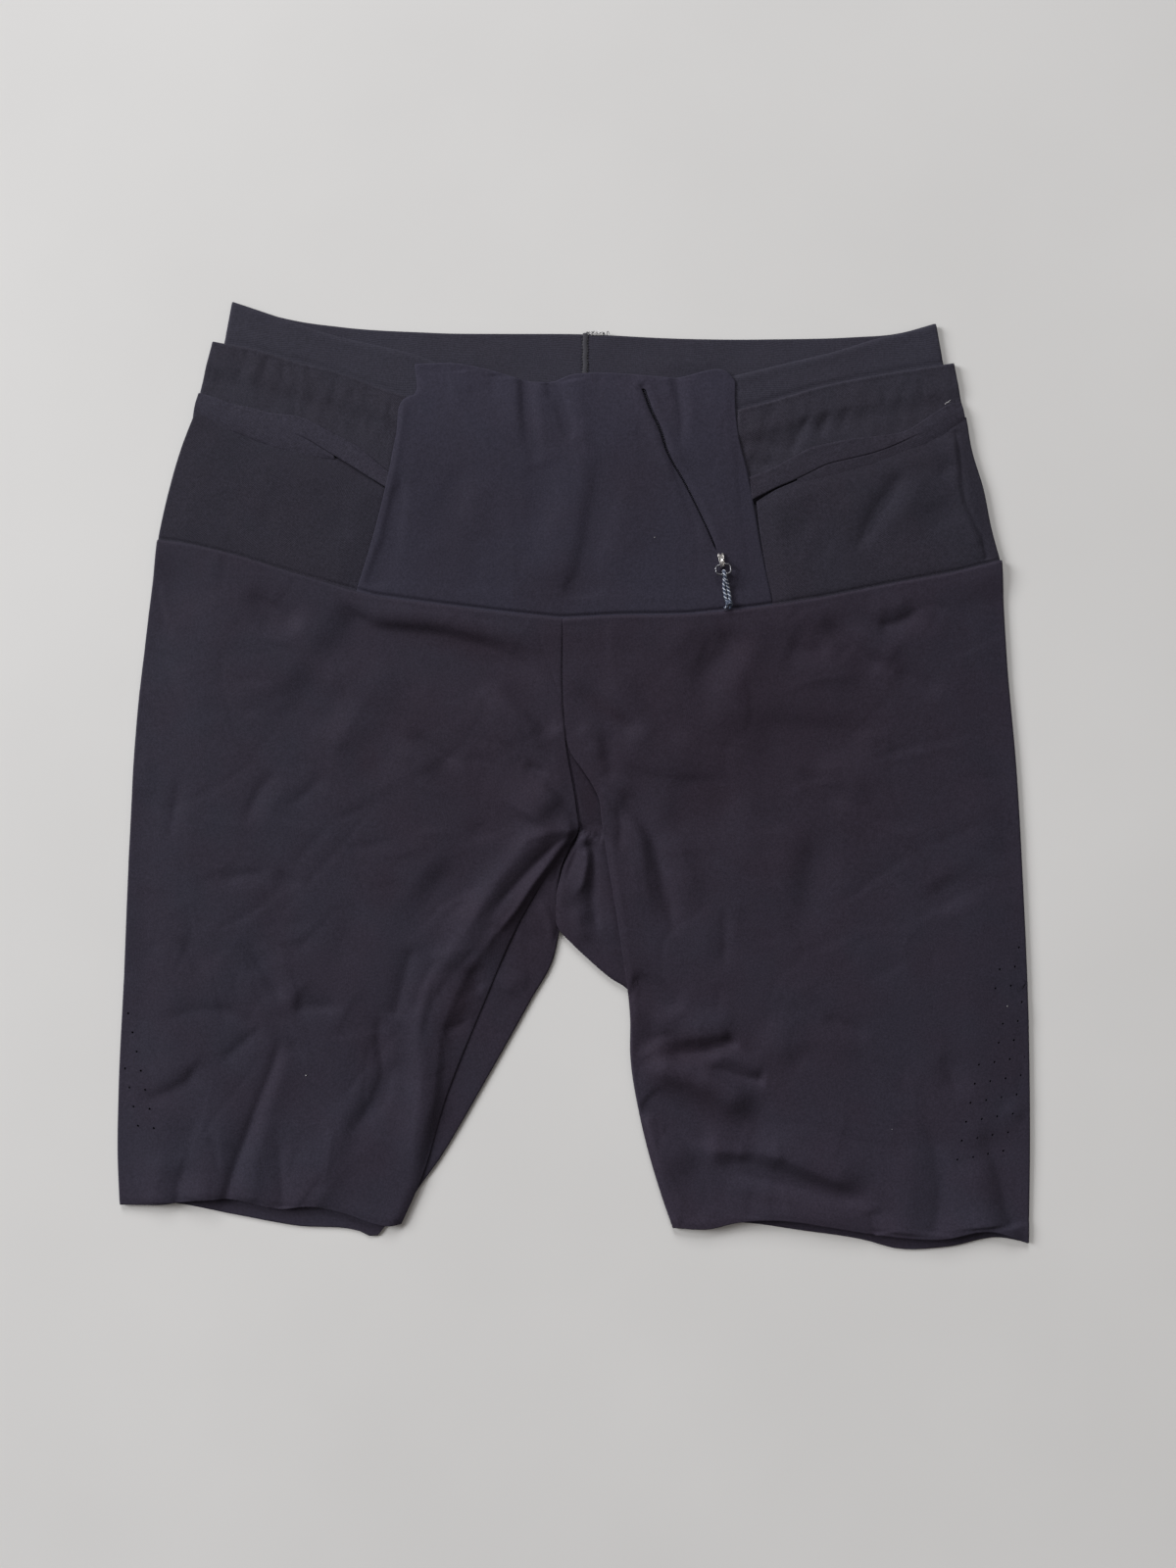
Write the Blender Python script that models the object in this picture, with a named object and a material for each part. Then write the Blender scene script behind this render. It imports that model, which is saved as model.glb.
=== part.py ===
"""Running half tights laid flat, modelled piece by piece.

Frame: +X to the side, +Y towards the waist, +Z up off the surface the cloth
lies on.  Tables are in millimetres.  Left and right are as seen from above,
with the waist at the top, so "left" is -X.

The cloth is a stack of thin walls.  Each layer is WALL thick and the next one
starts GAP above it, so that the waist and both hems stay open:

    level 0   back of the legs, back of the belt, back waistband
    level 1   front waistband, belt, gussets, leg fronts away from their edges
    level 2   pocket bodies, pocket bindings, centre zip pocket
    level 3   top edge of the leg fronts, zip coil, slider
"""
import bpy
import bmesh
from math import cos, sin, pi, hypot, exp, radians, atan2
from mathutils import Matrix, Vector

MM = 0.001
WALL = 1.0            # cloth wall
GAP = 0.3             # air between layers and at seams
STEP = WALL + GAP
LEVEL = [k * STEP for k in range(5)]

TOP_LAP = 5.0         # leg fronts over the belt
INNER_LAP = 5.0       # leg fronts over the gussets
BAND_LAP = 10.5       # belt over the waistband
FLAT_LAP = 9.0        # width of leg front kept at level 3 along its top edge
LAP_RAMP = 26.0       # run over which the leg front comes down to level 1
PUFF = 1.4            # air under the middle of a leg front

# zip pull
SLIDER_AT = (76.0, 107.6)
PULL_DIR = (0.163, -0.987)
SLIDER_WIDTH = 2.2
EYE_UP = 1.9
EYE_R = 0.75
RING_WIRE = 0.9
RING_HALF_W = 3.8
RING_HALF_L = 2.6
CORD_D = 1.6
CORD_APART = 2.0
KNOT_AT = 20.3
KNOT_R = 2.0

# the box of the whole piece is centred on the origin
CENTRE_X = -0.03
CENTRE_Y = -0.557

# ---------------------------------------------------------------- outlines
# columns: x, y   (top to bottom for sides, left to right for tops and hems)
LEG_L_TOP = [(-213.9, 120.7), (-201.2, 119.2), (-175.0, 113.1), (-140.1, 102.5),
             (-101.8, 91.9), (-69.9, 87.6), (-35.1, 83.3), (-5.8, 80.3)]
LEG_L_HEM = [(-233.6, -220.7), (-212.4, -220.2), (-191.1, -217.7), (-175.0, -217.7),
             (-154.3, -222.2), (-133.1, -221.2), (-118.9, -224.5), (-94.7, -231.3),
             (-88.6, -230.6)]
LEG_L_OUTER = [(-213.9, 120.7), (-219.4, 76.3), (-225.0, 25.8), (-228.5, -34.8),
               (-231.5, -105.5), (-234.1, -161.1), (-234.6, -196.0), (-233.6, -220.7)]
LEG_L_INNER = [(-5.8, 80.3), (-6.3, 46.0), (-4.3, 17.2), (1.3, -17.2), (2.3, -28.8),
               (-5.3, -38.9), (-28.0, -75.8), (-47.2, -119.7), (-64.9, -163.6),
               (-79.0, -209.1), (-88.6, -230.6)]
LEG_R_TOP = [(-5.8, 80.3), (22.0, 81.8), (57.3, 82.3), (92.2, 85.8), (127.0, 91.1),
             (162.4, 98.0), (197.2, 104.5), (219.9, 110.3)]
LEG_R_HEM = [(50.8, -232.8), (69.4, -232.8), (82.6, -230.2), (109.8, -230.6),
             (127.0, -233.3), (153.3, -237.3), (188.6, -237.9), (214.9, -233.9),
             (234.1, -240.4)]
LEG_R_INNER = [(-5.8, 80.3), (-6.3, 46.0), (-3.8, 18.7), (0.3, 10.6), (7.3, 3.0),
               (13.4, -8.6), (15.9, -34.8), (24.5, -88.9), (29.0, -125.7),
               (29.0, -143.4), (34.1, -176.2), (45.2, -216.6), (50.8, -232.8)]
LEG_R_OUTER = [(219.9, 110.3), (223.0, 56.1), (227.5, 5.6), (231.0, -55.0),
               (233.6, -115.6), (234.6, -186.3), (234.1, -240.4)]
BACK_L_HEM = [(-233.6, -220.2), (-212.4, -219.2), (-202.0, -220.4), (-175.0, -225.7),
              (-141.9, -231.8), (-105.3, -235.7), (-99.2, -238.4), (-93.7, -232.8),
              (-88.6, -230.6)]
BACK_R_HEM = [(50.8, -232.8), (82.6, -230.6), (113.4, -234.3), (151.8, -240.2),
              (162.4, -243.2), (191.6, -242.9), (219.9, -237.9), (234.1, -240.4)]
NOTCH_L = [(-7.3, -80.3), (-10.9, -95.4), (-22.0, -115.6), (-44.7, -156.0),
           (-68.4, -196.4), (-84.1, -219.7), (-88.6, -230.6)]
NOTCH_R = [(-7.3, -80.3), (-2.3, -85.3), (8.3, -95.4), (20.5, -105.5), (27.5, -109.6),
           (29.0, -125.7), (29.0, -143.4), (34.1, -176.2), (45.2, -216.6),
           (50.8, -232.8)]
BACK_SEAM = [(2.3, 107.2), (-2.8, -28.8), (-7.3, -80.3)]
BACK_WAIST = [(-214.9, 116.7), (-144.2, 112.1), (2.3, 107.2), (133.6, 104.5),
              (220.4, 106.0)]
BAND_BACK_TOP = [(-174.5, 242.9), (-156.8, 236.8), (-141.7, 233.3), (-118.9, 230.3),
                 (-68.4, 227.2), (7.3, 226.7), (57.8, 224.2), (108.3, 224.2),
                 (146.2, 225.2), (161.3, 226.2), (185.1, 231.3)]
BAND_BACK_LOW = [(-179.0, 221.2), (-144.2, 207.6), (-93.7, 198.5), (7.3, 192.4),
                 (108.3, 194.9), (158.8, 201.5), (189.6, 211.0)]
BAND_FRONT_TOP = [(-174.5, 242.9), (-144.2, 232.8), (-124.0, 226.2), (-93.7, 219.2),
                  (-81.1, 216.1), (-43.2, 201.5), (2.3, 197.5), (47.7, 197.5),
                  (83.6, 205.5), (109.8, 211.8), (136.1, 218.2), (155.3, 224.2),
                  (170.9, 227.8), (185.1, 231.8)]
BAND_FRONT_LOW = [(-179.6, 214.6), (-144.2, 204.5), (-124.0, 199.5), (-98.7, 190.9),
                  (-73.5, 184.8), (2.3, 177.3), (57.8, 177.3), (83.6, 180.3),
                  (127.0, 191.9), (162.4, 199.0), (189.4, 204.5)]
BELT_L_TOP = [(-185.6, 222.7), (-164.4, 218.7), (-144.2, 212.6), (-124.0, 207.6),
              (-98.7, 198.5), (-87.3, 194.9)]
BELT_L_OUTER = [(-185.6, 222.7), (-189.6, 207.6), (-194.7, 187.4), (-202.3, 167.2),
                (-207.8, 147.0), (-212.4, 126.8), (-214.5, 115.9)]
BELT_R_TOP = [(84.4, 187.6), (99.2, 191.4), (127.0, 199.5), (162.4, 206.5),
              (179.5, 209.1), (195.4, 211.6)]
BELT_R_OUTER = [(195.4, 211.6), (200.2, 187.4), (204.3, 167.2), (210.3, 147.0),
                (214.4, 126.8), (220.3, 105.5)]
CENTRE_TOP = [(-81.6, 211.1), (-61.4, 211.3), (-35.1, 205.7), (-26.5, 203.0),
              (-9.8, 202.3), (-0.3, 205.7), (9.8, 206.5), (39.6, 205.0),
              (51.8, 204.0), (81.6, 205.7), (83.6, 203.0)]
CENTRE_LEFT = [(-81.6, 211.1), (-82.1, 195.4), (-86.6, 193.4), (-91.2, 174.2),
               (-96.2, 149.7), (-103.3, 121.7), (-112.4, 92.0)]
CENTRE_RIGHT = [(83.6, 203.0), (83.6, 188.4), (85.1, 174.2), (89.6, 155.0),
                (92.2, 140.9), (95.7, 120.2), (103.4, 82.5)]
BINDING_LA_UP = [(-192.5, 195.4), (-169.9, 187.4), (-152.3, 182.3), (-141.9, 173.7),
                 (-123.0, 163.1)]
BINDING_LA_LOW = [(-195.2, 185.3), (-178.5, 177.8), (-161.3, 169.7), (-147.2, 165.6),
                  (-133.1, 162.9), (-122.7, 162.1)]
BINDING_LB_UP = [(-150.7, 183.8), (-133.1, 181.3), (-112.4, 170.7), (-95.2, 155.6)]
BINDING_LB_LOW = [(-149.2, 180.3), (-141.9, 175.5), (-122.7, 164.4), (-97.6, 147.8)]
BINDING_RB_UP = [(90.9, 152.4), (109.8, 160.1), (119.9, 165.6), (136.1, 171.7),
                 (153.3, 174.2), (166.6, 174.4)]
BINDING_RB_LOW = [(92.9, 142.4), (106.3, 149.7), (119.9, 156.6), (132.6, 161.2),
                  (148.2, 165.6), (166.6, 173.0)]
BINDING_RA_UP = [(113.5, 151.8), (125.5, 156.5), (136.1, 160.0), (148.2, 164.0),
                 (158.8, 168.2), (168.9, 172.2), (179.5, 179.0), (191.6, 187.9),
                 (199.0, 190.8)]
BINDING_RA_LOW = [(113.5, 151.1), (119.4, 148.9), (127.0, 148.0), (144.7, 149.7),
                  (162.4, 155.0), (191.6, 177.3), (201.2, 181.3)]
ZIP_LINE = [(35.6, 198.5), (39.6, 187.4), (44.2, 177.8), (48.2, 165.6),
            (57.1, 149.7), (64.1, 135.8), (71.0, 120.7), (73.0, 115.6)]
CROTCH_SEAM = [(2.3, -28.8), (-6.3, -49.0), (-7.3, -80.3)]

# ------------------------------------------------------------------- folds
# columns: x1, y1, x2, y2, half width, height (below 0 is a trough)
FOLDS_LEFT = [
    (-4, -22, -78, -118, 10, 3.2),      # ridge that rolls along the inner edge
    (-72, -112, -88, -215, 11, 2.6),
    (-112, 92, -22, 58, 9, -1.3),       # hollow below the top edge
    (-96, 74, -40, 48, 12, 1.5),
    (-28, 38, -12, 22, 8, -0.9),
    (-82, 18, -62, 8, 8, -0.9),
    (-160, -2, -172, -22, 11, 1.0),
    (-128, 4, -148, -16, 11, 1.0),
    (-206, 0, -210, -34, 9, 1.3),
    (-150, -130, -178, -218, 11, 1.8),  # folds that run down to the hem
    (-112, -122, -114, -188, 10, -1.2),
    (-98, -118, -100, -190, 9, 1.8),
    (-180, -148, -222, -166, 10, 1.2),
    (-148, -118, -132, -196, 12, 1.6),
]
FOLDS_RIGHT = [
    (83, 66, 66, 50, 12, 1.5),
    (128, 80, 156, 58, 10, 1.2),
    (90, 26, 156, 22, 16, -1.0),        # broad hollow across the hip
    (30, 58, 62, 18, 10, 1.2),
    (26, -12, 52, -98, 11, -1.4),       # long hollow by the crotch
    (44, -20, 68, -96, 10, 1.6),
    (126, -26, 118, -80, 14, 1.2),
    (34, -134, 84, -128, 8, 2.6),       # short rolls above the notch
    (34, -146, 88, -146, 7, -1.4),
    (52, -158, 100, -186, 9, 2.4),
    (66, -190, 152, -214, 9, 2.8),      # roll that crosses above the hem
    (72, -204, 150, -226, 8, -1.4),
    (180, -178, 188, -222, 11, 1.2),
    (212, -180, 226, -220, 10, 1.1),
]
PLEATS = [
    (-24, 200, -19, 158, 7, -0.9),
    (-34, 202, -30, 150, 8, 1.5),
    (-12, 200, -6, 168, 7, 1.4),
    (-60, 198, -78, 120, 10, 1.5),
    (4, 190, 0, 110, 12, 1.5),
    (22, 188, 22, 120, 10, 0.9),
    (-98, 150, -108, 104, 6, 1.3),
]


# -------------------------------------------------------------- small maths
def smooth(t):
    t = min(1.0, max(0.0, t))
    return t * t * (3.0 - 2.0 * t)


def curve(points):
    """A smooth curve through the points, as a function of 0..1 by length."""
    pts = [Vector((x, y)) for x, y in points]
    run = [0.0]
    for a, b in zip(pts, pts[1:]):
        run.append(run[-1] + (b - a).length)
    total = run[-1]

    def slope(i):
        if i == 0:
            return (pts[1] - pts[0]) / (run[1] - run[0])
        if i == len(pts) - 1:
            return (pts[-1] - pts[-2]) / (run[-1] - run[-2])
        h0, h1 = run[i] - run[i - 1], run[i + 1] - run[i]
        a, b = (pts[i] - pts[i - 1]) / h0, (pts[i + 1] - pts[i]) / h1
        return (a * h1 + b * h0) / (h0 + h1)

    slopes = [slope(i) for i in range(len(pts))]

    def at(t):
        s = min(1.0, max(0.0, t)) * total
        i = 0
        while i < len(pts) - 2 and run[i + 1] < s:
            i += 1
        h = run[i + 1] - run[i]
        k = (s - run[i]) / h
        k2, k3 = k * k, k * k * k
        return ((2 * k3 - 3 * k2 + 1) * pts[i] + (k3 - 2 * k2 + k) * h * slopes[i]
                + (3 * k2 - 2 * k3) * pts[i + 1] + (k3 - k2) * h * slopes[i + 1])
    return at


def part_of(curve_at, t0, t1):
    return lambda t: curve_at(t0 + (t1 - t0) * t)


def shifted(curve_at, dx, dy):
    return lambda t: curve_at(t) + Vector((dx, dy))


def steps(n, *near):
    """0..1 in n even steps, with extra stations where they are wanted."""
    even = [i / n for i in range(n + 1)]
    kept = [e for e in even if all(abs(e - x) > 0.35 / n for x in near)
            or e in (0.0, 1.0)]
    return sorted(set(kept) | set(near))


def fold_height(x, y, table):
    """Sum of rounded ridges and troughs that fade out towards both ends."""
    total = 0.0
    for x1, y1, x2, y2, half, height in table:
        dx, dy = x2 - x1, y2 - y1
        long = hypot(dx, dy)
        s = ((x - x1) * dx + (y - y1) * dy) / (long * long)
        inside = min(1.0, max(0.0, s))
        d = hypot(x - x1 - dx * inside, y - y1 - dy * inside)
        fade = smooth(min(inside, 1.0 - inside) / 0.35 + 0.25)
        total += height * fade * exp(-(d / half) ** 2)
    return total


def distance_to(points, x, y):
    best = 1e9
    for (x1, y1), (x2, y2) in zip(points, points[1:]):
        dx, dy = x2 - x1, y2 - y1
        s = ((x - x1) * dx + (y - y1) * dy) / (dx * dx + dy * dy)
        s = min(1.0, max(0.0, s))
        best = min(best, hypot(x - x1 - dx * s, y - y1 - dy * s))
    return best


# ------------------------------------------------------------ building kit
def material(name, colour, rough, metal=0.0):
    mat = bpy.data.materials.new(name)
    mat.use_nodes = True
    shader = mat.node_tree.nodes["Principled BSDF"]
    shader.inputs["Base Color"].default_value = (*colour, 1.0)
    shader.inputs["Roughness"].default_value = rough
    shader.inputs["Metallic"].default_value = metal
    return mat


def add(name, verts, faces, mat, is_smooth=False):
    mesh = bpy.data.meshes.new(name)
    bm = bmesh.new()
    made = [bm.verts.new(((x - CENTRE_X) * MM, (y - CENTRE_Y) * MM, z * MM))
            for x, y, z in verts]
    for face in faces:
        bm.faces.new([made[i] for i in face])
    bmesh.ops.recalc_face_normals(bm, faces=bm.faces)
    if bm.calc_volume(signed=True) < 0:
        bmesh.ops.reverse_faces(bm, faces=bm.faces)
    bmesh.ops.triangulate(bm, faces=bm.faces)
    bm.to_mesh(mesh)
    bm.free()
    mesh.materials.append(mat)
    if is_smooth:
        mesh.shade_smooth()
        mesh.set_sharp_from_angle(angle=radians(40))
    obj = bpy.data.objects.new(name, mesh)
    bpy.context.scene.collection.objects.link(obj)
    return obj


def panel(name, top, hem, left, right, us, vs, under, mat, wall=WALL):
    """Cloth wall on a patch between four edges.

    top and hem run left to right, left and right run top to bottom; under
    gives the height of the wall's lower face from x, y, u and v.
    """
    c00, c10, c01, c11 = top(0), top(1), hem(0), hem(1)
    low, high = [], []
    for v in vs:
        for u in us:
            p = ((1 - v) * top(u) + v * hem(u) + (1 - u) * left(v) + u * right(v)
                 - (1 - u) * (1 - v) * c00 - u * (1 - v) * c10
                 - (1 - u) * v * c01 - u * v * c11)
            z = under(p.x, p.y, u, v)
            low.append((p.x, p.y, z))
            high.append((p.x, p.y, z + wall))
    n, m = len(us), len(vs)
    size = n * m
    faces = []
    for j in range(m - 1):
        for i in range(n - 1):
            a, b = j * n + i, j * n + i + 1
            c, d = a + n, b + n
            faces += [(a, b, d), (a, d, c)]
            faces += [(a + size, d + size, b + size), (a + size, c + size, d + size)]
    rim = ([j * n for j in range(m)] + [(m - 1) * n + i for i in range(1, n)]
           + [j * n + n - 1 for j in range(m - 2, -1, -1)]
           + [i for i in range(n - 2, 0, -1)])
    for a, b in zip(rim, rim[1:] + rim[:1]):
        faces += [(a, b, b + size), (a, b + size, a + size)]
    return add(name, low + high, faces, mat, True)


def slab(name, outline, z, mat, wall=WALL):
    """Flat cloth wall with the given outline."""
    n = len(outline)
    verts = [(x, y, z) for x, y in outline] + [(x, y, z + wall) for x, y in outline]
    faces = [tuple(range(n)), tuple(range(2 * n - 1, n - 1, -1))]
    for i in range(n):
        k = (i + 1) % n
        faces.append((i, k, k + n, i + n))
    return add(name, verts, faces, mat)


def sample(curve_at, n):
    return [tuple(curve_at(i / n)) for i in range(n + 1)]


def moved(points, dx, dy):
    return [(x + dx, y + dy) for x, y in points]


# ------------------------------------------------------------------- scene
for obj in list(bpy.data.objects):
    bpy.data.objects.remove(obj, do_unlink=True)

KNIT = material("leg_knit", (0.028, 0.025, 0.036), 0.72)
BAND = material("elastic_band", (0.030, 0.027, 0.036), 0.80)
MESH = material("belt_mesh", (0.036, 0.034, 0.040), 0.85)
BIND = material("binding_knit", (0.034, 0.031, 0.040), 0.78)
ZIP = material("zip_tape", (0.010, 0.009, 0.012), 0.60)
SILVER = material("slider_metal", (0.62, 0.61, 0.60), 0.30, 1.0)
WIRE = material("ring_wire", (0.16, 0.16, 0.17), 0.35, 1.0)
CORD = material("pull_cord", (0.030, 0.045, 0.085), 0.75)

half = GAP / 2

# ------------------------------------------------- level 0: the back walls
band_low = sample(curve(BAND_BACK_LOW), 22)
band_top = sample(curve(BAND_BACK_TOP), 22)
middle = 11
slab("waistband_back_left",
     band_top[:middle] + [(5.9 - half, 226.7), (5.9 - half, 192.8)]
     + [p for p in reversed(band_low) if p[0] < 4.0], 0.0, BAND)
slab("waistband_back_right",
     [(5.9 + half, 226.7)] + [p for p in band_top[middle:] if p[0] > 8.0]
     + [p for p in reversed(band_low) if p[0] > 8.0]
     + [(5.9 + half, 192.8)], 0.0, BAND)
# the waistband's lower edge, dropped by the seam gap, is the belt's top edge
slab("belt_back",
     [(-185.6, 222.7), (-179.8, 221.6 - GAP)] + moved(band_low, 0.0, -GAP - 0.15)
     + [(190.4, 211.4), (195.4, 211.6)]
     + BELT_R_OUTER[1:-1] + [(219.4, 106.6)]
     + moved(list(reversed(BACK_WAIST[1:-1])), 0.0, GAP)
     + [(-213.9, 117.2)] + list(reversed(BELT_L_OUTER[1:-1])), 0.0, MESH)

outer_l = curve(LEG_L_OUTER)
outer_r = curve(LEG_R_OUTER)
slab("leg_back_left",
     moved(BACK_WAIST[:2], 0.0, -half) + [(2.3 - half, 107.2 - half)]
     + moved(BACK_SEAM[1:], -half, 0.0) + moved(NOTCH_L[1:-1], 0.0, 0.0)
     + list(reversed(sample(curve(BACK_L_HEM), 14)))
     + [p for p in reversed(sample(outer_l, 12)) if -218.0 < p[1] < 112.0],
     0.0, KNIT)
slab("leg_back_right",
     [(2.3 + half, 107.2 - half)] + moved(BACK_WAIST[3:4], 0.0, -half)
     + [(220.2, 105.6)]
     + [p for p in sample(outer_r, 12) if -236.0 < p[1] < 101.0]
     + list(reversed(sample(curve(BACK_R_HEM), 14)))
     + list(reversed(NOTCH_R[1:-1]))
     + [(BACK_SEAM[2][0] + half, BACK_SEAM[2][1]),
        (BACK_SEAM[1][0] + half, BACK_SEAM[1][1])], 0.0, KNIT)

# -------------------------------------------- level 1: waistband and belt
slab("waistband_front", BAND_FRONT_TOP + list(reversed(BAND_FRONT_LOW)),
     LEVEL[1], BAND)


def belt_under(run):
    """Over the waistband along the top edge, then down onto the back wall."""
    def under(x, y, u, v):
        down = smooth((v * run - BAND_LAP) / 7.0)
        return LEVEL[2] + (LEVEL[1] - LEVEL[2]) * down
    return under


BELT_RUN = 100.0
rows = [0.0, BAND_LAP / BELT_RUN, 0.14, 0.175, 0.55, 1.0]
left_edge = curve([(x - 0.9, y) for x, y in CENTRE_LEFT[2:]])
belt_l_top = curve(BELT_L_TOP[:-1] + [(-87.5, 193.4)])
belt_l_low = curve([(-214.5, 115.9)] + moved(LEG_L_TOP[1:4], 0.0, -TOP_LAP)
                   + [(-113.3, 92.0)])
panel("belt_front_left", belt_l_top, belt_l_low, curve(BELT_L_OUTER), left_edge,
      steps(10), rows, belt_under(BELT_RUN), MESH)
right_edge = curve([(84.2, 187.6)] + [(x + 0.6, y) for x, y in CENTRE_RIGHT[2:-1]]
                   + [(103.2, 86.4)])
belt_r_top = curve([(84.2, 187.6)] + BELT_R_TOP[1:])
belt_r_low = curve([(103.2, 86.4 - 3.0)] + moved(LEG_R_TOP[4:7], 0.0, -TOP_LAP)
                   + [(220.3, 105.5)])
right_edge_low = curve([(84.2, 187.6)] + [(x + 0.6, y) for x, y in CENTRE_RIGHT[2:-1]]
                       + [(103.2, 83.4)])
panel("belt_front_right", belt_r_top, belt_r_low, right_edge_low, curve(BELT_R_OUTER),
      steps(10), rows, belt_under(BELT_RUN), MESH)

# ------------------------------------------------------ level 1: gussets
inner_l = curve(LEG_L_INNER)
inner_r = curve(LEG_R_INNER)
lap_l = [(x - INNER_LAP, y) for x, y in LEG_L_INNER[5:-1]]
slab("gusset_left",
     [(CROTCH_SEAM[1][0] - GAP, CROTCH_SEAM[1][1]),
      (CROTCH_SEAM[2][0] - GAP, CROTCH_SEAM[2][1])]
     + NOTCH_L[1:-2] + [(-83.4, -218.0)]
     + [(-88.0, -219.0)] + list(reversed(lap_l[1:-1]))
     + [(-9.0, -44.5)], LEVEL[1], KNIT)
slab("gusset_right",
     [(4.6, 1.0), (7.4, 0.6), (18.0, -8.6), (20.9, -34.8), (29.5, -88.9),
      (33.5, -108.6)]
     + list(reversed(NOTCH_R[1:5]))
     + [(CROTCH_SEAM[2][0] + GAP, CROTCH_SEAM[2][1]),
        (CROTCH_SEAM[1][0] + GAP, CROTCH_SEAM[1][1]), (-2.6, -36.0)],
     LEVEL[1], KNIT)

# --------------------------------------- level 2: pockets and bindings
pocket_l_top = curve([(x, y - 0.45) for x, y in BINDING_LA_LOW[:-1]]
                     + [(-122.7, 161.5), (-98.6, 146.6)])
pocket_l_left = curve([(-195.2, 184.85), (-202.0, 166.0), (-207.5, 147.0),
                       (-212.2, 126.8), (-214.3, 115.9)])
pocket_l_right = curve([(-98.6, 146.6), (-103.9, 121.7), (-113.0, 92.4)])
pocket_l_low = curve([(-214.3, 115.9)] + moved(LEG_L_TOP[1:4], 0.0, -TOP_LAP)
                     + [(-113.0, 92.4)])
flat2 = lambda x, y, u, v: LEVEL[2]
panel("pocket_left", pocket_l_top, pocket_l_low, pocket_l_left, pocket_l_right,
      steps(12), steps(4), flat2, MESH)
pocket_r_top = curve([(94.3, 141.4), (106.3, 148.0), (113.2, 150.3)]
                     + [(x, y - 0.45) for x, y in BINDING_RA_LOW[1:]])
pocket_r_left = curve([(94.3, 141.4), (96.3, 120.2), (103.6, 83.6)])
pocket_r_right = curve([(201.2, 180.85), (204.0, 167.2), (210.0, 147.0),
                        (214.1, 126.8), (219.9, 105.6)])
pocket_r_low = curve([(103.6, 83.6)] + moved(LEG_R_TOP[4:7], 0.0, -TOP_LAP)
                     + [(219.9, 105.6)])


def pocket_r_under(x, y, u, v):
    """A slanting crease runs across the outer half of this pocket."""
    edge = smooth(4 * u * (1 - u) / 0.5) * smooth(v / 0.2) * smooth((0.75 - v) / 0.25)
    crease = [(164, 150, 148, 122, 7, 1.0), (178, 150, 166, 118, 8, 1.2)]
    return LEVEL[2] + max(0.0, edge * fold_height(x, y, crease))


panel("pocket_right", pocket_r_top, pocket_r_low, pocket_r_left, pocket_r_right,
      steps(12), steps(6), pocket_r_under, MESH)


def binding(name, upper, lower):
    up, low = curve(upper), curve(lower)
    a, b, c, d = up(0), up(1), low(0), low(1)
    panel(name, up, low, lambda t: a + (c - a) * t, lambda t: b + (d - b) * t,
          steps(12), [0.0, 1.0], flat2, BIND, 1.3)


binding("binding_left_a", BINDING_LA_UP, BINDING_LA_LOW)
binding("binding_left_b", BINDING_LB_UP, BINDING_LB_LOW)
binding("binding_right_b", BINDING_RB_UP, BINDING_RB_LOW)
binding("binding_right_a", BINDING_RA_UP, BINDING_RA_LOW)

# ------------------------------------------------- level 2: centre pocket
centre_low = curve([(-112.4, 92.0), (-69.9, 82.6), (-35.1, 78.3), (-5.8, 75.3),
                    (22.0, 76.8), (57.3, 77.3), (92.2, 80.8), (103.4, 82.5)])


def centre_under(x, y, u, v):
    """Pleats drop from the top edge; flat round the zip and at the lap."""
    calm = smooth((distance_to(ZIP_LINE + [SLIDER_AT, (79.6, 86.0)], x, y) - 13.0)
                  / 12.0)
    low = smooth((y - 92.0 - 0.00045 * (x - 10.0) ** 2) / 14.0)
    side = smooth(min(u, 1 - u) / 0.05)
    return LEVEL[2] + max(0.0, calm * low * side
                          * (0.5 + fold_height(x, y, PLEATS)))


panel("centre_pocket", curve(CENTRE_TOP), centre_low, curve(CENTRE_LEFT),
      curve(CENTRE_RIGHT), steps(20), steps(11, 0.125, 0.165), centre_under, KNIT)

# ---------------------------------------------------- level 3: leg fronts


def leg_under(table, top_at, inner_from, inner_side, lap_rows):
    """Height of the lower face of a leg front.

    Level 3 along the top edge, where it laps over the belt and the centre
    pocket; level 2 along the inner edge, where it laps over a gusset; level 1
    along the outer fold and the hem; air and folds between.
    """
    def under(x, y, u, v):
        inner = u if inner_side == "right" else 1.0 - u     # 1 at the inner edge
        depth = top_at(u).y - y
        lap = 1.0 - smooth((depth - FLAT_LAP) / LAP_RAMP)
        lap = max(lap, 0.0)
        side = smooth((inner - 0.80) / 0.10) * smooth((v - lap_rows[0]) / 0.05) \
            * (1.0 - smooth((v - lap_rows[1]) / 0.06))
        outer_fade = smooth(4.0 * (1.0 - inner) * inner / 0.30 if inner < 0.5 else 1.0)
        seam_fade = smooth((1.0 - inner) / 0.12) if v < inner_from else 1.0
        air = PUFF * smooth(inner / 0.25) * (0.55 + 0.45 * smooth((1.0 - inner) / 0.2))
        folds = fold_height(x, y, table)
        rise = max(0.0, outer_fade * seam_fade * (air * 0.7 + folds))
        rise *= 1.0 - 0.999 * lap
        rise *= 1.0 - 0.45 * smooth((v - 0.93) / 0.07)
        base = LEVEL[1] + lap * (LEVEL[3] - LEVEL[1])
        return max(base, LEVEL[1] + side * STEP) + rise
    return under


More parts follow.
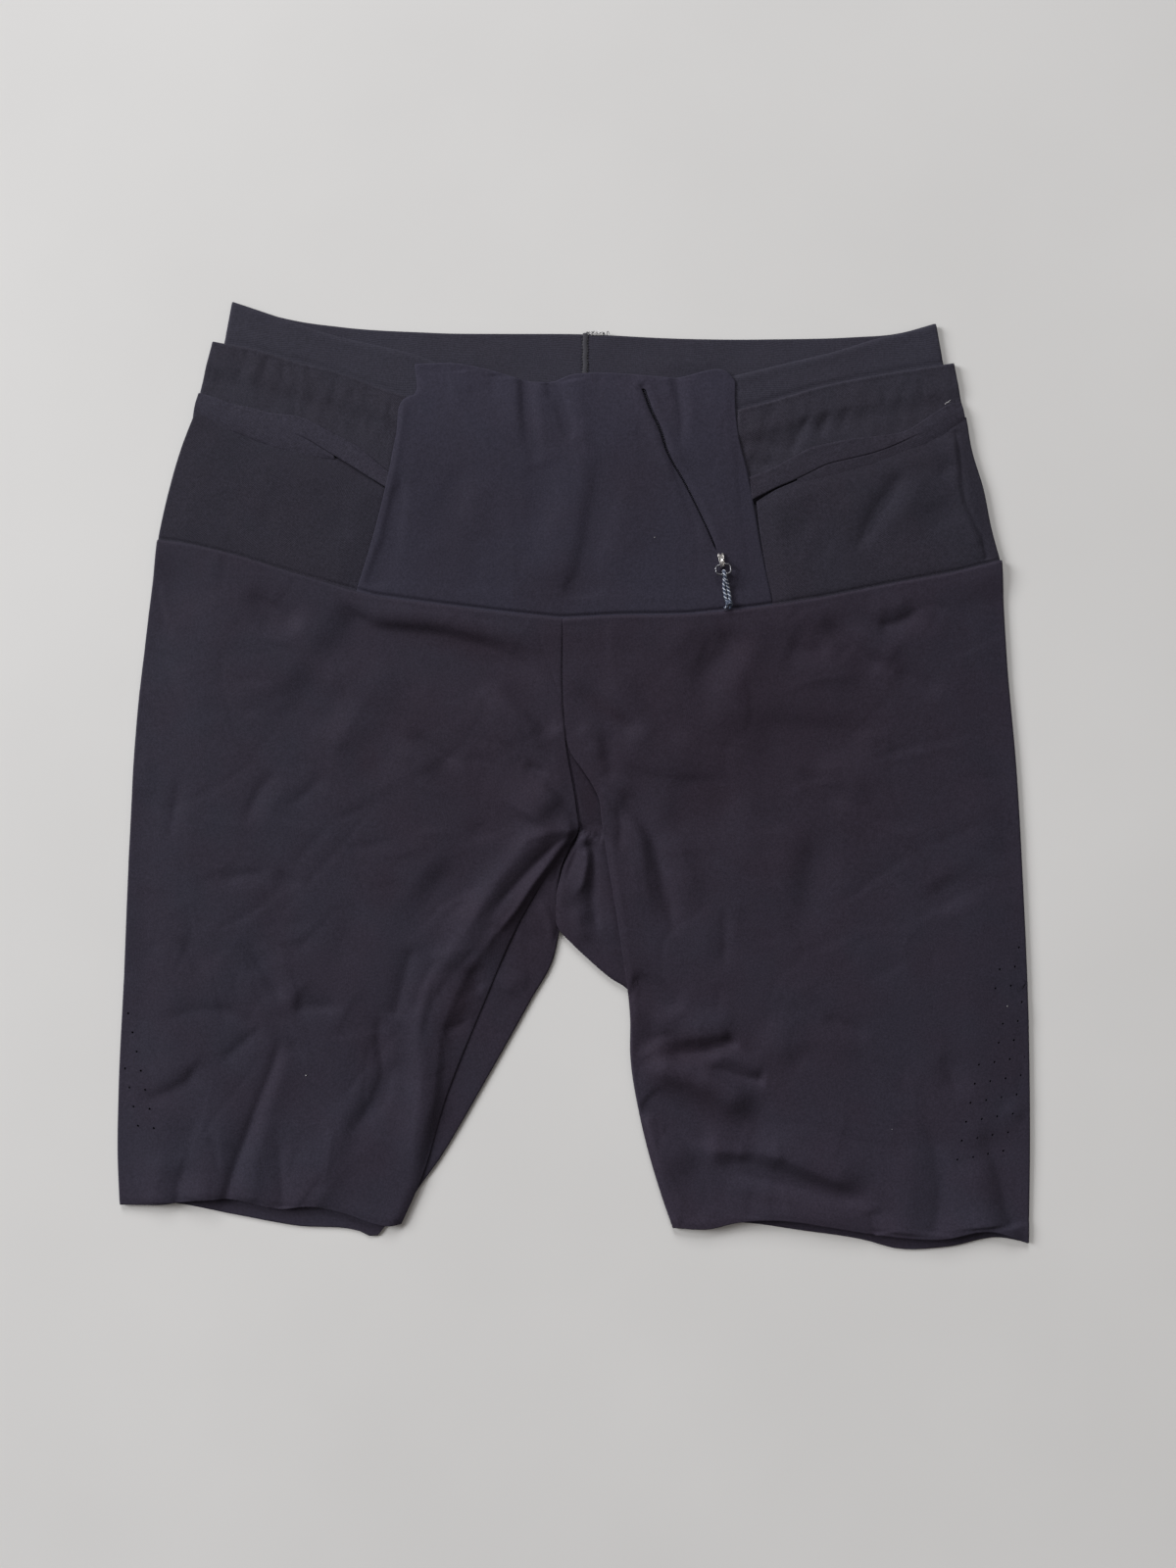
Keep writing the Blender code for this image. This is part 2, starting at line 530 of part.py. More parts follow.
seam_gap = 0.3
top_l = curve(LEG_L_TOP[:-1] + [(-5.8 - seam_gap, 80.3)])
in_l = curve([(x - (seam_gap if y > -36.0 else 0.0), y) for x, y in LEG_L_INNER])
panel("leg_front_left", top_l, curve(LEG_L_HEM), outer_l, in_l,
      steps(15, 0.955), steps(22, 0.015, 0.030), leg_under(
          FOLDS_LEFT, top_l, 0.34, "right", (0.24, 2.0)), KNIT)
top_r = curve([(-5.8 + seam_gap, 80.3)] + LEG_R_TOP[1:])
in_r = curve([(x + (seam_gap if y > 12.0 else 0.0), y) for x, y in LEG_R_INNER])
panel("leg_front_right", top_r, curve(LEG_R_HEM), in_r, outer_r,
      steps(15, 0.045), steps(22, 0.015, 0.030), leg_under(
          FOLDS_RIGHT, top_r, 0.22, "left", (0.16, 0.66)), KNIT)

# -------------------------------------------------------------- zip parts
zip_at = curve(ZIP_LINE)
coil_z = LEVEL[3]


def ribbon(name, centre_at, width, z, wall, n, mat):
    """Flat strip that follows a line."""
    left, right = [], []
    for i in range(n + 1):
        t = i / n
        a = centre_at(max(0.0, t - 0.01))
        b = centre_at(min(1.0, t + 0.01))
        along = (b - a).normalized()
        side = Vector((-along.y, along.x)) * width / 2
        p = centre_at(t)
        left.append(tuple(p + side))
        right.append(tuple(p - side))
    return slab(name, left + list(reversed(right)), z, mat, wall)


ribbon("zip_coil", zip_at, 2.2, coil_z, 0.6, 14, ZIP)

along = Vector(PULL_DIR).normalized()
across = Vector((-along.y, along.x))
pin = Vector(SLIDER_AT)


def on_pull(a, s, z):
    """Point from a (across), s (along the pull from its pin) and height z."""
    p = pin + across * a + along * s
    return (p.x, p.y, z)


# slider body and bridge: a side profile round the eye, extruded across
base_z = LEVEL[3]
BODY = [(-6.0, 0.0), (-6.0, 0.9), (-4.0, 1.3), (-2.0, 2.7), (-0.9, 3.15),
        (0.5, 3.15), (1.3, 2.6), (1.55, 1.9), (1.55, 1.0), (1.4, 0.0),
        (0.0, 0.0), (-2.5, 0.0)]
count = len(BODY)
eye = [(EYE_R * cos(radians(195 - 30 * k)), EYE_UP + EYE_R * sin(radians(195 - 30 * k)))
       for k in range(count)]
verts, faces = [], []
for a in (-SLIDER_WIDTH / 2, SLIDER_WIDTH / 2):
    verts += [on_pull(a, s, base_z + z) for s, z in BODY]
    verts += [on_pull(a, s, base_z + z) for s, z in eye]
for k in range(count):
    n = (k + 1) % count
    o, i, o2, i2 = k, k + count, k + 2 * count, k + 3 * count
    on, inn, on2, in2 = n, n + count, n + 2 * count, n + 3 * count
    faces += [(o, on, inn, i), (o2, i2, in2, on2), (o, o2, on2, on), (i, inn, in2, i2)]
add("zip_slider", verts, faces, SILVER)


def tube(name, points, bevel, closed, mat):
    data = bpy.data.curves.new(name, "CURVE")
    data.dimensions = "3D"
    data.bevel_depth = bevel * MM
    data.bevel_resolution = 2
    data.use_fill_caps = not closed
    line = data.splines.new("POLY")
    line.points.add(len(points) - 1)
    line.use_cyclic_u = closed
    for p, (x, y, z) in zip(line.points, points):
        p.co = ((x - CENTRE_X) * MM, (y - CENTRE_Y) * MM, z * MM, 1.0)
    data.materials.append(mat)
    obj = bpy.data.objects.new(name, data)
    bpy.context.scene.collection.objects.link(obj)
    return obj


# wire ring: its near side runs through the eye and is the hinge pin
pin_z = base_z + EYE_UP
far_z = base_z + CORD_D / 2 + 0.05 + CORD_D / 2 + RING_WIRE / 2 + 0.35
ring = []
for k in range(28):
    w = 2 * pi * k / 28
    c, s = cos(w), sin(w)
    a = RING_HALF_W * (1 if c > 0 else -1) * abs(c) ** (2 / 3)
    d = RING_HALF_L + RING_HALF_L * (1 if s > 0 else -1) * abs(s) ** (2 / 3)
    ring.append(on_pull(a, d, pin_z + (far_z - pin_z) * d / (2 * RING_HALF_L)))
tube("zip_ring", ring, RING_WIRE / 2, True, WIRE)

# doubled cord: up through the ring, over its far wire, both runs to the knot
wrap = RING_WIRE / 2 + 0.35 + CORD_D / 2
far_s = 2 * RING_HALF_L
lie_z = base_z + CORD_D / 2 + 0.05
end_s = KNOT_AT - KNOT_R - 0.35
route = []
for k in range(9):                                   # lower run, knot to ring
    t = k / 8
    s = end_s + (far_s + 1.2 - end_s) * t
    route.append((-CORD_APART / 2 * (1 - smooth((t - 0.55) / 0.45)), s,
                  lie_z + (far_z - wrap - lie_z) * smooth((t - 0.5) / 0.5)))
for k in range(9):                                   # turn round the wire
    w = radians(-90 - 180 * k / 8)
    route.append((0.0, far_s + wrap * cos(w), far_z + wrap * sin(w)))
for k in range(1, 11):                               # upper run, ring to knot
    t = k / 10
    s = far_s + (end_s - far_s) * t
    route.append((CORD_APART / 2 * smooth((t - 0.1) / 0.4), s,
                  far_z + wrap + (lie_z - far_z - wrap) * smooth((t - 0.02) / 0.62)))
tube("zip_cord", [on_pull(*p) for p in route], CORD_D / 2, False, CORD)

# knot: a turned solid, long axis along the pull
verts, faces = [], []
rings, sides = 7, 12
for j in range(1, rings):
    w = pi * j / rings
    for i in range(sides):
        q = 2 * pi * i / sides
        verts.append(on_pull(KNOT_R * sin(w) * cos(q), KNOT_AT - KNOT_R * cos(w),
                             base_z + 0.05 + 1.7 + 1.7 * sin(w) * sin(q)))
first = len(verts)
verts += [on_pull(0.0, KNOT_AT - KNOT_R, base_z + 1.75),
          on_pull(0.0, KNOT_AT + KNOT_R, base_z + 1.75)]
for j in range(rings - 2):
    for i in range(sides):
        n = (i + 1) % sides
        faces.append((j * sides + i, j * sides + n, (j + 1) * sides + n,
                      (j + 1) * sides + i))
for i in range(sides):
    n = (i + 1) % sides
    last = (rings - 2) * sides
    faces += [(first, n, i), (first + 1, last + i, last + n)]
add("zip_knot", verts, faces, CORD, True)
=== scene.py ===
"""Looks of the running half tights, laid flat.

Lengths are in millimetres in the garment's own axes (+X to the side, +Y to
the waist, +Z up) until a mesh is made.  "Left" is -X.  Every piece is a thin
shell on the form of its solid, with folds set out in the tables below.  A
fold row is: path, width on its left, width on its right, height (below 0 is
a trough), fade at the start, fade at the end.
"""
from math import cos, sin, pi, radians

import bpy
import numpy as np
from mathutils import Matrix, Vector


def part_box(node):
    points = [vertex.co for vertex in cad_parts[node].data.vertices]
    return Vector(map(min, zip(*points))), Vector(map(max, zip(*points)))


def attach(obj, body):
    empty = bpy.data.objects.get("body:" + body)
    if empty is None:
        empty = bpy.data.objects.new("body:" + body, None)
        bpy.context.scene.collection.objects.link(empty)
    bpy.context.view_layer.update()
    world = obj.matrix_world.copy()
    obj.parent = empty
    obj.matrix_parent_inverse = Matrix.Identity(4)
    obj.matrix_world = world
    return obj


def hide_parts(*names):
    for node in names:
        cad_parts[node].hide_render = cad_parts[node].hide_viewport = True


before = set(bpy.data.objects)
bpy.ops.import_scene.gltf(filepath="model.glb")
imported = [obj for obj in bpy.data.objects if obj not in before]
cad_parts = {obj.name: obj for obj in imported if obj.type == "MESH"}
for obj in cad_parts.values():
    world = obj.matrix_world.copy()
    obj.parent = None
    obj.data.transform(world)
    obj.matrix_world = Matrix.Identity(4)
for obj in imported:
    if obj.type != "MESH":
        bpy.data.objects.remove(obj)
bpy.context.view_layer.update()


# the garment's own axes, placed from the frame
band_low, band_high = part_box("waistband_front")
OX = band_low.x * 1000.0 + 179.6
OY = band_high.y * 1000.0 - 242.9
MM = 0.001
BODY = "garment"
PULL = "pull"

# ---------------------------------------------------------------- outlines
# columns: x, y   (top to bottom for sides, left to right for tops and hems)
LEG_L_TOP = [(-213.9, 120.7), (-201.2, 119.2), (-175.0, 113.1), (-140.1, 102.5),
             (-101.8, 91.9), (-69.9, 87.6), (-35.1, 83.3), (-5.8, 80.3)]
LEG_L_HEM = [(-233.6, -220.7), (-212.4, -220.2), (-191.1, -217.7), (-175.0, -217.7),
             (-154.3, -222.2), (-133.1, -221.2), (-118.9, -224.5), (-94.7, -231.3),
             (-88.6, -230.6)]
LEG_L_OUTER = [(-213.9, 120.7), (-219.4, 76.3), (-225.0, 25.8), (-228.5, -34.8),
               (-231.5, -105.5), (-234.1, -161.1), (-234.6, -196.0), (-233.6, -220.7)]
LEG_L_INNER = [(-5.8, 80.3), (-6.3, 46.0), (-4.3, 17.2), (1.3, -17.2), (2.3, -28.8),
               (-5.3, -38.9), (-28.0, -75.8), (-47.2, -119.7), (-64.9, -163.6),
               (-79.0, -209.1), (-88.6, -230.6)]
LEG_R_TOP = [(-5.8, 80.3), (22.0, 81.8), (57.3, 82.3), (92.2, 85.8), (127.0, 91.1),
             (162.4, 98.0), (197.2, 104.5), (219.9, 110.3)]
LEG_R_HEM = [(50.8, -232.8), (69.4, -232.8), (82.6, -230.2), (109.8, -230.6),
             (127.0, -233.3), (153.3, -237.3), (188.6, -237.9), (214.9, -233.9),
             (234.1, -240.4)]
LEG_R_INNER = [(-5.8, 80.3), (-6.3, 46.0), (-3.8, 18.7), (0.3, 10.6), (7.3, 3.0),
               (13.4, -8.6), (15.9, -34.8), (24.5, -88.9), (29.0, -125.7),
               (29.0, -143.4), (34.1, -176.2), (45.2, -216.6), (50.8, -232.8)]
LEG_R_OUTER = [(219.9, 110.3), (223.0, 56.1), (227.5, 5.6), (231.0, -55.0),
               (233.6, -115.6), (234.6, -186.3), (234.1, -240.4)]
BACK_L_HEM = [(-233.6, -220.2), (-212.4, -219.2), (-202.0, -220.4), (-175.0, -225.7),
              (-141.9, -231.8), (-105.3, -235.7), (-99.2, -238.4), (-93.7, -232.8),
              (-88.6, -230.6)]
BACK_R_HEM = [(50.8, -232.8), (82.6, -230.6), (113.4, -234.3), (151.8, -240.2),
              (162.4, -243.2), (191.6, -242.9), (219.9, -237.9), (234.1, -240.4)]
NOTCH_L = [(-7.3, -80.3), (-10.9, -95.4), (-22.0, -115.6), (-44.7, -156.0),
           (-68.4, -196.4), (-84.1, -219.7), (-88.6, -230.6)]
NOTCH_R = [(-7.3, -80.3), (-2.3, -85.3), (8.3, -95.4), (20.5, -105.5), (27.5, -109.6),
           (29.0, -125.7), (29.0, -143.4), (34.1, -176.2), (45.2, -216.6),
           (50.8, -232.8)]
BACK_SEAM = [(2.3, 107.2), (-2.8, -28.8), (-7.3, -80.3)]
BACK_WAIST = [(-214.9, 116.7), (-144.2, 112.1), (2.3, 107.2), (133.6, 104.5),
              (220.4, 106.0)]
BAND_BACK_TOP = [(-174.5, 242.9), (-156.8, 236.8), (-141.7, 233.3), (-118.9, 230.3),
                 (-68.4, 227.2), (7.3, 226.7), (57.8, 224.2), (108.3, 224.2),
                 (146.2, 225.2), (161.3, 226.2), (185.1, 231.3)]
BAND_BACK_LOW = [(-179.0, 221.2), (-144.2, 207.6), (-93.7, 198.5), (7.3, 192.4),
                 (108.3, 194.9), (158.8, 201.5), (189.6, 211.0)]
BAND_FRONT_TOP = [(-174.5, 242.9), (-144.2, 232.8), (-124.0, 226.2), (-93.7, 219.2),
                  (-81.1, 216.1), (-43.2, 201.5), (2.3, 197.5), (47.7, 197.5),
                  (83.6, 205.5), (109.8, 211.8), (136.1, 218.2), (155.3, 224.2),
                  (170.9, 227.8), (185.1, 231.8)]
BAND_FRONT_LOW = [(-179.6, 214.6), (-144.2, 204.5), (-124.0, 199.5), (-98.7, 190.9),
                  (-73.5, 184.8), (2.3, 177.3), (57.8, 177.3), (83.6, 180.3),
                  (127.0, 191.9), (162.4, 199.0), (189.4, 204.5)]
BELT_L_TOP = [(-185.6, 222.7), (-164.4, 218.7), (-144.2, 212.6), (-124.0, 207.6),
              (-98.7, 198.5), (-87.3, 194.9)]
BELT_L_OUTER = [(-185.6, 222.7), (-189.6, 207.6), (-194.7, 187.4), (-202.3, 167.2),
                (-207.8, 147.0), (-212.4, 126.8), (-214.5, 115.9)]
BELT_R_TOP = [(84.4, 187.6), (99.2, 191.4), (127.0, 199.5), (162.4, 206.5),
              (179.5, 209.1), (195.4, 211.6)]
BELT_R_OUTER = [(195.4, 211.6), (200.2, 187.4), (204.3, 167.2), (210.3, 147.0),
                (214.4, 126.8), (220.3, 105.5)]
CENTRE_TOP = [(-81.6, 211.1), (-61.4, 211.3), (-35.1, 205.7), (-26.5, 203.0),
              (-9.8, 202.3), (-0.3, 205.7), (9.8, 206.5), (39.6, 205.0),
              (51.8, 204.0), (81.6, 205.7), (83.6, 203.0)]
CENTRE_LEFT = [(-81.6, 211.1), (-82.1, 195.4), (-86.6, 193.4), (-91.2, 174.2),
               (-96.2, 149.7), (-103.3, 121.7), (-112.4, 92.0)]
CENTRE_RIGHT = [(83.6, 203.0), (83.6, 188.4), (85.1, 174.2), (89.6, 155.0),
                (92.2, 140.9), (95.7, 120.2), (103.4, 82.5)]
BINDING_LA_UP = [(-192.5, 195.4), (-169.9, 187.4), (-152.3, 182.3), (-141.9, 173.7),
                 (-123.0, 163.1)]
BINDING_LA_LOW = [(-195.2, 185.3), (-178.5, 177.8), (-161.3, 169.7), (-147.2, 165.6),
                  (-133.1, 162.9), (-122.7, 162.1)]
BINDING_LB_UP = [(-150.7, 183.8), (-133.1, 181.3), (-112.4, 170.7), (-95.2, 155.6)]
BINDING_LB_LOW = [(-149.2, 180.3), (-141.9, 175.5), (-122.7, 164.4), (-97.6, 147.8)]
BINDING_RB_UP = [(90.9, 152.4), (109.8, 160.1), (119.9, 165.6), (136.1, 171.7),
                 (153.3, 174.2), (166.6, 174.4)]
BINDING_RB_LOW = [(92.9, 142.4), (106.3, 149.7), (119.9, 156.6), (132.6, 161.2),
                  (148.2, 165.6), (166.6, 173.0)]
BINDING_RA_UP = [(113.5, 151.8), (125.5, 156.5), (136.1, 160.0), (148.2, 164.0),
                 (158.8, 168.2), (168.9, 172.2), (179.5, 179.0), (191.6, 187.9),
                 (199.0, 190.8)]
BINDING_RA_LOW = [(113.5, 151.1), (119.4, 148.9), (127.0, 148.0), (144.7, 149.7),
                  (162.4, 155.0), (191.6, 177.3), (201.2, 181.3)]
ZIP_LINE = [(35.6, 198.5), (39.6, 187.4), (44.2, 177.8), (48.2, 165.6),
            (57.1, 149.7), (64.1, 135.8), (71.0, 120.7), (73.0, 115.6)]
CROTCH_SEAM = [(2.3, -28.8), (-6.3, -49.0), (-7.3, -80.3)]

# ------------------------------------------------------------------ camera
camera_data = bpy.data.cameras.new("camera")
camera_data.lens = 27.04
camera_data.sensor_width = 36.0
camera_data.clip_start = 0.01
camera = bpy.data.objects.new("camera", camera_data)
camera.location = ((7.3 + OX) * MM, (-4.5 + OY) * MM, 0.607)
bpy.context.scene.collection.objects.link(camera)
bpy.context.scene.camera = camera


# -------------------------------------------------------------- small maths
def smooth(t):
    t = np.clip(t, 0.0, 1.0)
    return t * t * (3.0 - 2.0 * t)


def curve(points):
    """A smooth curve through the points, read by its share of length."""
    pts = np.array(points, float)
    h = np.linalg.norm(np.diff(pts, axis=0), axis=1)
    run = np.concatenate([[0.0], np.cumsum(h)])
    chord = np.diff(pts, axis=0) / h[:, None]
    slope = np.empty_like(pts)
    slope[0], slope[-1] = chord[0], chord[-1]
    if len(pts) > 2:
        slope[1:-1] = ((chord[:-1] * h[1:, None] + chord[1:] * h[:-1, None])
                       / (h[1:] + h[:-1])[:, None])

    def at(t):
        s = np.clip(np.asarray(t, float), 0.0, 1.0) * run[-1]
        i = np.clip(np.searchsorted(run, s, side="left") - 1, 0, len(pts) - 2)
        k = ((s - run[i]) / h[i])[..., None]
        k2, k3 = k * k, k * k * k
        hi = h[i][..., None]
        return ((2 * k3 - 3 * k2 + 1) * pts[i] + (k3 - 2 * k2 + k) * hi * slope[i]
                + (3 * k2 - 2 * k3) * pts[i + 1] + (k3 - k2) * hi * slope[i + 1])
    at.length = run[-1]
    return at


def inset(curve_at, amount):
    """The curve moved sideways; amount > 0 moves it to the right of its run."""
    def at(t):
        t = np.asarray(t, float)
        a, b = curve_at(t - 0.004), curve_at(t + 0.004)
        along = b - a
        along /= np.linalg.norm(along, axis=-1, keepdims=True)
        far = amount(t) if callable(amount) else amount
        side = np.stack([along[..., 1], -along[..., 0]], -1)
        return curve_at(t) + side * np.asarray(far)[..., None]
    return at


def coons(top, hem, left, right, U, V):
    """Points of a patch between four edges."""
    c00, c10, c01, c11 = top(0.0), top(1.0), hem(0.0), hem(1.0)
    u, v = U[..., None], V[..., None]
    return ((1 - v) * top(U) + v * hem(U) + (1 - u) * left(V) + u * right(V)
            - (1 - u) * (1 - v) * c00 - u * (1 - v) * c10
            - (1 - u) * v * c01 - u * v * c11)


def folds(X, Y, rows):
    """Sum of the fold rows at X, Y.

    A narrow fold is a creased line with straight flanks that ease out, a
    wide one is a soft swell.
    """
    total = np.zeros_like(X)
    for path, wide_l, wide_r, height, fade0, fade1 in rows:
        pts = np.array(path, float)
        seg = np.diff(pts, axis=0)
        size = np.hypot(seg[:, 0], seg[:, 1])
        run = np.concatenate([[0.0], np.cumsum(size)])
        best = np.full(X.shape, 1e12)
        share = np.zeros_like(X)
        left = np.zeros(X.shape, bool)
        for k in range(len(seg)):
            dx, dy = seg[k]
            rx, ry = X - pts[k, 0], Y - pts[k, 1]
            t = np.clip((rx * dx + ry * dy) / size[k] ** 2, 0.0, 1.0)
            d2 = (rx - dx * t) ** 2 + (ry - dy * t) ** 2
            near = d2 < best
            best = np.where(near, d2, best)
            share = np.where(near, (run[k] + t * size[k]) / run[-1], share)
            left = np.where(near, dx * ry - dy * rx > 0, left)
        wide = np.where(left, wide_l, wide_r)
        ends = np.ones_like(X)
        if fade0 > 0:
            ends = ends * smooth(share / fade0)
        if fade1 > 0:
            ends = ends * smooth((1.0 - share) / fade1)
        nip = min(0.32 * min(wide_l, wide_r), 0.9)
        sharp = np.exp(-(np.sqrt(best + nip * nip) - nip) / (0.80 * wide))
        soft = np.exp(-best / wide ** 2)
        share_soft = smooth((wide - 3.5) / 5.0)
        total += height * ends * (sharp * (1 - share_soft) + soft * share_soft)
    return total


def creases(count, box, seed, lean, spread_by=28.0, size=(16.0, 52.0), depth=(0.14, 0.42)):
    """Fold rows for the small pressed wrinkles of a lying cloth.

    box is (low x, low y, high x, high y); lean(x, y) gives their direction in
    degrees there.
    """
    g = np.random.default_rng(seed)
    rows = []
    for _ in range(count):
        x, y = g.uniform(box[0], box[2]), g.uniform(box[1], box[3])
        way = radians(lean(x, y) + g.normal(0.0, spread_by))
        far = g.uniform(*size)
        turn = g.uniform(-0.35, 0.35)
        path = [(x, y)]
        for k in range(3):
            w = way + turn * (k - 1)
            x, y = x + far / 3 * cos(w), y + far / 3 * sin(w)
            path.append((x, y))
        tight, wide = g.uniform(0.7, 1.5), g.uniform(3.0, 9.0)
        if g.random() < 0.5:
            tight, wide = wide, tight
        rows.append((path, tight, wide, g.uniform(*depth) * (1 if g.random() < 0.45 else -1),
                     g.uniform(0.25, 0.45), g.uniform(0.25, 0.45)))
    return rows


def noise(X, Y, cell, seed, turn=0.0, stretch=1.0):
    """Smooth noise from -1 to 1; stretch lengthens it along its own x."""
    lattice = np.random.default_rng(seed).uniform(-1, 1, (97, 97))
    c, s = cos(radians(turn)), sin(radians(turn))
    u = (X * c + Y * s) / (cell * stretch) + 500.3
    v = (-X * s + Y * c) / cell + 500.7
    i, j = np.floor(u).astype(int), np.floor(v).astype(int)
    a, b = u - i, v - j
    a, b = a * a * a * (a * (6 * a - 15) + 10), b * b * b * (b * (6 * b - 15) + 10)
    i, j, i1, j1 = i % 97, j % 97, (i + 1) % 97, (j + 1) % 97
    return ((lattice[i, j] * (1 - a) + lattice[i1, j] * a) * (1 - b)
            + (lattice[i, j1] * (1 - a) + lattice[i1, j1] * a) * b)


def moved_points(points, dx, dy):
    return [(x + dx, y + dy) for x, y in points]


def distance_to(path, X, Y):
    pts = np.array(path, float)
    best = np.full(X.shape, 1e12)
    for (x0, y0), (x1, y1) in zip(pts, pts[1:]):
        dx, dy = x1 - x0, y1 - y0
        t = np.clip(((X - x0) * dx + (Y - y0) * dy) / (dx * dx + dy * dy), 0, 1)
        best = np.minimum(best, (X - x0 - dx * t) ** 2 + (Y - y0 - dy * t) ** 2)
    return np.sqrt(best)


# ------------------------------------------------------------- mesh making
def place(points):
    out = np.array(points, float)
    out[..., 0] += OX
    out[..., 1] += OY
    return out * MM


def make(name, verts, faces, mat, body=BODY, is_smooth=True):
    """A mesh piece from points in millimetres."""
    mesh = bpy.data.meshes.new(name)
    co = place(verts)
    if isinstance(faces, np.ndarray):
        mesh.vertices.add(len(co))
        mesh.vertices.foreach_set("co", co.astype(np.float32).ravel())
        mesh.loops.add(faces.size)
        mesh.loops.foreach_set("vertex_index", faces.astype(np.int32).ravel())
        mesh.polygons.add(len(faces))
        mesh.polygons.foreach_set(
            "loop_start", np.arange(0, faces.size, faces.shape[1], dtype=np.int32))
        mesh.update(calc_edges=True)
    else:
        mesh.from_pydata([tuple(p) for p in co], [], [tuple(f) for f in faces])
    mesh.validate()
    if is_smooth:
        mesh.shade_smooth()
    mesh.materials.append(mat)
    obj = bpy.data.objects.new(name, mesh)
    bpy.context.scene.collection.objects.link(obj)
    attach(obj, body)
    return obj


def normals(P, flip):
    du = np.gradient(P, axis=1)
    dv = np.gradient(P, axis=0)
    n = np.cross(du, dv)
    n /= np.maximum(np.linalg.norm(n, axis=2, keepdims=True), 1e-9)
    return -n if flip else n


def shell_mesh(P, thick, flip, lip=0.3, gone=None, inner_shift=None):
    """Points and faces of a closed thin shell under the grid P.

    gone marks grid faces left out, such as holes; every open edge is closed
    by a rounded wall.
    """
    R, C = P.shape[:2]
    n = normals(P, flip)
    T = thick if np.isscalar(thick) else thick[..., None]
    inner = P - n * T
    count = R * C
    at = np.arange(count).reshape(R, C)
    a, b, c, d = at[:-1, :-1], at[:-1, 1:], at[1:, 1:], at[1:, :-1]
    quads = np.stack([a, d, c, b] if flip else [a, b, c, d], -1)
    keep = np.ones((R - 1, C - 1), bool) if gone is None else ~gone
    quads = quads[keep]
    edges = np.concatenate([quads[:, [0, 1]], quads[:, [1, 2]],
                            quads[:, [2, 3]], quads[:, [3, 0]]])
    key = edges[:, 0].astype(np.int64) * count + edges[:, 1]
    back = edges[:, 1].astype(np.int64) * count + edges[:, 0]
    rim = edges[~np.isin(key, back)]
    flat, flat_n = P.reshape(-1, 3), n.reshape(-1, 3)
    flat_in = inner.reshape(-1, 3)
    along = flat[rim[:, 1]] - flat[rim[:, 0]]
    out = np.zeros_like(flat)
    side = np.cross(along, flat_n[rim[:, 0]])
    side /= np.maximum(np.linalg.norm(side, axis=1, keepdims=True), 1e-9)
    np.add.at(out, rim[:, 0], side)
    np.add.at(out, rim[:, 1], side)
    length = np.linalg.norm(out, axis=1, keepdims=True)
    out = out / np.maximum(length, 1e-9)
    on_rim = np.unique(rim)
    mid_at = np.full(count, -1)
    mid_at[on_rim] = 2 * count + np.arange(len(on_rim))
    mid = (flat[on_rim] + flat_in[on_rim]) / 2 + out[on_rim] * lip
    verts = np.concatenate([flat, flat_in, mid])
    wall_a = np.stack([rim[:, 1], rim[:, 0], mid_at[rim[:, 0]], mid_at[rim[:, 1]]], 1)
    wall_b = np.stack([mid_at[rim[:, 1]], mid_at[rim[:, 0]],
                       rim[:, 0] + count, rim[:, 1] + count], 1)
    under = quads[:, ::-1] + count
    faces = np.concatenate([quads, under, wall_a, wall_b])
    used = np.unique(faces)
    new = np.full(len(verts), -1)
    new[used] = np.arange(len(used))
    return verts[used], new[faces]


def shell(name, P, thick, flip, mat, lip=0.3, gone=None, cut=None):
    """cut lists the grid points round punched holes, whose rims stay crisp."""
    verts, faces = shell_mesh(P, thick, flip, lip, gone)
    obj = make(name, verts, faces, mat)
    if cut is not None and len(cut):
        mesh = obj.data
        ends = np.zeros(len(mesh.edges) * 2, np.int32)
        mesh.edges.foreach_get("vertices", ends)
        co = np.zeros(len(mesh.vertices) * 3, np.float32)
        mesh.vertices.foreach_get("co", co)
        co = co.reshape(-1, 3)
        near = np.zeros(len(co), bool)
        for q in place(cut):
            near |= ((co - q) ** 2).sum(1) < 1e-10
        on = near[ends.reshape(-1, 2)].all(1)
        layer = mesh.attributes.new("sharp_edge", "BOOLEAN", "EDGE")
        layer.data.foreach_set("value", on)
    return obj


def swept(path, radii, sides=10, twist=0.0, caps=True):
    """Points and faces of a tube along path, with a radius at each point."""
    path = np.array(path, float)
    radii = np.broadcast_to(np.asarray(radii, float), (len(path),))
    along = np.gradient(path, axis=0)
    along /= np.linalg.norm(along, axis=1, keepdims=True)
    side = np.cross(along[0], (0.0, 0.0, 1.0))
    if np.linalg.norm(side) < 1e-3:
        side = np.cross(along[0], (0.0, 1.0, 0.0))
    verts = []
    for p, r, t in zip(path, radii, along):
        side = side - t * np.dot(side, t)
        side /= np.linalg.norm(side)
        up = np.cross(t, side)
        for k in range(sides):
            w = 2 * pi * k / sides + twist
            verts.append(p + r * (side * cos(w) + up * sin(w)))
    faces = []
    for j in range(len(path) - 1):
        for k in range(sides):
            m = (k + 1) % sides
            faces.append((j * sides + k, j * sides + m,
                          (j + 1) * sides + m, (j + 1) * sides + k))
    if caps:
        faces.append(tuple(range(sides))[::-1])
        last = (len(path) - 1) * sides
        faces.append(tuple(last + k for k in range(sides)))
    return verts, faces


class Pile:
    """Several small meshes joined as one piece."""

    def __init__(self):
        self.verts, self.faces = [], []

    def add(self, verts, faces):
        base = len(self.verts)
        self.verts += [tuple(v) for v in verts]
        self.faces += [tuple(i + base for i in f) for f in faces]

    def make(self, name, mat, slot, body=BODY, is_smooth=True):
        return make(name, np.array(self.verts), self.faces, mat, body, is_smooth)


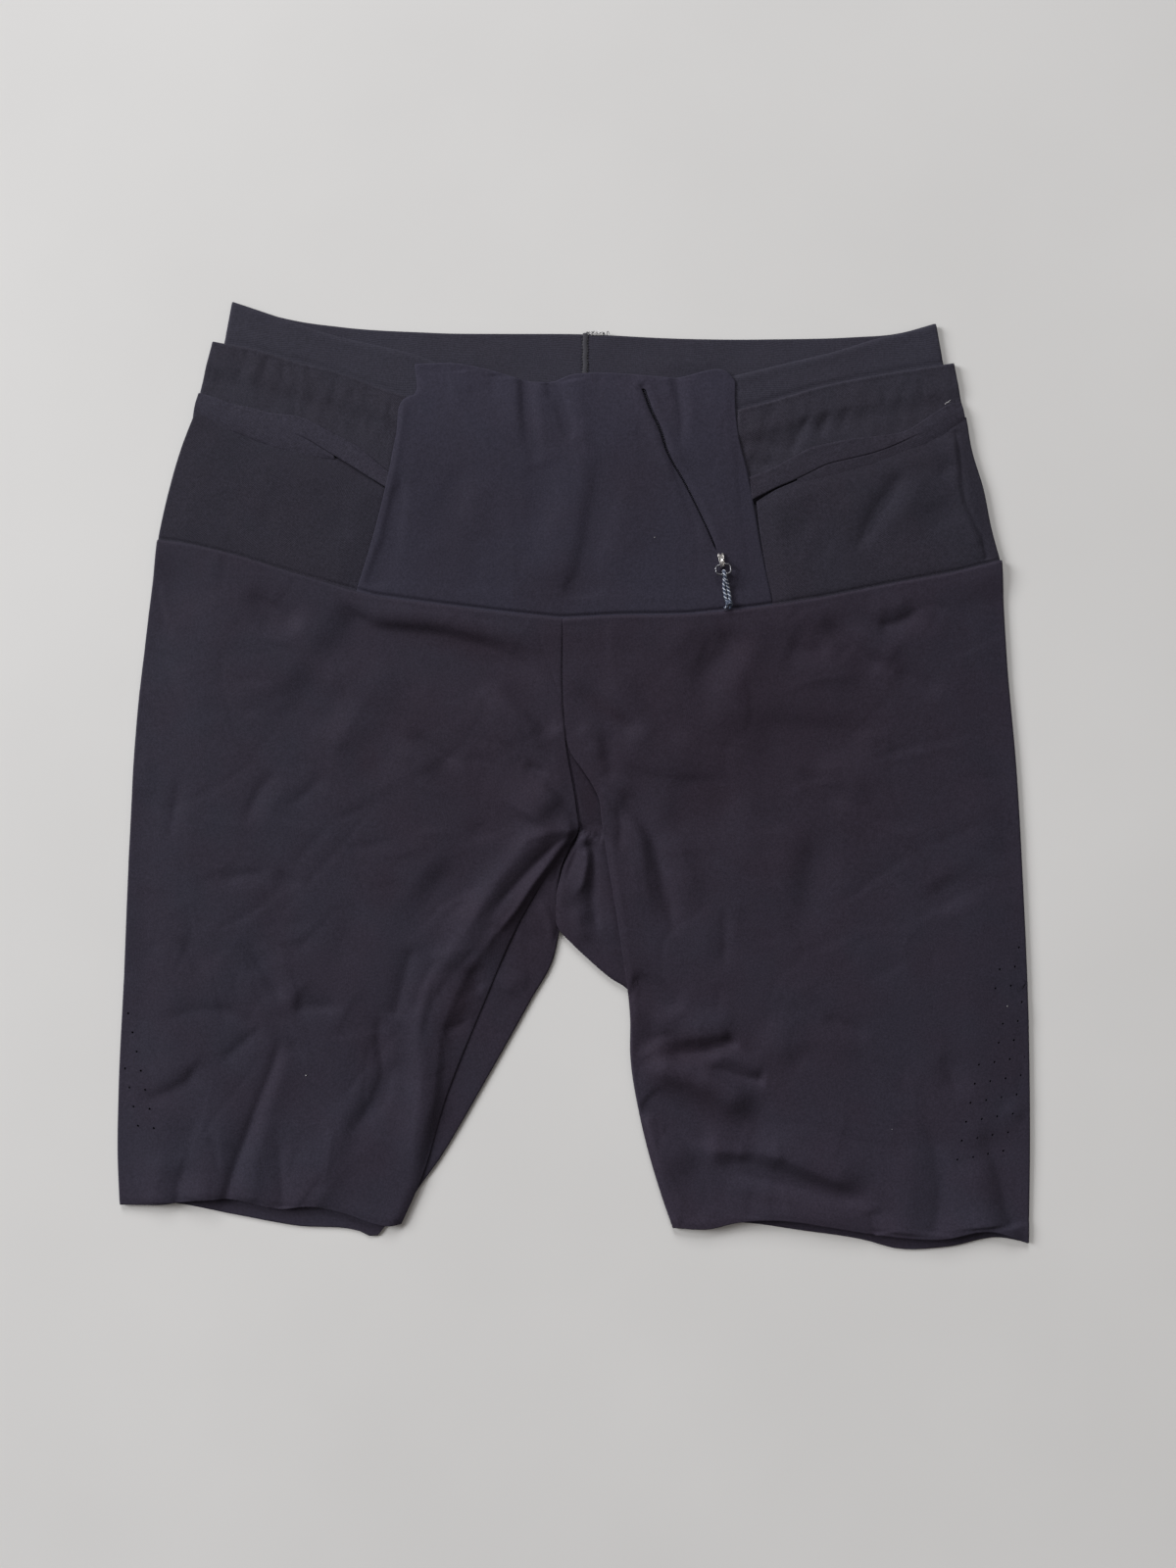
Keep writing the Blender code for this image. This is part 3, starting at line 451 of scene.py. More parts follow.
# ---------------------------------------------------------------- materials
class Nodes:
    """Short hand for building a material's nodes."""

    def __init__(self, name):
        self.mat = bpy.data.materials.new(name)
        self.mat.use_nodes = True
        self.tree = self.mat.node_tree
        self.shader = self.tree.nodes["Principled BSDF"]

    def new(self, kind, **values):
        node = self.tree.nodes.new(kind)
        for key, value in values.items():
            if hasattr(node, key):
                setattr(node, key, value)
            else:
                node.inputs[key.replace("_", " ")].default_value = value
        return node

    def join(self, source, target):
        self.tree.links.new(source, target)

    def maths(self, kind, a, b=None, c=None):
        node = self.tree.nodes.new("ShaderNodeMath")
        node.operation = kind
        for k, value in enumerate((a, b, c)):
            if value is None:
                continue
            if isinstance(value, (int, float)):
                node.inputs[k].default_value = value
            else:
                self.join(value, node.inputs[k])
        return node.outputs[0]

    def blend(self, share, a, b, kind="MIX"):
        node = self.tree.nodes.new("ShaderNodeMix")
        node.data_type = "RGBA"
        node.blend_type = kind
        for k, value in ((0, share), (6, a), (7, b)):
            if isinstance(value, (int, float)):
                node.inputs[k].default_value = value
            elif isinstance(value, tuple):
                node.inputs[k].default_value = (*value, 1.0)
            else:
                self.join(value, node.inputs[k])
        return node.outputs[2]

    def coords(self, turn=0.0):
        """Object coordinates in millimetres, turned about Z."""
        at = self.tree.nodes.new("ShaderNodeTexCoord")
        fit = self.tree.nodes.new("ShaderNodeMapping")
        fit.inputs["Scale"].default_value = (1000.0, 1000.0, 1000.0)
        fit.inputs["Rotation"].default_value = (0.0, 0.0, radians(turn))
        self.join(at.outputs["Object"], fit.inputs["Vector"])
        return fit.outputs["Vector"]

    def speckle(self, where, scale, detail=2.0, rough=0.5):
        node = self.tree.nodes.new("ShaderNodeTexNoise")
        node.inputs["Scale"].default_value = scale
        node.inputs["Detail"].default_value = detail
        node.inputs["Roughness"].default_value = rough
        self.join(where, node.inputs["Vector"])
        return node.outputs["Fac"]

    def spread(self, value, low, high, to_low=0.0, to_high=1.0):
        node = self.tree.nodes.new("ShaderNodeMapRange")
        node.inputs["From Min"].default_value = low
        node.inputs["From Max"].default_value = high
        node.inputs["To Min"].default_value = to_low
        node.inputs["To Max"].default_value = to_high
        self.join(value, node.inputs["Value"])
        return node.outputs["Result"]

    def set(self, **values):
        for key, value in values.items():
            self.shader.inputs[key.replace("_", " ")].default_value = value

    def bump(self, height, distance, strength=1.0, after=None):
        node = self.tree.nodes.new("ShaderNodeBump")
        node.inputs["Strength"].default_value = strength
        node.inputs["Distance"].default_value = distance
        self.join(height, node.inputs["Height"])
        if after is not None:
            self.join(after, node.inputs["Normal"])
        return node.outputs["Normal"]


def cloth(name, blue, brown, turn, wale, course, knit_depth, pattern, mottle,
          rough, sheen, gloss, grit=0.10, heather=0.13, dark_patches=(), painted_light_by_y=None):
    """A knitted or netted cloth.

    blue and brown are the two tones that wander over it; their mix also runs
    browner towards the middle of the garment, painted shade, and bluer towards
    its sides, painted light.  wale and course are the pitch of its columns and
    rows in mm, knit_depth the bump of one loop in mm, pattern "knit", "net" or
    "rib", mottle the strength of the cloudy tone, grit and heather those of the
    yarn's unevenness.  The list of patches is painted shade: each patch,
    (x, y, half x, half y, turn, much), is browner and darker than the rest
    where the cloth lies in shadow.  The last argument, (y, y, much), is painted
    light: the cloth is made paler from the first y up to the second.
    """
    g = Nodes(name)
    at = g.coords(turn)
    split = g.new("ShaderNodeSeparateXYZ")
    g.join(at, split.inputs[0])
    x, y = split.outputs[0], split.outputs[1]
    # a little wander so the columns aren't ruled lines
    drift = g.speckle(at, 0.045, 1.0)
    x = g.maths("ADD", x, g.maths("MULTIPLY", drift, 9.0))
    y = g.maths("ADD", y, g.maths("MULTIPLY", g.speckle(at, 0.037, 1.0), 8.0))
    column = g.maths("SINE", g.maths("MULTIPLY", x, 2 * pi / wale))
    if pattern == "knit":
        slant = g.maths("MULTIPLY", g.maths("ABSOLUTE", column), 1.3)
        row = g.maths("SINE", g.maths("ADD", g.maths("MULTIPLY", y, 2 * pi / course), slant))
        loop = g.maths("ADD", g.maths("MULTIPLY", column, 0.5), g.maths("MULTIPLY", row, 0.35))
    elif pattern == "rib":
        row = g.maths("SINE", g.maths("MULTIPLY", y, 2 * pi / course))
        loop = g.maths("ADD", g.maths("MULTIPLY", column, 0.25), g.maths("MULTIPLY", row, 0.6))
    else:
        row = g.maths("SINE", g.maths("MULTIPLY", y, 2 * pi / course))
        loop = g.maths("MULTIPLY", column, row)
    loop = g.spread(loop, -0.9, 0.9)
    yarn = g.speckle(at, 2.6, 3.0, 0.6)
    cloud = g.speckle(at, 0.075, 3.0, 0.55)
    cloud_small = g.speckle(at, 0.42, 3.0, 0.6)
    apart = g.new("ShaderNodeSeparateXYZ")
    g.join(g.coords(0.0), apart.inputs[0])
    # painted shade and light: the tone mix turns browner near the middle of the garment and bluer towards its sides
    from_middle = g.maths("ABSOLUTE", g.maths("SUBTRACT", apart.outputs[0], 42.0))
    hue = g.maths("ADD", g.spread(g.speckle(at, 0.032, 2.0, 0.5), 0.36, 0.64, 0.0, 0.5),
                  g.spread(from_middle, 40.0, 245.0, 0.0, 0.5))
    tone = g.blend(hue, brown, blue)
    # painted shade: each listed patch darkens and browns the cloth where it lies in shadow
    painted_shade_mask = None
    for mx, my, half_x, half_y, lean, much in dark_patches:
        fit = g.new("ShaderNodeMapping")
        fit.vector_type = "TEXTURE"
        fit.inputs["Location"].default_value = (mx, my, 0.0)
        fit.inputs["Rotation"].default_value = (0.0, 0.0, radians(lean))
        fit.inputs["Scale"].default_value = (half_x, half_y, 1000.0)
        g.join(g.coords(0.0), fit.inputs["Vector"])
        reach = g.new("ShaderNodeVectorMath")
        reach.operation = "LENGTH"
        g.join(fit.outputs["Vector"], reach.inputs[0])
        ragged = g.maths("ADD", reach.outputs["Value"], g.spread(cloud_small, 0.3, 0.7, -0.22, 0.22))
        one = g.spread(ragged, 1.45, 0.25, 0.0, much)
        painted_shade_mask = one if painted_shade_mask is None else g.maths("MAXIMUM", painted_shade_mask, one)
    if painted_shade_mask is not None:
        tone = g.blend(painted_shade_mask, tone, tuple(c * k for c, k in zip(brown, (0.86, 0.80, 0.80))))
    value = g.maths("ADD", 1.0 - mottle, g.maths("MULTIPLY", cloud, 2 * mottle))
    value = g.maths("MULTIPLY", value,
                    g.spread(cloud_small, 0.3, 0.7, 1.0 - mottle * 0.7, 1.0 + mottle * 0.7))
    value = g.maths("MULTIPLY", value, g.spread(yarn, 0.25, 0.75, 1.0 - grit, 1.0 + grit))
    grain = g.speckle(at, 0.95, 2.0, 0.7)
    value = g.maths("MULTIPLY", value, g.spread(grain, 0.28, 0.72, 1.0 - heather, 1.0 + heather))
    value = g.maths("MULTIPLY", value, g.spread(loop, 0.0, 1.0, 0.86 if pattern != "net" else 0.70, 1.08))
    # painted light: the cloth is made paler over a span of height
    if painted_light_by_y:
        value = g.maths("MULTIPLY", value, g.spread(apart.outputs[1], painted_light_by_y[0], painted_light_by_y[1], 1.0, 1.0 + painted_light_by_y[2]))
    shade = g.new("ShaderNodeCombineXYZ")
    for k in range(3):
        g.join(value, shade.inputs[k])
    colour = g.blend(1.0, tone, shade.outputs[0], "MULTIPLY")
    g.join(colour, g.shader.inputs["Base Color"])
    g.join(g.spread(yarn, 0.25, 0.75, rough - 0.06, rough + 0.07), g.shader.inputs["Roughness"])
    fine = g.bump(loop, knit_depth * MM, 0.55)
    soft = g.bump(cloud_small, 0.25 * MM, 0.35, fine)
    g.join(soft, g.shader.inputs["Normal"])
    g.set(Sheen_Weight=sheen, Sheen_Roughness=0.45, Sheen_Tint=(0.80, 0.78, 0.95, 1.0),
          Specular_IOR_Level=gloss)
    return g.mat


# painted shade on the legs: browner, darker patches where the cloth lies in shadow
PAINTED_SHADE_LEG = ((116.0, 23.0, 42.0, 13.0, 4.0, 0.75), (92.0, 26.0, 18.0, 12.0, -20.0, 0.5),
            (69.0, -10.0, 25.0, 15.0, 6.0, 0.9), (87.0, 66.0, 14.0, 12.0, 40.0, 0.8),
            (63.0, 52.0, 11.0, 7.0, 0.0, 0.6), (17.6, 34.0, 19.0, 6.0, -32.0, 0.9),
            (57.0, -139.0, 28.0, 8.0, 6.0, 0.9), (60.0, -160.0, 24.0, 9.0, -30.0, 0.6),
            (-53.0, 68.5, 40.0, 9.0, -12.0, 0.8), (-105.0, 7.0, 9.0, 12.0, 0.0, 0.6),
            (-59.0, -119.0, 8.0, 20.0, -24.0, 0.9), (-32.0, -72.0, 20.0, 9.0, 50.0, 0.5),
            (-96.0, -58.0, 8.0, 9.0, 0.0, 0.5), (8.0, -12.0, 8.0, 18.0, 8.0, 0.9),
            (30.0, -100.0, 8.0, 30.0, 6.0, 0.5), (95.0, 25.0, 100.0, 75.0, 0.0, 0.75),
            (-55.0, 12.0, 62.0, 50.0, 0.0, 0.5), (-15.0, -85.0, 14.0, 42.0, -20.0, 0.6))
# the leg cloth also gets painted light, paler from y -125 down towards the hem
LEG = cloth("leg_knit_look", (0.0272, 0.0254, 0.0383), (0.0288, 0.0230, 0.0352), 4.0,
            0.62, 0.46, 0.06, "knit", 0.05, 0.72, 0.015, 0.07, 0.12, 0.20, PAINTED_SHADE_LEG,
            (-125.0, -235.0, 0.11))
# the centre panel gets painted shade in three patches and painted light, paler towards its top edge
CENTRE = cloth("centre_knit_look", (0.0286, 0.0275, 0.0432), (0.0294, 0.0264, 0.0406), -2.0,
               0.62, 0.46, 0.06, "knit", 0.05, 0.72, 0.015, 0.07, 0.12, 0.20,
               ((-8.0, 96.0, 22.0, 14.0, 20.0, 0.7), (32.0, 148.0, 16.0, 30.0, 0.0, 0.5),
                (-58.0, 120.0, 14.0, 24.0, -10.0, 0.4)), (158.0, 202.0, 0.17))
BAND = cloth("elastic_look", (0.0322, 0.0314, 0.0452), (0.0326, 0.0306, 0.0434), 0.0,
             0.80, 1.05, 0.10, "rib", 0.06, 0.74, 0.02, 0.08, 0.14, 0.20)
MESH = cloth("pocket_mesh_look", (0.0285, 0.0272, 0.0392), (0.0296, 0.0260, 0.0372), 12.0,
             0.95, 0.95, 0.14, "net", 0.05, 0.80, 0.02, 0.07, 0.16, 0.26)
BELT = cloth("belt_mesh_look", (0.0330, 0.0320, 0.0452), (0.0342, 0.0308, 0.0430), 12.0,
             0.95, 0.95, 0.14, "net", 0.06, 0.80, 0.02, 0.07, 0.16, 0.26)
BIND_L = cloth("binding_left_look", (0.0318, 0.0300, 0.0440), (0.0322, 0.0290, 0.0425), 30.0,
               1.0, 0.9, 0.14, "rib", 0.08, 0.76, 0.02, 0.07, 0.16, 0.30)
# painted shade: the right binding is the left binding's cloth in darker tones
BIND_R_PAINTED_SHADE = cloth("binding_right_painted_shade_look", (0.0262, 0.0244, 0.0356), (0.0270, 0.0238, 0.0342), 30.0,
               1.0, 0.9, 0.14, "rib", 0.08, 0.76, 0.02, 0.07, 0.16, 0.30)


def zip_look():
    g = Nodes("zip_tape_look")
    at = g.coords(-24.0)
    split = g.new("ShaderNodeSeparateXYZ")
    g.join(at, split.inputs[0])
    row = g.spread(g.maths("SINE", g.maths("MULTIPLY", split.outputs[1], 2 * pi / 0.55)), -1.0, 1.0)
    value = g.blend(row, (0.0130, 0.0118, 0.0230), (0.0235, 0.0212, 0.0370))
    g.join(value, g.shader.inputs["Base Color"])
    g.join(g.spread(g.speckle(at, 1.4), 0.3, 0.7, 0.5, 0.72), g.shader.inputs["Roughness"])
    g.join(g.bump(row, 0.08 * MM, 0.7), g.shader.inputs["Normal"])
    g.set(Specular_IOR_Level=0.3)
    return g.mat


def metal_look(name, bright, dark_patches, rough, scale):
    """Plated die-cast metal, rubbed dull and dark in patches."""
    g = Nodes(name)
    at = g.coords(20.0)
    patches = g.spread(g.speckle(at, scale, 4.0, 0.62), 0.42, 0.62)
    fine = g.speckle(at, scale * 6.0, 3.0, 0.6)
    g.join(g.blend(patches, bright, dark_patches), g.shader.inputs["Base Color"])
    g.join(g.maths("ADD", g.spread(patches, 0.0, 1.0, rough, rough + 0.22),
                   g.maths("MULTIPLY", fine, 0.08)), g.shader.inputs["Roughness"])
    g.join(g.bump(fine, 0.05 * MM, 0.5), g.shader.inputs["Normal"])
    g.set(Metallic=1.0)
    return g.mat


def cord_look():
    """Navy braid with a pale tracer; the mesh says where the tracer shows."""
    g = Nodes("pull_cord_look")
    at = g.coords(0.0)
    mark = g.new("ShaderNodeAttribute")
    mark.attribute_name = "tracer"
    yarn = g.speckle(at, 5.0, 3.0, 0.6)
    navy = g.blend(g.spread(yarn, 0.3, 0.7), (0.012, 0.020, 0.045), (0.030, 0.046, 0.090))
    pale = g.blend(g.spread(yarn, 0.3, 0.7), (0.42, 0.46, 0.55), (0.72, 0.75, 0.80))
    g.join(g.blend(g.spread(mark.outputs["Fac"], 0.55, 0.75), navy, pale),
           g.shader.inputs["Base Color"])
    g.join(g.spread(yarn, 0.3, 0.7, 0.62, 0.8), g.shader.inputs["Roughness"])
    g.join(g.bump(yarn, 0.08 * MM, 0.6), g.shader.inputs["Normal"])
    g.set(Sheen_Weight=0.15, Sheen_Roughness=0.5)
    return g.mat


def lint_look(name, low, high):
    g = Nodes(name)
    at = g.coords(0.0)
    g.join(g.blend(g.spread(g.speckle(at, 3.0, 3.0), 0.3, 0.7), low, high),
           g.shader.inputs["Base Color"])
    g.join(g.spread(g.speckle(at, 6.0, 2.0), 0.3, 0.7, 0.7, 0.9),
           g.shader.inputs["Roughness"])
    g.set(Sheen_Weight=0.2, Sheen_Roughness=0.5)
    return g.mat


ZIP = zip_look()
SILVER = metal_look("slider_look", (0.80, 0.79, 0.77), (0.22, 0.20, 0.21), 0.24, 0.9)
WIRE = metal_look("ring_look", (0.26, 0.26, 0.28), (0.045, 0.045, 0.055), 0.30, 1.3)
CORD = cord_look()
WHITE = lint_look("lint_white", (0.55, 0.54, 0.55), (0.82, 0.81, 0.80))
DARK = lint_look("thread_dark", (0.014, 0.012, 0.018), (0.045, 0.040, 0.055))
SEAM = lint_look("seam_thread", (0.013, 0.012, 0.019), (0.024, 0.023, 0.034))

# ------------------------------------------------------------ the free cord
SLIDER_AT = np.array((76.0, 107.6))
ALONG = np.array((0.163, -0.987)) / np.hypot(0.163, 0.987)
ACROSS = np.array((-ALONG[1], ALONG[0]))
BASE_Z, EYE_UP, RING_WIRE = 3.9, 1.9, 0.9
RING_HALF_W, RING_HALF_L = 3.8, 2.6
CORD_D, CORD_APART, KNOT_AT, KNOT_R = 1.6, 2.0, 20.3, 2.0
PIN_Z = BASE_Z + EYE_UP
FAR_Z = BASE_Z + CORD_D / 2 + 0.05 + CORD_D / 2 + RING_WIRE / 2 + 0.35
WRAP = RING_WIRE / 2 + 0.35 + CORD_D / 2
FAR_S = 2 * RING_HALF_L
LIE_Z = BASE_Z + CORD_D / 2 + 0.05
END_S = KNOT_AT - KNOT_R - 0.35


def on_pull(a, s, z):
    """Point from a (across), s (along the pull from its pin) and height z."""
    p = SLIDER_AT + ACROSS * a + ALONG * s
    return (p[0], p[1], z)


def one(t):
    return float(smooth(t))


route = []
for k in range(9):                                   # lower run, knot to ring
    t = k / 8
    route.append((-CORD_APART / 2 * (1 - one((t - 0.55) / 0.45)),
                  END_S + (FAR_S + 1.2 - END_S) * t,
                  LIE_Z + (FAR_Z - WRAP - LIE_Z) * one((t - 0.5) / 0.5)))
for k in range(9):                                   # turn round the wire
    w = radians(-90 - 180 * k / 8)
    route.append((0.0, FAR_S + WRAP * cos(w), FAR_Z + WRAP * sin(w)))
for k in range(1, 11):                               # upper run, ring to knot
    t = k / 10
    route.append((CORD_APART / 2 * one((t - 0.1) / 0.4), FAR_S + (END_S - FAR_S) * t,
                  FAR_Z + WRAP + (LIE_Z - FAR_Z - WRAP) * one((t - 0.02) / 0.62)))
route = np.array([on_pull(*p) for p in route])


def resampled(path, n):
    path = np.array(path, float)
    run = np.concatenate([[0.0], np.cumsum(np.linalg.norm(np.diff(path, axis=0), axis=1))])
    at = np.linspace(0.0, run[-1], n)
    return np.stack([np.interp(at, run, path[:, k]) for k in range(3)], 1), run[-1]


def braid(path, radius, sides, pitch, phase, strands=4, relief=0.07):
    """Tube with twisted strands; returns points, faces and the tracer mark."""
    path, length = resampled(path, int(len(path)))
    verts, faces = swept(path, radius, sides)
    verts = np.array(verts).reshape(len(path), sides, 3)
    run = np.concatenate([[0.0], np.cumsum(np.linalg.norm(np.diff(path, axis=0), axis=1))])
    w = 2 * pi * np.arange(sides) / sides
    angle = w[None, :] + 2 * pi * run[:, None] / pitch + phase
    lift = 1.0 + relief * np.cos(strands * angle)
    verts = path[:, None, :] + (verts - path[:, None, :]) * lift[..., None]
    mark = smooth((np.cos(2 * angle) - 0.30) / 0.5) * smooth((np.cos(4 * pi * run[:, None] / pitch + w[None, :] * 2) + 0.35) / 0.5)
    return verts.reshape(-1, 3), faces, mark.ravel()


cord_path, cord_length = resampled(route, 150)
verts, faces, mark = braid(cord_path, CORD_D / 2, 16, 4.4, 0.4)
cord = make("pull_cord", verts, faces, CORD, PULL)
tracer = cord.data.attributes.new("tracer", "FLOAT", "POINT")
tracer.data.foreach_set("value", mark.astype(np.float32))
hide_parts("zip_cord")


# ---------------------------------------------------------------- leg folds
FOLDS_LEFT = [
    # hollow under the top edge, and what runs out of it
    ([(-122.6, 89.5), (-102.5, 75.1), (-70.1, 72.3), (-40.4, 63.5), (-14.1, 50.6)], 3.2, 14, -2.4, 0.18, 0.30),
    ([(-115.6, 87.7), (-94.6, 79.3), (-68.4, 76.9), (-35.1, 70.2), (-10.6, 61.4)], 6, 4, 1.1, 0.25, 0.3),
    ([(-38.6, 49.2), (-22.9, 36.1), (-8.0, 20.3)], 5, 3.4, -1.5, 0.4, 0.25),
    ([(-49.1, 45.7), (-29.9, 29.9), (-12.4, 14.2)], 6, 6, 0.9, 0.4, 0.3),
    ([(-169.9, 93.8), (-150.7, 84.2), (-137.5, 74.0)], 5, 4, -0.8, 0.35, 0.3),
    ([(-147.2, 84.2), (-133.1, 70.2), (-122.6, 63.2)], 6, 6, 0.5, 0.4, 0.4),
    ([(-154.2, 86.0), (-161.2, 70.2)], 4, 4, -0.5, 0.4, 0.4),
    # small creases over the hip
    ([(-87.6, 22.1), (-77.1, 17.3), (-64.0, 8.6), (-54.4, 6.8)], 4, 2.6, -0.85, 0.3, 0.3),
    ([(-94.6, 14.2), (-80.6, 8.9), (-68.4, -1.6)], 6, 6, 0.6, 0.4, 0.4),
    ([(-59.6, 6.3), (-49.1, 8.9), (-39.5, 4.6)], 2.6, 2.6, -0.5, 0.4, 0.4),
    ([(-30.7, -1.6), (-28.1, 8.9), (-11.5, -2.4)], 3, 3, -0.55, 0.35, 0.35),
    ([(-147.2, 54.4), (-133.1, 38.7), (-112.1, 26.4)], 12, 9, -0.8, 0.4, 0.4),
    ([(-136.7, 59.7), (-112.1, 49.2), (-82.4, 40.4)], 14, 12, 0.9, 0.4, 0.4),
    ([(-115.6, 22.9), (-105.1, 5.4), (-99.9, -6.8)], 9, 9, -0.3, 0.4, 0.4),
    ([(-149.8, 4.6), (-160.8, -6.8), (-170.8, -27.0)], 2.6, 2.6, -0.75, 0.3, 0.35),
    ([(-143.7, -1.6), (-154.2, -15.6), (-161.2, -31.3)], 4.5, 4.5, 0.5, 0.4, 0.4),
    ([(-124.4, 3.7), (-134.9, -6.8), (-148.0, -18.2)], 2.6, 2.8, -0.65, 0.4, 0.35),
    ([(-201.4, 3.7), (-204.6, -15.6), (-208.1, -37.5)], 2.4, 3.0, -0.75, 0.35, 0.4),
    ([(-218.9, 14.2), (-220.7, -12.1)], 5, 5, 0.4, 0.4, 0.4),
    ([(-183.9, -54.4), (-169.9, -50.9), (-154.2, -49.7)], 2.4, 2.6, -0.75, 0.3, 0.35),
    ([(-154.2, -49.7), (-138.4, -57.6)], 2.6, 3.0, -0.5, 0.4, 0.4),
    ([(-185.7, -61.1), (-169.9, -57.6), (-152.4, -61.1)], 4, 4, 0.4, 0.4, 0.4),
    ([(-110.4, -57.6), (-115.6, -80.3), (-122.6, -104.8)], 7, 7, -0.5, 0.4, 0.4),
    ([(-47.4, -22.6), (-52.6, -33.1)], 4, 4, -0.5, 0.4, 0.4),
    ([(-77.1, -47.1), (-59.6, -61.1), (-52.6, -71.6)], 12, 12, -0.9, 0.4, 0.4),
    # crown and hollows beside the crotch
    ([(-22.5, -25.8), (-16.4, -15.7), (-7.8, -7.6)], 10, 8, 2.3, 0.25, 0.25),
    ([(-26.5, 5.0), (-19.4, 3.5), (-12.9, 0.8)], 2.4, 2.6, -0.7, 0.3, 0.3),
    ([(-0.8, -9.6), (-5.8, -14.6), (-12.9, -21.7), (-19.9, -29.8)], 6, 6, -0.7, 0.15, 0.35),
    ([(1.3, -28.2), (-12.4, -28.9), (-22.9, -32.7), (-33.4, -43.6)], 3.4, 4.0, 2.0, 0.10, 0.40),
    ([(-43.9, -83.1), (-59.6, -98.8), (-72.8, -118.1), (-78.0, -137.3), (-78.9, -163.6)], 2.2, 2.4, -0.5, 0.2, 0.4),
    ([(-88.6, -140.9), (-94.7, -156.0), (-102.8, -168.7), (-111.4, -179.3), (-118.9, -191.4)], 4.0, 4.5, -1.1, 0.25, 0.35),
    ([(-70.1, -131.0), (-61.4, -129.3), (-51.8, -125.4)], 2.4, 2.4, -0.9, 0.3, 0.30),
    ([(-64.9, -125.1), (-54.4, -114.6)], 4, 4, 0.5, 0.4, 0.3),
    ([(-56.1, -97.1), (-47.4, -112.8)], 4, 4, -0.6, 0.4, 0.3),
    # flank above the rolls
    ([(-82.4, -86.6), (-86.8, -104.1), (-92.5, -125.1)], 2.6, 5.0, -1.15, 0.18, 0.10),
    ([(-68.4, -90.9), (-77.1, -105.8), (-83.3, -123.3)], 5, 2.4, -0.8, 0.25, 0.2),
    ([(-99.5, -118.1), (-100.2, -137.3), (-97.8, -153.1), (-101.3, -167.1), (-110.7, -179.7)], 3.0, 3.2, -1.15, 0.25, 0.3),
    ([(-92.9, -132.1), (-91.1, -153.1), (-94.6, -168.8)], 5, 5, 0.6, 0.4, 0.4),
    ([(-110.4, -156.6), (-119.1, -181.1), (-126.1, -203.8), (-130.5, -223.1)], 7, 7, 1.1, 0.35, 0.15),
    # star of creases on the thigh
    ([(-144.5, -118.9), (-131.4, -119.5), (-114.8, -118.4)], 6.0, 1.8, -1.15, 0.18, 0.45),
    ([(-147.2, -120.2), (-141.9, -111.1), (-133.1, -102.3)], 3, 4, 0.6, 0.25, 0.4),
    ([(-147.9, -116.7), (-156.8, -103.2), (-169.9, -83.9)], 3.6, 2.6, -0.75, 0.2, 0.4),
    ([(-140.2, -114.6), (-147.2, -98.8), (-154.2, -86.6)], 5, 5, 0.4, 0.3, 0.4),
    ([(-157.7, -128.6), (-169.9, -125.1), (-185.7, -115.4)], 3, 5, -0.6, 0.3, 0.4),
    ([(-168.2, -121.6), (-192.7, -120.2), (-220.7, -127.2)], 3.0, 3.4, -0.6, 0.3, 0.4),
    ([(-204.9, -82.2), (-194.4, -93.6), (-185.7, -104.1)], 4, 3, -0.5, 0.4, 0.4),
    ([(-157.7, -127.2), (-169.9, -137.3), (-183.0, -148.7)], 3.0, 2.8, -0.9, 0.2, 0.3),
    ([(-187.4, -142.6), (-198.8, -157.4), (-211.9, -163.9), (-225.9, -167.1)], 3.4, 2.8, -1.05, 0.3, 0.3),
    ([(-185.7, -137.3), (-203.2, -153.1), (-218.9, -160.1)], 7, 7, 0.7, 0.4, 0.4),
    ([(-148.6, -130.3), (-154.2, -149.6), (-163.3, -172.3), (-173.1, -198.6), (-179.5, -219.9)], 2.8, 3.0, -1.35, 0.18, 0.02),
    ([(-142.8, -132.1), (-149.8, -153.1), (-156.8, -175.8), (-162.9, -198.6), (-164.7, -220.5)], 6, 6, 1.0, 0.3, 0.05),
    ([(-173.4, -160.1), (-182.2, -184.6), (-189.2, -219.6)], 9, 7, 0.8, 0.35, 0.05),
    ([(-147.2, -142.6), (-140.2, -135.6)], 3.6, 3.6, -0.5, 0.4, 0.4),
    ([(-152.4, -177.6), (-150.7, -198.6), (-148.9, -222.2)], 3.0, 3.6, -0.8, 0.45, 0.02),
    ([(-140.2, -184.6), (-138.4, -203.8), (-136.7, -222.2)], 8, 8, 0.7, 0.4, 0.02),
    ([(-198.3, -195.1), (-202.3, -209.1), (-203.2, -220.5)], 3.0, 3.4, -1.0, 0.4, 0.02),
    ([(-211.9, -191.6), (-211.9, -219.6)], 7, 6, 0.7, 0.4, 0.02),
    ([(-222.4, -76.1), (-220.7, -107.6), (-222.4, -142.6)], 6, 6, -0.4, 0.4, 0.4),
]
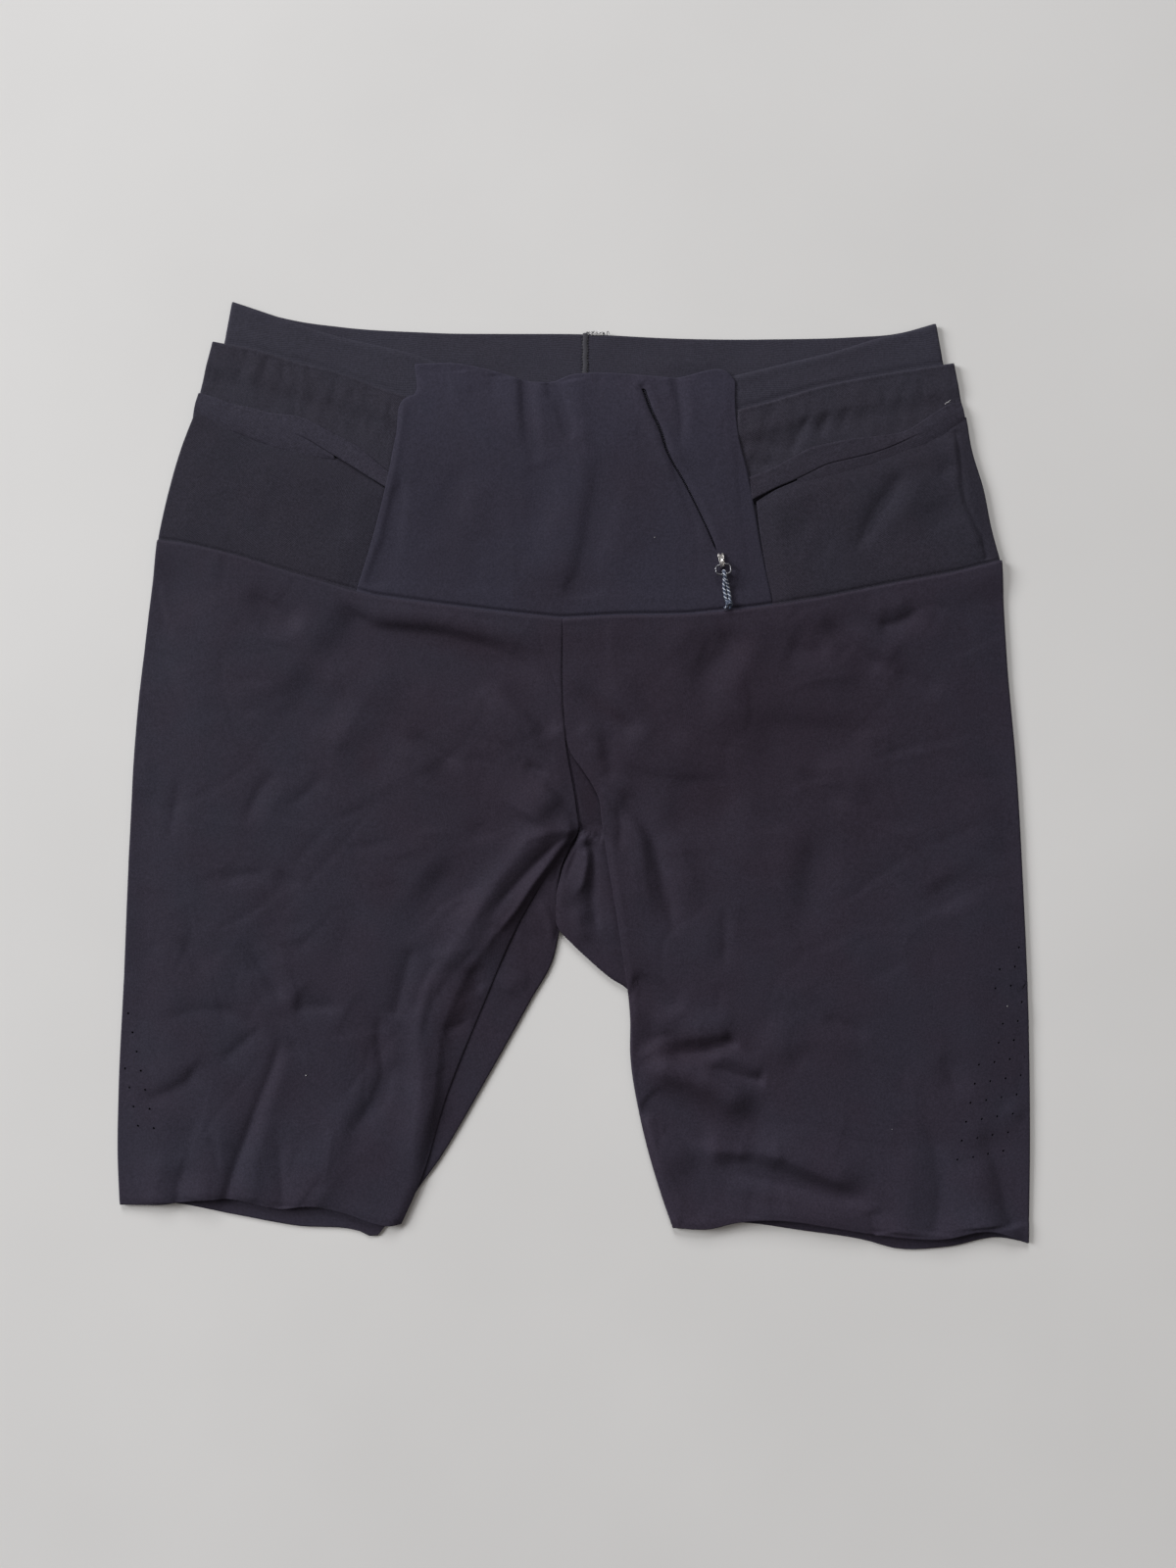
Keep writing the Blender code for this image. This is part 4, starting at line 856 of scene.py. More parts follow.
FOLDS_RIGHT = [
    # by the centre seam
    ([(-2.4, 48.3), (11.6, 38.7), (18.6, 29.9), (27.4, 26.1), (37.0, 23.8)], 4.0, 3.8, -0.8, 0.35, 0.25),
    ([(9.9, 47.4), (23.9, 38.7), (37.9, 31.3)], 6, 5, 0.30, 0.35, 0.3),
    ([(26.5, 50.1), (39.6, 36.1), (50.1, 24.7), (61.5, 16.8)], 4.0, 4.0, -0.55, 0.3, 0.3),
    ([(18.6, 21.2), (34.4, 19.4), (50.1, 12.4), (65.9, 5.4)], 6, 6, 0.25, 0.3, 0.3),
    ([(20.4, 6.3), (37.9, -0.7), (60.6, -4.2), (85.1, -1.6)], 4.5, 8, -1.1, 0.25, 0.4),
    ([(13.4, 26.4), (16.2, 17.7), (18.3, 5.4), (17.9, -6.8)], 3.6, 2.6, -0.8, 0.35, 0.35),
    ([(1.1, 26.4), (9.9, 19.4), (13.4, 5.4)], 5, 4, 0.6, 0.3, 0.35),
    # below the top edge
    ([(82.5, 78.1), (78.1, 63.2), (67.6, 52.7), (56.3, 48.3)], 6.5, 6.5, -1.35, 0.25, 0.3),
    ([(99.2, 80.7), (90.4, 61.4), (81.6, 45.7), (69.4, 36.9)], 7, 7, 1.1, 0.35, 0.35),
    ([(64.1, 82.5), (53.6, 66.7), (44.9, 56.2)], 6, 6, 0.7, 0.4, 0.4),
    ([(107.9, 67.6), (120.2, 63.5), (133.3, 66.7)], 5, 4.5, -1.1, 0.3, 0.35),
    ([(100.9, 73.7), (109.7, 77.2), (120.2, 73.7)], 5, 5, 0.5, 0.4, 0.4),
    ([(125.4, 81.6), (137.7, 71.9), (149.9, 61.4), (163.9, 51.8)], 4.4, 3.8, -0.9, 0.25, 0.25),
    ([(163.9, 55.3), (176.2, 49.2), (191.0, 43.9)], 4.4, 3.8, -0.65, 0.3, 0.35),
    ([(137.7, 77.2), (153.4, 64.9), (169.2, 57.1)], 5, 5, 0.7, 0.35, 0.35),
    ([(109.7, 55.3), (132.4, 53.6), (149.9, 49.2)], 9, 7, 0.9, 0.35, 0.35),
    ([(155.2, 76.9), (165.7, 77.6), (178.8, 84.6)], 3.0, 3.0, -1.35, 0.2, 0.3),
    ([(149.9, 84.2), (163.9, 85.6), (174.4, 91.2)], 4.5, 4.5, 0.8, 0.3, 0.3),
    ([(158.7, 70.2), (179.7, 72.8), (197.2, 70.2)], 7, 7, 0.6, 0.4, 0.4),
    # broad hollows over the hip
    ([(85.1, 26.4), (109.7, 21.2), (135.9, 19.4), (160.4, 22.9)], 9, 12, -1.5, 0.3, 0.35),
    ([(46.6, -8.6), (65.9, -15.6), (92.1, -17.3)], 14, 12, -1.3, 0.35, 0.4),
    ([(64.1, 29.9), (78.1, 31.7), (95.6, 36.9)], 8, 8, 0.9, 0.4, 0.4),
    ([(114.9, 5.4), (127.2, -5.1), (142.0, -18.2)], 4.4, 3.8, -0.6, 0.35, 0.35),
    ([(123.7, 8.9), (139.4, -1.6), (155.2, -12.1)], 8, 8, 0.5, 0.4, 0.4),
    ([(109.7, -17.3), (113.2, -36.6), (107.9, -61.1)], 9, 9, 0.6, 0.4, 0.4),
    ([(127.2, -24.3), (122.8, -48.8), (120.2, -71.6), (118.4, -90.1)], 8, 9, -1.1, 0.3, 0.4),
    ([(137.7, -26.1), (135.9, -52.3), (134.2, -78.6)], 9, 9, 0.5, 0.4, 0.4),
    # long hollows beside the gusset
    ([(23.0, -6.8), (31.8, -18.2), (39.6, -31.3), (44.0, -48.8), (48.7, -66.3), (52.2, -85.6), (52.2, -88.3)],
     3.0, 4.2, -1.35, 0.15, 0.35),
    ([(22.1, -12.1), (24.2, -26.1), (23.2, -41.8)], 2.4, 2.6, -0.9, 0.3, 0.4),
    ([(27.4, -17.3), (34.4, -33.1), (36.1, -50.6), (39.6, -71.6), (39.6, -76.1)], 4.5, 4.5, 1.1, 0.25, 0.35),
    ([(48.4, -22.6), (55.4, -41.8), (60.6, -64.6), (62.4, -70.8)], 7, 7, 0.8, 0.35, 0.4),
    ([(77.3, -64.6), (77.4, -80.3), (76.7, -101.3)], 1.8, 2.0, -0.7, 0.35, 0.3),
    ([(75.2, -105.8), (73.8, -123.3)], 2.2, 2.4, -0.5, 0.4, 0.4),
    ([(82.5, -58.5), (83.4, -90.1)], 5, 5, 0.45, 0.4, 0.4),
    ([(69.4, -65.5), (67.6, -100.6)], 5, 5, 0.4, 0.4, 0.4),
    # short rolls above the notch
    ([(28.1, -103.7), (41.4, -109.7), (57.1, -120.2)], 4.0, 4.0, -1.5, 0.30, 0.3),
    ([(26.5, -116.3), (39.6, -123.3), (57.1, -128.6)], 7, 6, 0.9, 0.1, 0.4),
    ([(38.6, -135.8), (49.7, -135.1), (61.9, -134.1), (74.5, -132.9), (84.6, -132.3)], 8, 5.0, 1.9, 0.20, 0.20),
    ([(41.7, -143.7), (55.1, -143.8), (68.9, -142.2), (78.0, -139.4), (84.3, -136.1)], 6.5, 1.3, -2.5, 0.30, 0.06),
    ([(31.2, -142.6), (37.0, -135.9), (47.5, -133.5), (57.1, -135.9)], 3.6, 2.2, -1.3, 0.30, 0.35),
    ([(33.0, -146.1), (39.6, -141.2), (47.5, -139.4)], 2.2, 2.2, 0.9, 0.15, 0.35),
    ([(39.6, -150.4), (57.1, -149.6), (69.4, -147.5), (85.1, -144.3)], 5, 8, 0.8, 0.2, 0.3),
    ([(68.9, -143.4), (82.8, -145.9), (92.5, -149.7), (98.2, -153.8)], 5, 3, 0.8, 0.25, 0.2),
    ([(66.9, -148.0), (78.7, -152.2), (88.3, -155.5), (98.0, -156.4)], 3.6, 1.3, -1.9, 0.30, 0.06),
    ([(60.6, -153.1), (78.1, -158.7), (92.1, -167.1)], 5, 6, 0.6, 0.25, 0.3),
    ([(92.1, -130.3), (102.7, -137.3), (116.7, -149.6)], 9, 9, 0.5, 0.4, 0.4),
    # band that crosses down to the hem
    ([(33.6, -147.0), (45.7, -150.0), (57.8, -154.0), (71.5, -160.1), (84.1, -167.7), (95.2, -176.2)], 6.5, 8.0, 2.8, 0.20, 0.3),
    ([(35.1, -166.7), (45.5, -174.5), (55.1, -181.0), (65.9, -187.9), (72.5, -191.9)], 8, 2.4, -2.0, 0.15, 0.40),
    ([(31.8, -175.8), (48.4, -193.3), (64.1, -203.8)], 9, 9, 1.1, 0.15, 0.4),
    ([(66.8, -191.6), (79.9, -193.0), (93.9, -195.1)], 3.8, 3.8, 1.7, 0.25, 0.35),
    ([(68.9, -197.2), (82.8, -203.2), (93.9, -206.2), (110.4, -209.8), (127.0, -214.2), (138.1, -217.2), (154.8, -220.9)], 8.0, 1.4, -2.7, 0.24, 0.22),
    ([(88.1, -192.9), (98.2, -193.4), (108.3, -195.9), (118.4, -201.0), (133.6, -207.3), (150.7, -215.6)], 8, 5, 2.6, 0.25, 0.30),
    ([(74.6, -208.2), (100.9, -215.6), (130.7, -223.4), (153.4, -230.1)], 3.6, 9, 1.1, 0.2, 0.3),
    ([(91.3, -207.3), (90.4, -226.6)], 3.4, 3.4, -0.5, 0.4, 0.05),
    # lower thigh, towards the side
    ([(125.4, -123.0), (137.7, -127.7), (153.4, -134.2)], 3.6, 3.0, -0.8, 0.35, 0.35),
    ([(120.2, -128.6), (135.9, -137.3), (151.7, -142.6)], 7, 7, 0.5, 0.4, 0.4),
    ([(112.3, -137.3), (114.9, -153.1)], 6, 6, -0.25, 0.4, 0.4),
    ([(176.2, -175.8), (184.9, -191.6), (188.4, -212.6), (184.9, -235.3)], 4.0, 5, -0.85, 0.3, 0.02),
    ([(167.4, -188.1), (172.7, -209.1), (169.2, -235.3)], 7, 7, 0.8, 0.35, 0.02),
    ([(205.9, -180.2), (218.2, -195.1), (223.4, -212.6), (226.9, -231.8)], 4.0, 6, -1.0, 0.3, 0.02),
    ([(204.2, -195.1), (209.4, -212.6), (211.2, -231.8)], 8, 8, 0.8, 0.35, 0.02),
    ([(187.5, -140.8), (192.8, -153.1), (198.9, -167.1)], 4, 4, -0.55, 0.4, 0.4),
    ([(151.7, -222.2), (155.2, -235.3)], 4, 4, -0.6, 0.3, 0.02),
    ([(219.9, -168.8), (230.4, -177.6)], 5, 5, 0.4, 0.4, 0.4),
    ([(202.4, -1.6), (212.9, -22.6), (221.7, -43.6)], 8, 8, 0.5, 0.4, 0.4),
    ([(184.9, -52.3), (195.4, -71.6)], 10, 10, -0.5, 0.4, 0.4),
]
FOLDS_GUSSET_L = [
    ([(1.3, -28.4), (-1.6, -40.2), (-7.2, -49.7), (-12.9, -59.1)], 5, 5, -1.0, 0.0, 0.4),
    ([(0.3, -42.1), (-2.5, -54.4), (-4.4, -61.0)], 2.4, 2.4, 0.7, 0.3, 0.4),
    ([(-17.6, -62.0), (-12.4, -74.3), (-10.6, -86.6)], 3, 3, 0.5, 0.3, 0.3),
    ([(-28.1, -84.8), (-19.4, -83.1), (-10.6, -81.3)], 4, 4, -0.4, 0.3, 0.3),
    ([(-36.9, -112.8), (-29.9, -105.8), (-21.1, -104.1)], 6, 6, 0.5, 0.3, 0.3),
    ([(-40.4, -125.1), (-31.6, -118.1), (-27.2, -121.6)], 5, 5, -0.35, 0.3, 0.3),
]
FOLDS_GUSSET_R = [
    ([(2.0, -29.9), (1.3, -38.3), (-2.5, -49.7), (-5.8, -59.1)], 3.4, 3.4, -0.9, 0.05, 0.4),
    ([(3.6, -29.9), (6.7, -36.5), (7.3, -44.0), (4.6, -55.3), (-1.6, -64.7)], 3.4, 3.0, 1.35, 0.05, 0.35),
    ([(6.0, -32.7), (9.7, -40.2), (9.6, -55.3), (9.7, -64.7), (12.6, -83.6)], 2.8, 3.8, -1.45, 0.08, 0.25),
    ([(12.1, -34.6), (16.3, -45.9), (17.9, -59.1), (20.1, -72.3), (23.4, -87.4)], 3.0, 3.6, 0.35, 0.10, 0.25),
    ([(1.3, -66.6), (3.1, -77.9), (7.9, -87.4)], 5, 5, 0.8, 0.3, 0.4),
    ([(2.2, -27.2), (7.9, -29.9), (14.5, -31.7)], 1.4, 1.6, -1.1, 0.02, 0.02),
]
FOLDS_CENTRE = [
    # pleats from the top edge
    ([(-25.2, 204.9), (-24.6, 192.1), (-23.1, 179.3), (-21.3, 167.8), (-20.2, 153.7)], 2.0, 2.6, -1.75, 0.02, 0.40),
    ([(-29.7, 204.9), (-29.1, 185.7), (-27.8, 169.0)], 5, 5, 0.75, 0.05, 0.4),
    ([(-18.2, 201.0), (-16.9, 184.4), (-13.7, 166.5)], 4.5, 4, 0.55, 0.1, 0.4),
    ([(-11.8, 202.3), (-7.7, 193.3), (-4.4, 183.1), (-1.3, 169.7)], 1.5, 2.0, -1.45, 0.02, 0.30),
    ([(-12.8, 202.3), (-12.3, 195.9), (-12.8, 190.1)], 1.4, 1.4, -0.5, 0.05, 0.4),
    ([(0.4, 203.6), (3.6, 185.7), (5.5, 163.9)], 5.5, 5.5, 0.65, 0.05, 0.4),
    ([(52.4, 204.2), (54.2, 193.3), (55.5, 180.6), (54.5, 165.2)], 1.8, 2.4, -0.8, 0.02, 0.4),
    ([(58.6, 203.6), (60.5, 186.9), (59.9, 169.0)], 4, 4, 0.5, 0.05, 0.4),
    ([(47.7, 203.6), (49.0, 192.1)], 3, 3, 0.35, 0.05, 0.4),
    ([(-41.9, 205.5), (-41.2, 192.1)], 2.4, 2.4, -0.35, 0.05, 0.4),
    ([(-55.3, 207.4), (-54.0, 194.6)], 5, 5, 0.35, 0.05, 0.4),
    # soft hollows and crowns down the panel
    ([(-52.1, 161.4), (-61.1, 147.9), (-69.4, 129.4), (-72.6, 115.3)], 6, 6, -0.75, 0.3, 0.4),
    ([(-45.1, 157.5), (-51.5, 140.9), (-55.3, 120.4)], 9, 9, 0.55, 0.35, 0.4),
    ([(-21.4, 160.1), (-16.9, 146.0), (-22.0, 130.7), (-27.1, 120.4)], 6, 6, -0.65, 0.15, 0.4),
    ([(-9.2, 163.9), (-5.4, 140.9), (-8.0, 115.3), (-11.8, 94.8)], 8, 7, 0.75, 0.3, 0.15),
    ([(4.8, 179.3), (4.8, 151.1), (1.6, 123.0), (-4.1, 94.8)], 6, 5, 0.85, 0.35, 0.15),
    ([(16.4, 171.6), (13.8, 146.0), (8.7, 123.0), (3.6, 102.5), (-0.5, 83.3)], 6, 6, -0.95, 0.3, 0.05),
    ([(0.4, 102.5), (-0.5, 82.0)], 3.2, 3.0, -1.1, 0.3, 0.02),
    ([(-4.1, 102.5), (-9.2, 84.6)], 4, 4, 0.45, 0.3, 0.1),
    ([(21.5, 146.0), (21.5, 120.4), (17.6, 97.4)], 8, 8, 0.4, 0.35, 0.3),
    # turned side bands
    ([(-86.6, 197.5), (-87.6, 182.3), (-91.7, 157.1), (-96.2, 136.9), (-100.2, 120.2), (-105.8, 105.5), (-110.3, 93.4)], 3.0, 3.4, 0.65, 0.10, 0.02),
    ([(-87.6, 157.1), (-89.6, 144.4), (-92.2, 130.8), (-93.9, 118.7), (-99.2, 106.6), (-103.8, 94.4), (-106.8, 85.3)], 2.2, 4.2, -1.75, 0.25, 0.02),
    ([(-80.5, 187.4), (-81.6, 162.1), (-85.6, 131.8), (-90.6, 106.6)], 5, 5, 0.35, 0.3, 0.3),
    ([(83.5, 175.4), (84.4, 156.2), (86.1, 134.5), (89.3, 112.7), (92.5, 92.3)], 2.6, 2.6, -0.25, 0.15, 0.15),
    # beside the zip
    ([(48.3, 163.9), (54.7, 148.6), (61.8, 130.7), (65.0, 117.9)], 5, 2.2, -0.55, 0.3, 0.35),
]
FOLDS_BELT = [
    # gathers across the upper tier, left
    ([(-163.4, 197.5), (-159.3, 206.5), (-156.8, 215.1)], 1.6, 1.8, -0.9, 0.3, 0.1),
    ([(-173.0, 201.5), (-169.4, 210.1), (-167.4, 218.7)], 1.6, 1.8, -0.8, 0.3, 0.1),
    ([(-152.3, 193.4), (-149.2, 202.5), (-148.2, 211.6)], 1.5, 1.6, -0.7, 0.3, 0.1),
    ([(-144.2, 189.9), (-141.7, 198.5), (-140.6, 207.6)], 1.4, 1.5, -0.6, 0.3, 0.1),
    ([(-135.1, 188.4), (-133.1, 196.4), (-132.1, 204.5)], 1.3, 1.4, -0.55, 0.3, 0.1),
    ([(-126.0, 185.3), (-123.5, 193.4), (-122.5, 201.5)], 1.3, 1.4, -0.5, 0.3, 0.1),
    ([(-115.4, 181.3), (-113.4, 190.4), (-112.9, 198.5)], 1.3, 1.4, -0.5, 0.3, 0.1),
    ([(-104.8, 177.3), (-102.8, 186.3), (-101.8, 195.4)], 1.3, 1.4, -0.5, 0.3, 0.1),
    ([(-94.7, 174.2), (-93.2, 182.3), (-92.7, 191.4)], 1.3, 1.4, -0.45, 0.3, 0.1),
    ([(-168.4, 198.5), (-163.9, 208.1), (-161.3, 216.6)], 2.2, 2.2, 0.55, 0.3, 0.1),
    ([(-158.3, 194.9), (-153.8, 204.5), (-152.3, 213.1)], 2.2, 2.2, 0.50, 0.3, 0.1),
    ([(-181.5, 205.5), (-178.0, 213.6), (-176.5, 220.7)], 2.4, 2.4, 0.50, 0.3, 0.1),
    ([(-139.1, 187.4), (-137.1, 196.4), (-136.1, 205.5)], 1.8, 1.8, 0.35, 0.3, 0.1),
    ([(-119.9, 182.3), (-117.9, 191.4), (-116.9, 199.5)], 1.8, 1.8, 0.30, 0.3, 0.1),
    ([(-99.7, 174.2), (-97.7, 183.3), (-96.7, 192.4)], 1.8, 1.8, 0.30, 0.3, 0.1),
    # gathers across the upper tier, right
    ([(121.5, 185.3), (115.4, 174.2), (109.8, 163.1)], 2.0, 2.4, -1.6, 0.25, 0.3),
    ([(131.6, 187.4), (129.0, 180.3), (126.0, 172.7)], 1.6, 2.0, -1.3, 0.25, 0.3),
    ([(140.1, 189.4), (139.1, 182.3), (137.6, 175.2)], 1.6, 1.8, -0.95, 0.25, 0.3),
    ([(126.0, 187.4), (120.4, 176.2), (115.9, 166.1)], 3.0, 3.0, 0.75, 0.25, 0.3),
    ([(136.1, 189.4), (133.6, 182.3), (131.6, 174.2)], 2.2, 2.2, 0.5, 0.25, 0.3),
    ([(89.1, 164.1), (96.2, 159.1), (106.3, 162.1)], 2.4, 2.2, -1.3, 0.25, 0.3),
    ([(92.2, 173.2), (103.3, 168.2), (111.4, 169.2)], 2.2, 2.2, -0.95, 0.3, 0.3),
    ([(88.1, 177.3), (103.3, 174.2), (115.9, 177.3)], 4, 4, 0.5, 0.3, 0.3),
    ([(102.3, 193.4), (101.3, 187.4), (99.2, 181.3)], 1.6, 1.6, -0.45, 0.1, 0.4),
    ([(150.7, 196.4), (150.7, 189.4), (148.7, 182.3)], 1.6, 1.8, -0.55, 0.1, 0.4),
    ([(159.3, 198.5), (159.8, 192.4), (158.3, 185.3)], 1.5, 1.6, -0.5, 0.1, 0.4),
    ([(167.9, 201.0), (168.9, 194.4), (167.4, 187.4)], 1.5, 1.6, -0.5, 0.1, 0.4),
    ([(177.0, 203.5), (178.0, 196.4), (177.0, 190.4)], 1.6, 1.6, -0.5, 0.1, 0.4),
    ([(185.1, 206.0), (186.6, 199.5), (186.1, 193.4)], 1.6, 1.6, -0.5, 0.1, 0.4),
    ([(-144.2, 174.2), (-133.1, 169.2), (-122.0, 163.1), (-107.8, 154.0), (-95.7, 145.9)], 3.0, 3.0, -0.95, 0.05, 0.02),
    ([(91.2, 140.9), (103.3, 147.0), (113.4, 151.0), (126.5, 157.6), (142.7, 162.1), (158.8, 166.7), (174.0, 173.7)], 3.0, 3.0, -0.95, 0.02, 0.1),
    ([(92.7, 141.4), (93.7, 133.8), (95.7, 124.2)], 2.4, 2.4, -0.95, 0.02, 0.2),
    ([(154.8, 197.5), (155.3, 190.4)], 2.0, 2.0, 0.35, 0.2, 0.4),
    ([(173.0, 202.5), (173.5, 194.4)], 2.0, 2.0, 0.35, 0.2, 0.4),
]
FOLDS_POCKET_L = [
    ([(-169.4, 162.1), (-144.2, 157.1), (-113.9, 147.0)], 10, 12, 0.35, 0.3, 0.4),
    ([(-179.5, 147.0), (-174.5, 126.8)], 8, 8, -0.25, 0.4, 0.4),
    ([(-158.3, 139.4), (-156.3, 131.8), (-157.3, 122.7)], 3.0, 5.0, -0.30, 0.35, 0.4),
    ([(-129.0, 136.9), (-113.9, 116.7)], 9, 9, -0.25, 0.4, 0.4),
    ([(-118.9, 152.0), (-117.9, 136.9), (-124.0, 116.7)], 6, 6, -0.25, 0.3, 0.4),
]
FOLDS_POCKET_R = [
    # slanting crease and the side seam
    ([(169.7, 157.3), (166.5, 151.0), (161.8, 142.9), (157.8, 137.4), (153.8, 130.3), (149.7, 123.0), (145.8, 117.5), (143.4, 111.9)],
     2.0, 5.0, -1.35, 0.20, 0.30),
    ([(181.5, 157.1), (174.0, 141.9), (164.9, 124.2)], 6, 5, 0.7, 0.25, 0.35),
    ([(153.8, 154.5), (148.7, 141.9), (141.7, 126.8)], 6, 6, 0.35, 0.3, 0.4),
    ([(196.0, 161.3), (190.6, 156.6), (185.7, 151.8)], 3.0, 5.0, -0.6, 0.35, 0.35),
    ([(196.0, 177.3), (197.6, 166.9), (198.8, 157.3), (199.4, 147.0), (201.1, 139.0), (205.6, 129.4), (209.6, 121.5), (212.0, 110.1)],
     1.2, 1.3, -0.42, 0.02, 0.02),
    ([(193.2, 174.7), (195.4, 162.1), (196.2, 147.0), (201.2, 131.8), (207.3, 116.7)], 2.4, 2.4, 0.30, 0.1, 0.05),
    ([(98.2, 147.0), (123.5, 136.9)], 10, 10, 0.3, 0.4, 0.4),
    ([(104.3, 126.8), (123.5, 122.7)], 7, 7, -0.3, 0.4, 0.4),
    ([(183.1, 141.9), (191.6, 124.2)], 7, 7, -0.3, 0.4, 0.4),
    ([(118.4, 116.7), (133.6, 113.6)], 6, 6, -0.3, 0.4, 0.4),
]

ROLLS_LEFT = [
    # the two rolls that follow the inner edge down to the hem
    ([(0.3, -30.8), (-5.3, -32.8), (-11.4, -37.4), (-18.4, -43.9), (-27.0, -53.0), (-35.1, -62.1), (-41.7, -70.7), (-47.2, -80.3)],
     3.4, 2.4, -1.2, 0.10, 0.40),
    ([(1.3, -29.3), (-6.1, -38.4), (-13.5, -47.0), (-19.7, -54.4), (-24.6, -61.9), (-29.5, -69.2), (-34.6, -75.2),
      (-40.7, -81.8), (-47.7, -90.4)], 2.2, 3.0, 1.7, 0.12, 0.35),
    ([(-29.5, -69.2), (-38.1, -79.3), (-47.7, -90.4), (-54.3, -100.5), (-60.3, -111.6), (-65.9, -124.7), (-68.9, -137.4), (-70.4, -151.0),
      (-71.0, -163.6), (-75.0, -186.3), (-79.5, -206.5)], 4.0, 12.0, 1.75, 0.25, 0.25),
    ([(-6.8, -26.3), (-14.9, -32.3), (-29.5, -43.4), (-38.1, -53.0), (-45.7, -64.1), (-50.8, -74.2), (-56.8, -84.3), (-66.7, -96.5),
      (-75.5, -111.1), (-78.5, -123.7), (-78.5, -138.9), (-77.5, -156.0), (-78.0, -171.2), (-80.5, -186.3), (-83.1, -201.5),
      (-85.1, -214.1)], 6.5, 6.0, 2.0, 0.08, 0.25),
]

# ------------------------------------------------------------- side folding
BULGE = 1.15          # how far a turned side edge stands out of its line


def fold_columns(edge, outward, z_front, z_back, n, bulge=BULGE):
    """Columns round a turned side edge, from the front to the back."""
    columns = []
    for k in range(1, n):
        w = pi * k / n
        xy = edge + outward * bulge * sin(w)
        z = (z_front + z_back) / 2 + (z_front - z_back) / 2 * cos(w)
        columns.append(np.concatenate([xy, z[:, None]], 1))
    return np.stack(columns, 1)


def outward_of(line, t, side):
    """Unit normals of a line in the plane; side +1 is to the left of its run."""
    a, b = line(t - 0.004), line(t + 0.004)
    along = b - a
    along /= np.linalg.norm(along, axis=-1, keepdims=True)
    return np.stack([-along[..., 1], along[..., 0]], -1) * side


def dense(n, *spots):
    """n + 1 stations from 0 to 1, closer together near the spots.

    A spot is (place, reach, weight).
    """
    t = np.linspace(0, 1, 4001)
    w = np.ones_like(t)
    for place_at, reach, weight in spots:
        w += weight * np.exp(-((t - place_at) / reach) ** 2)
    run = np.concatenate([[0.0], np.cumsum((w[1:] + w[:-1]) / 2)])
    return np.interp(np.linspace(0, run[-1], n + 1), run, t)


def pierce(XY, spots, radius, gone, first, last, top, bottom):
    """Opens a small round hole at each spot in columns first..last of XY."""
    ring = [(-1, -1), (-1, 0), (-1, 1), (0, 1), (1, 1), (1, 0), (1, -1), (0, -1)]
    taken = []
    for x, y in spots:
        part = XY[top:bottom, first:last]
        d = (part[..., 0] - x) ** 2 + (part[..., 1] - y) ** 2
        r, c = np.unravel_index(np.argmin(d), d.shape)
        if d[r, c] > 9.0:
            continue
        r, c = r + top, c + first
        if any(abs(r - r2) < 3 and abs(c - c2) < 3 for r2, c2 in taken):
            continue
        if r < 2 or r > XY.shape[0] - 3 or c < 2 or c > XY.shape[1] - 3:
            continue
        taken.append((r, c))
        old = np.array([XY[r + dr, c + dc] for dr, dc in ring])
        angle = np.arctan2(old[:, 1] - y, old[:, 0] - x)
        for (dr, dc), w in zip(ring, angle):
            XY[r + dr, c + dc] = (x + radius * cos(w), y + radius * sin(w))
        gone[r - 1:r + 1, c - 1:c + 1] = True
    return XY, gone


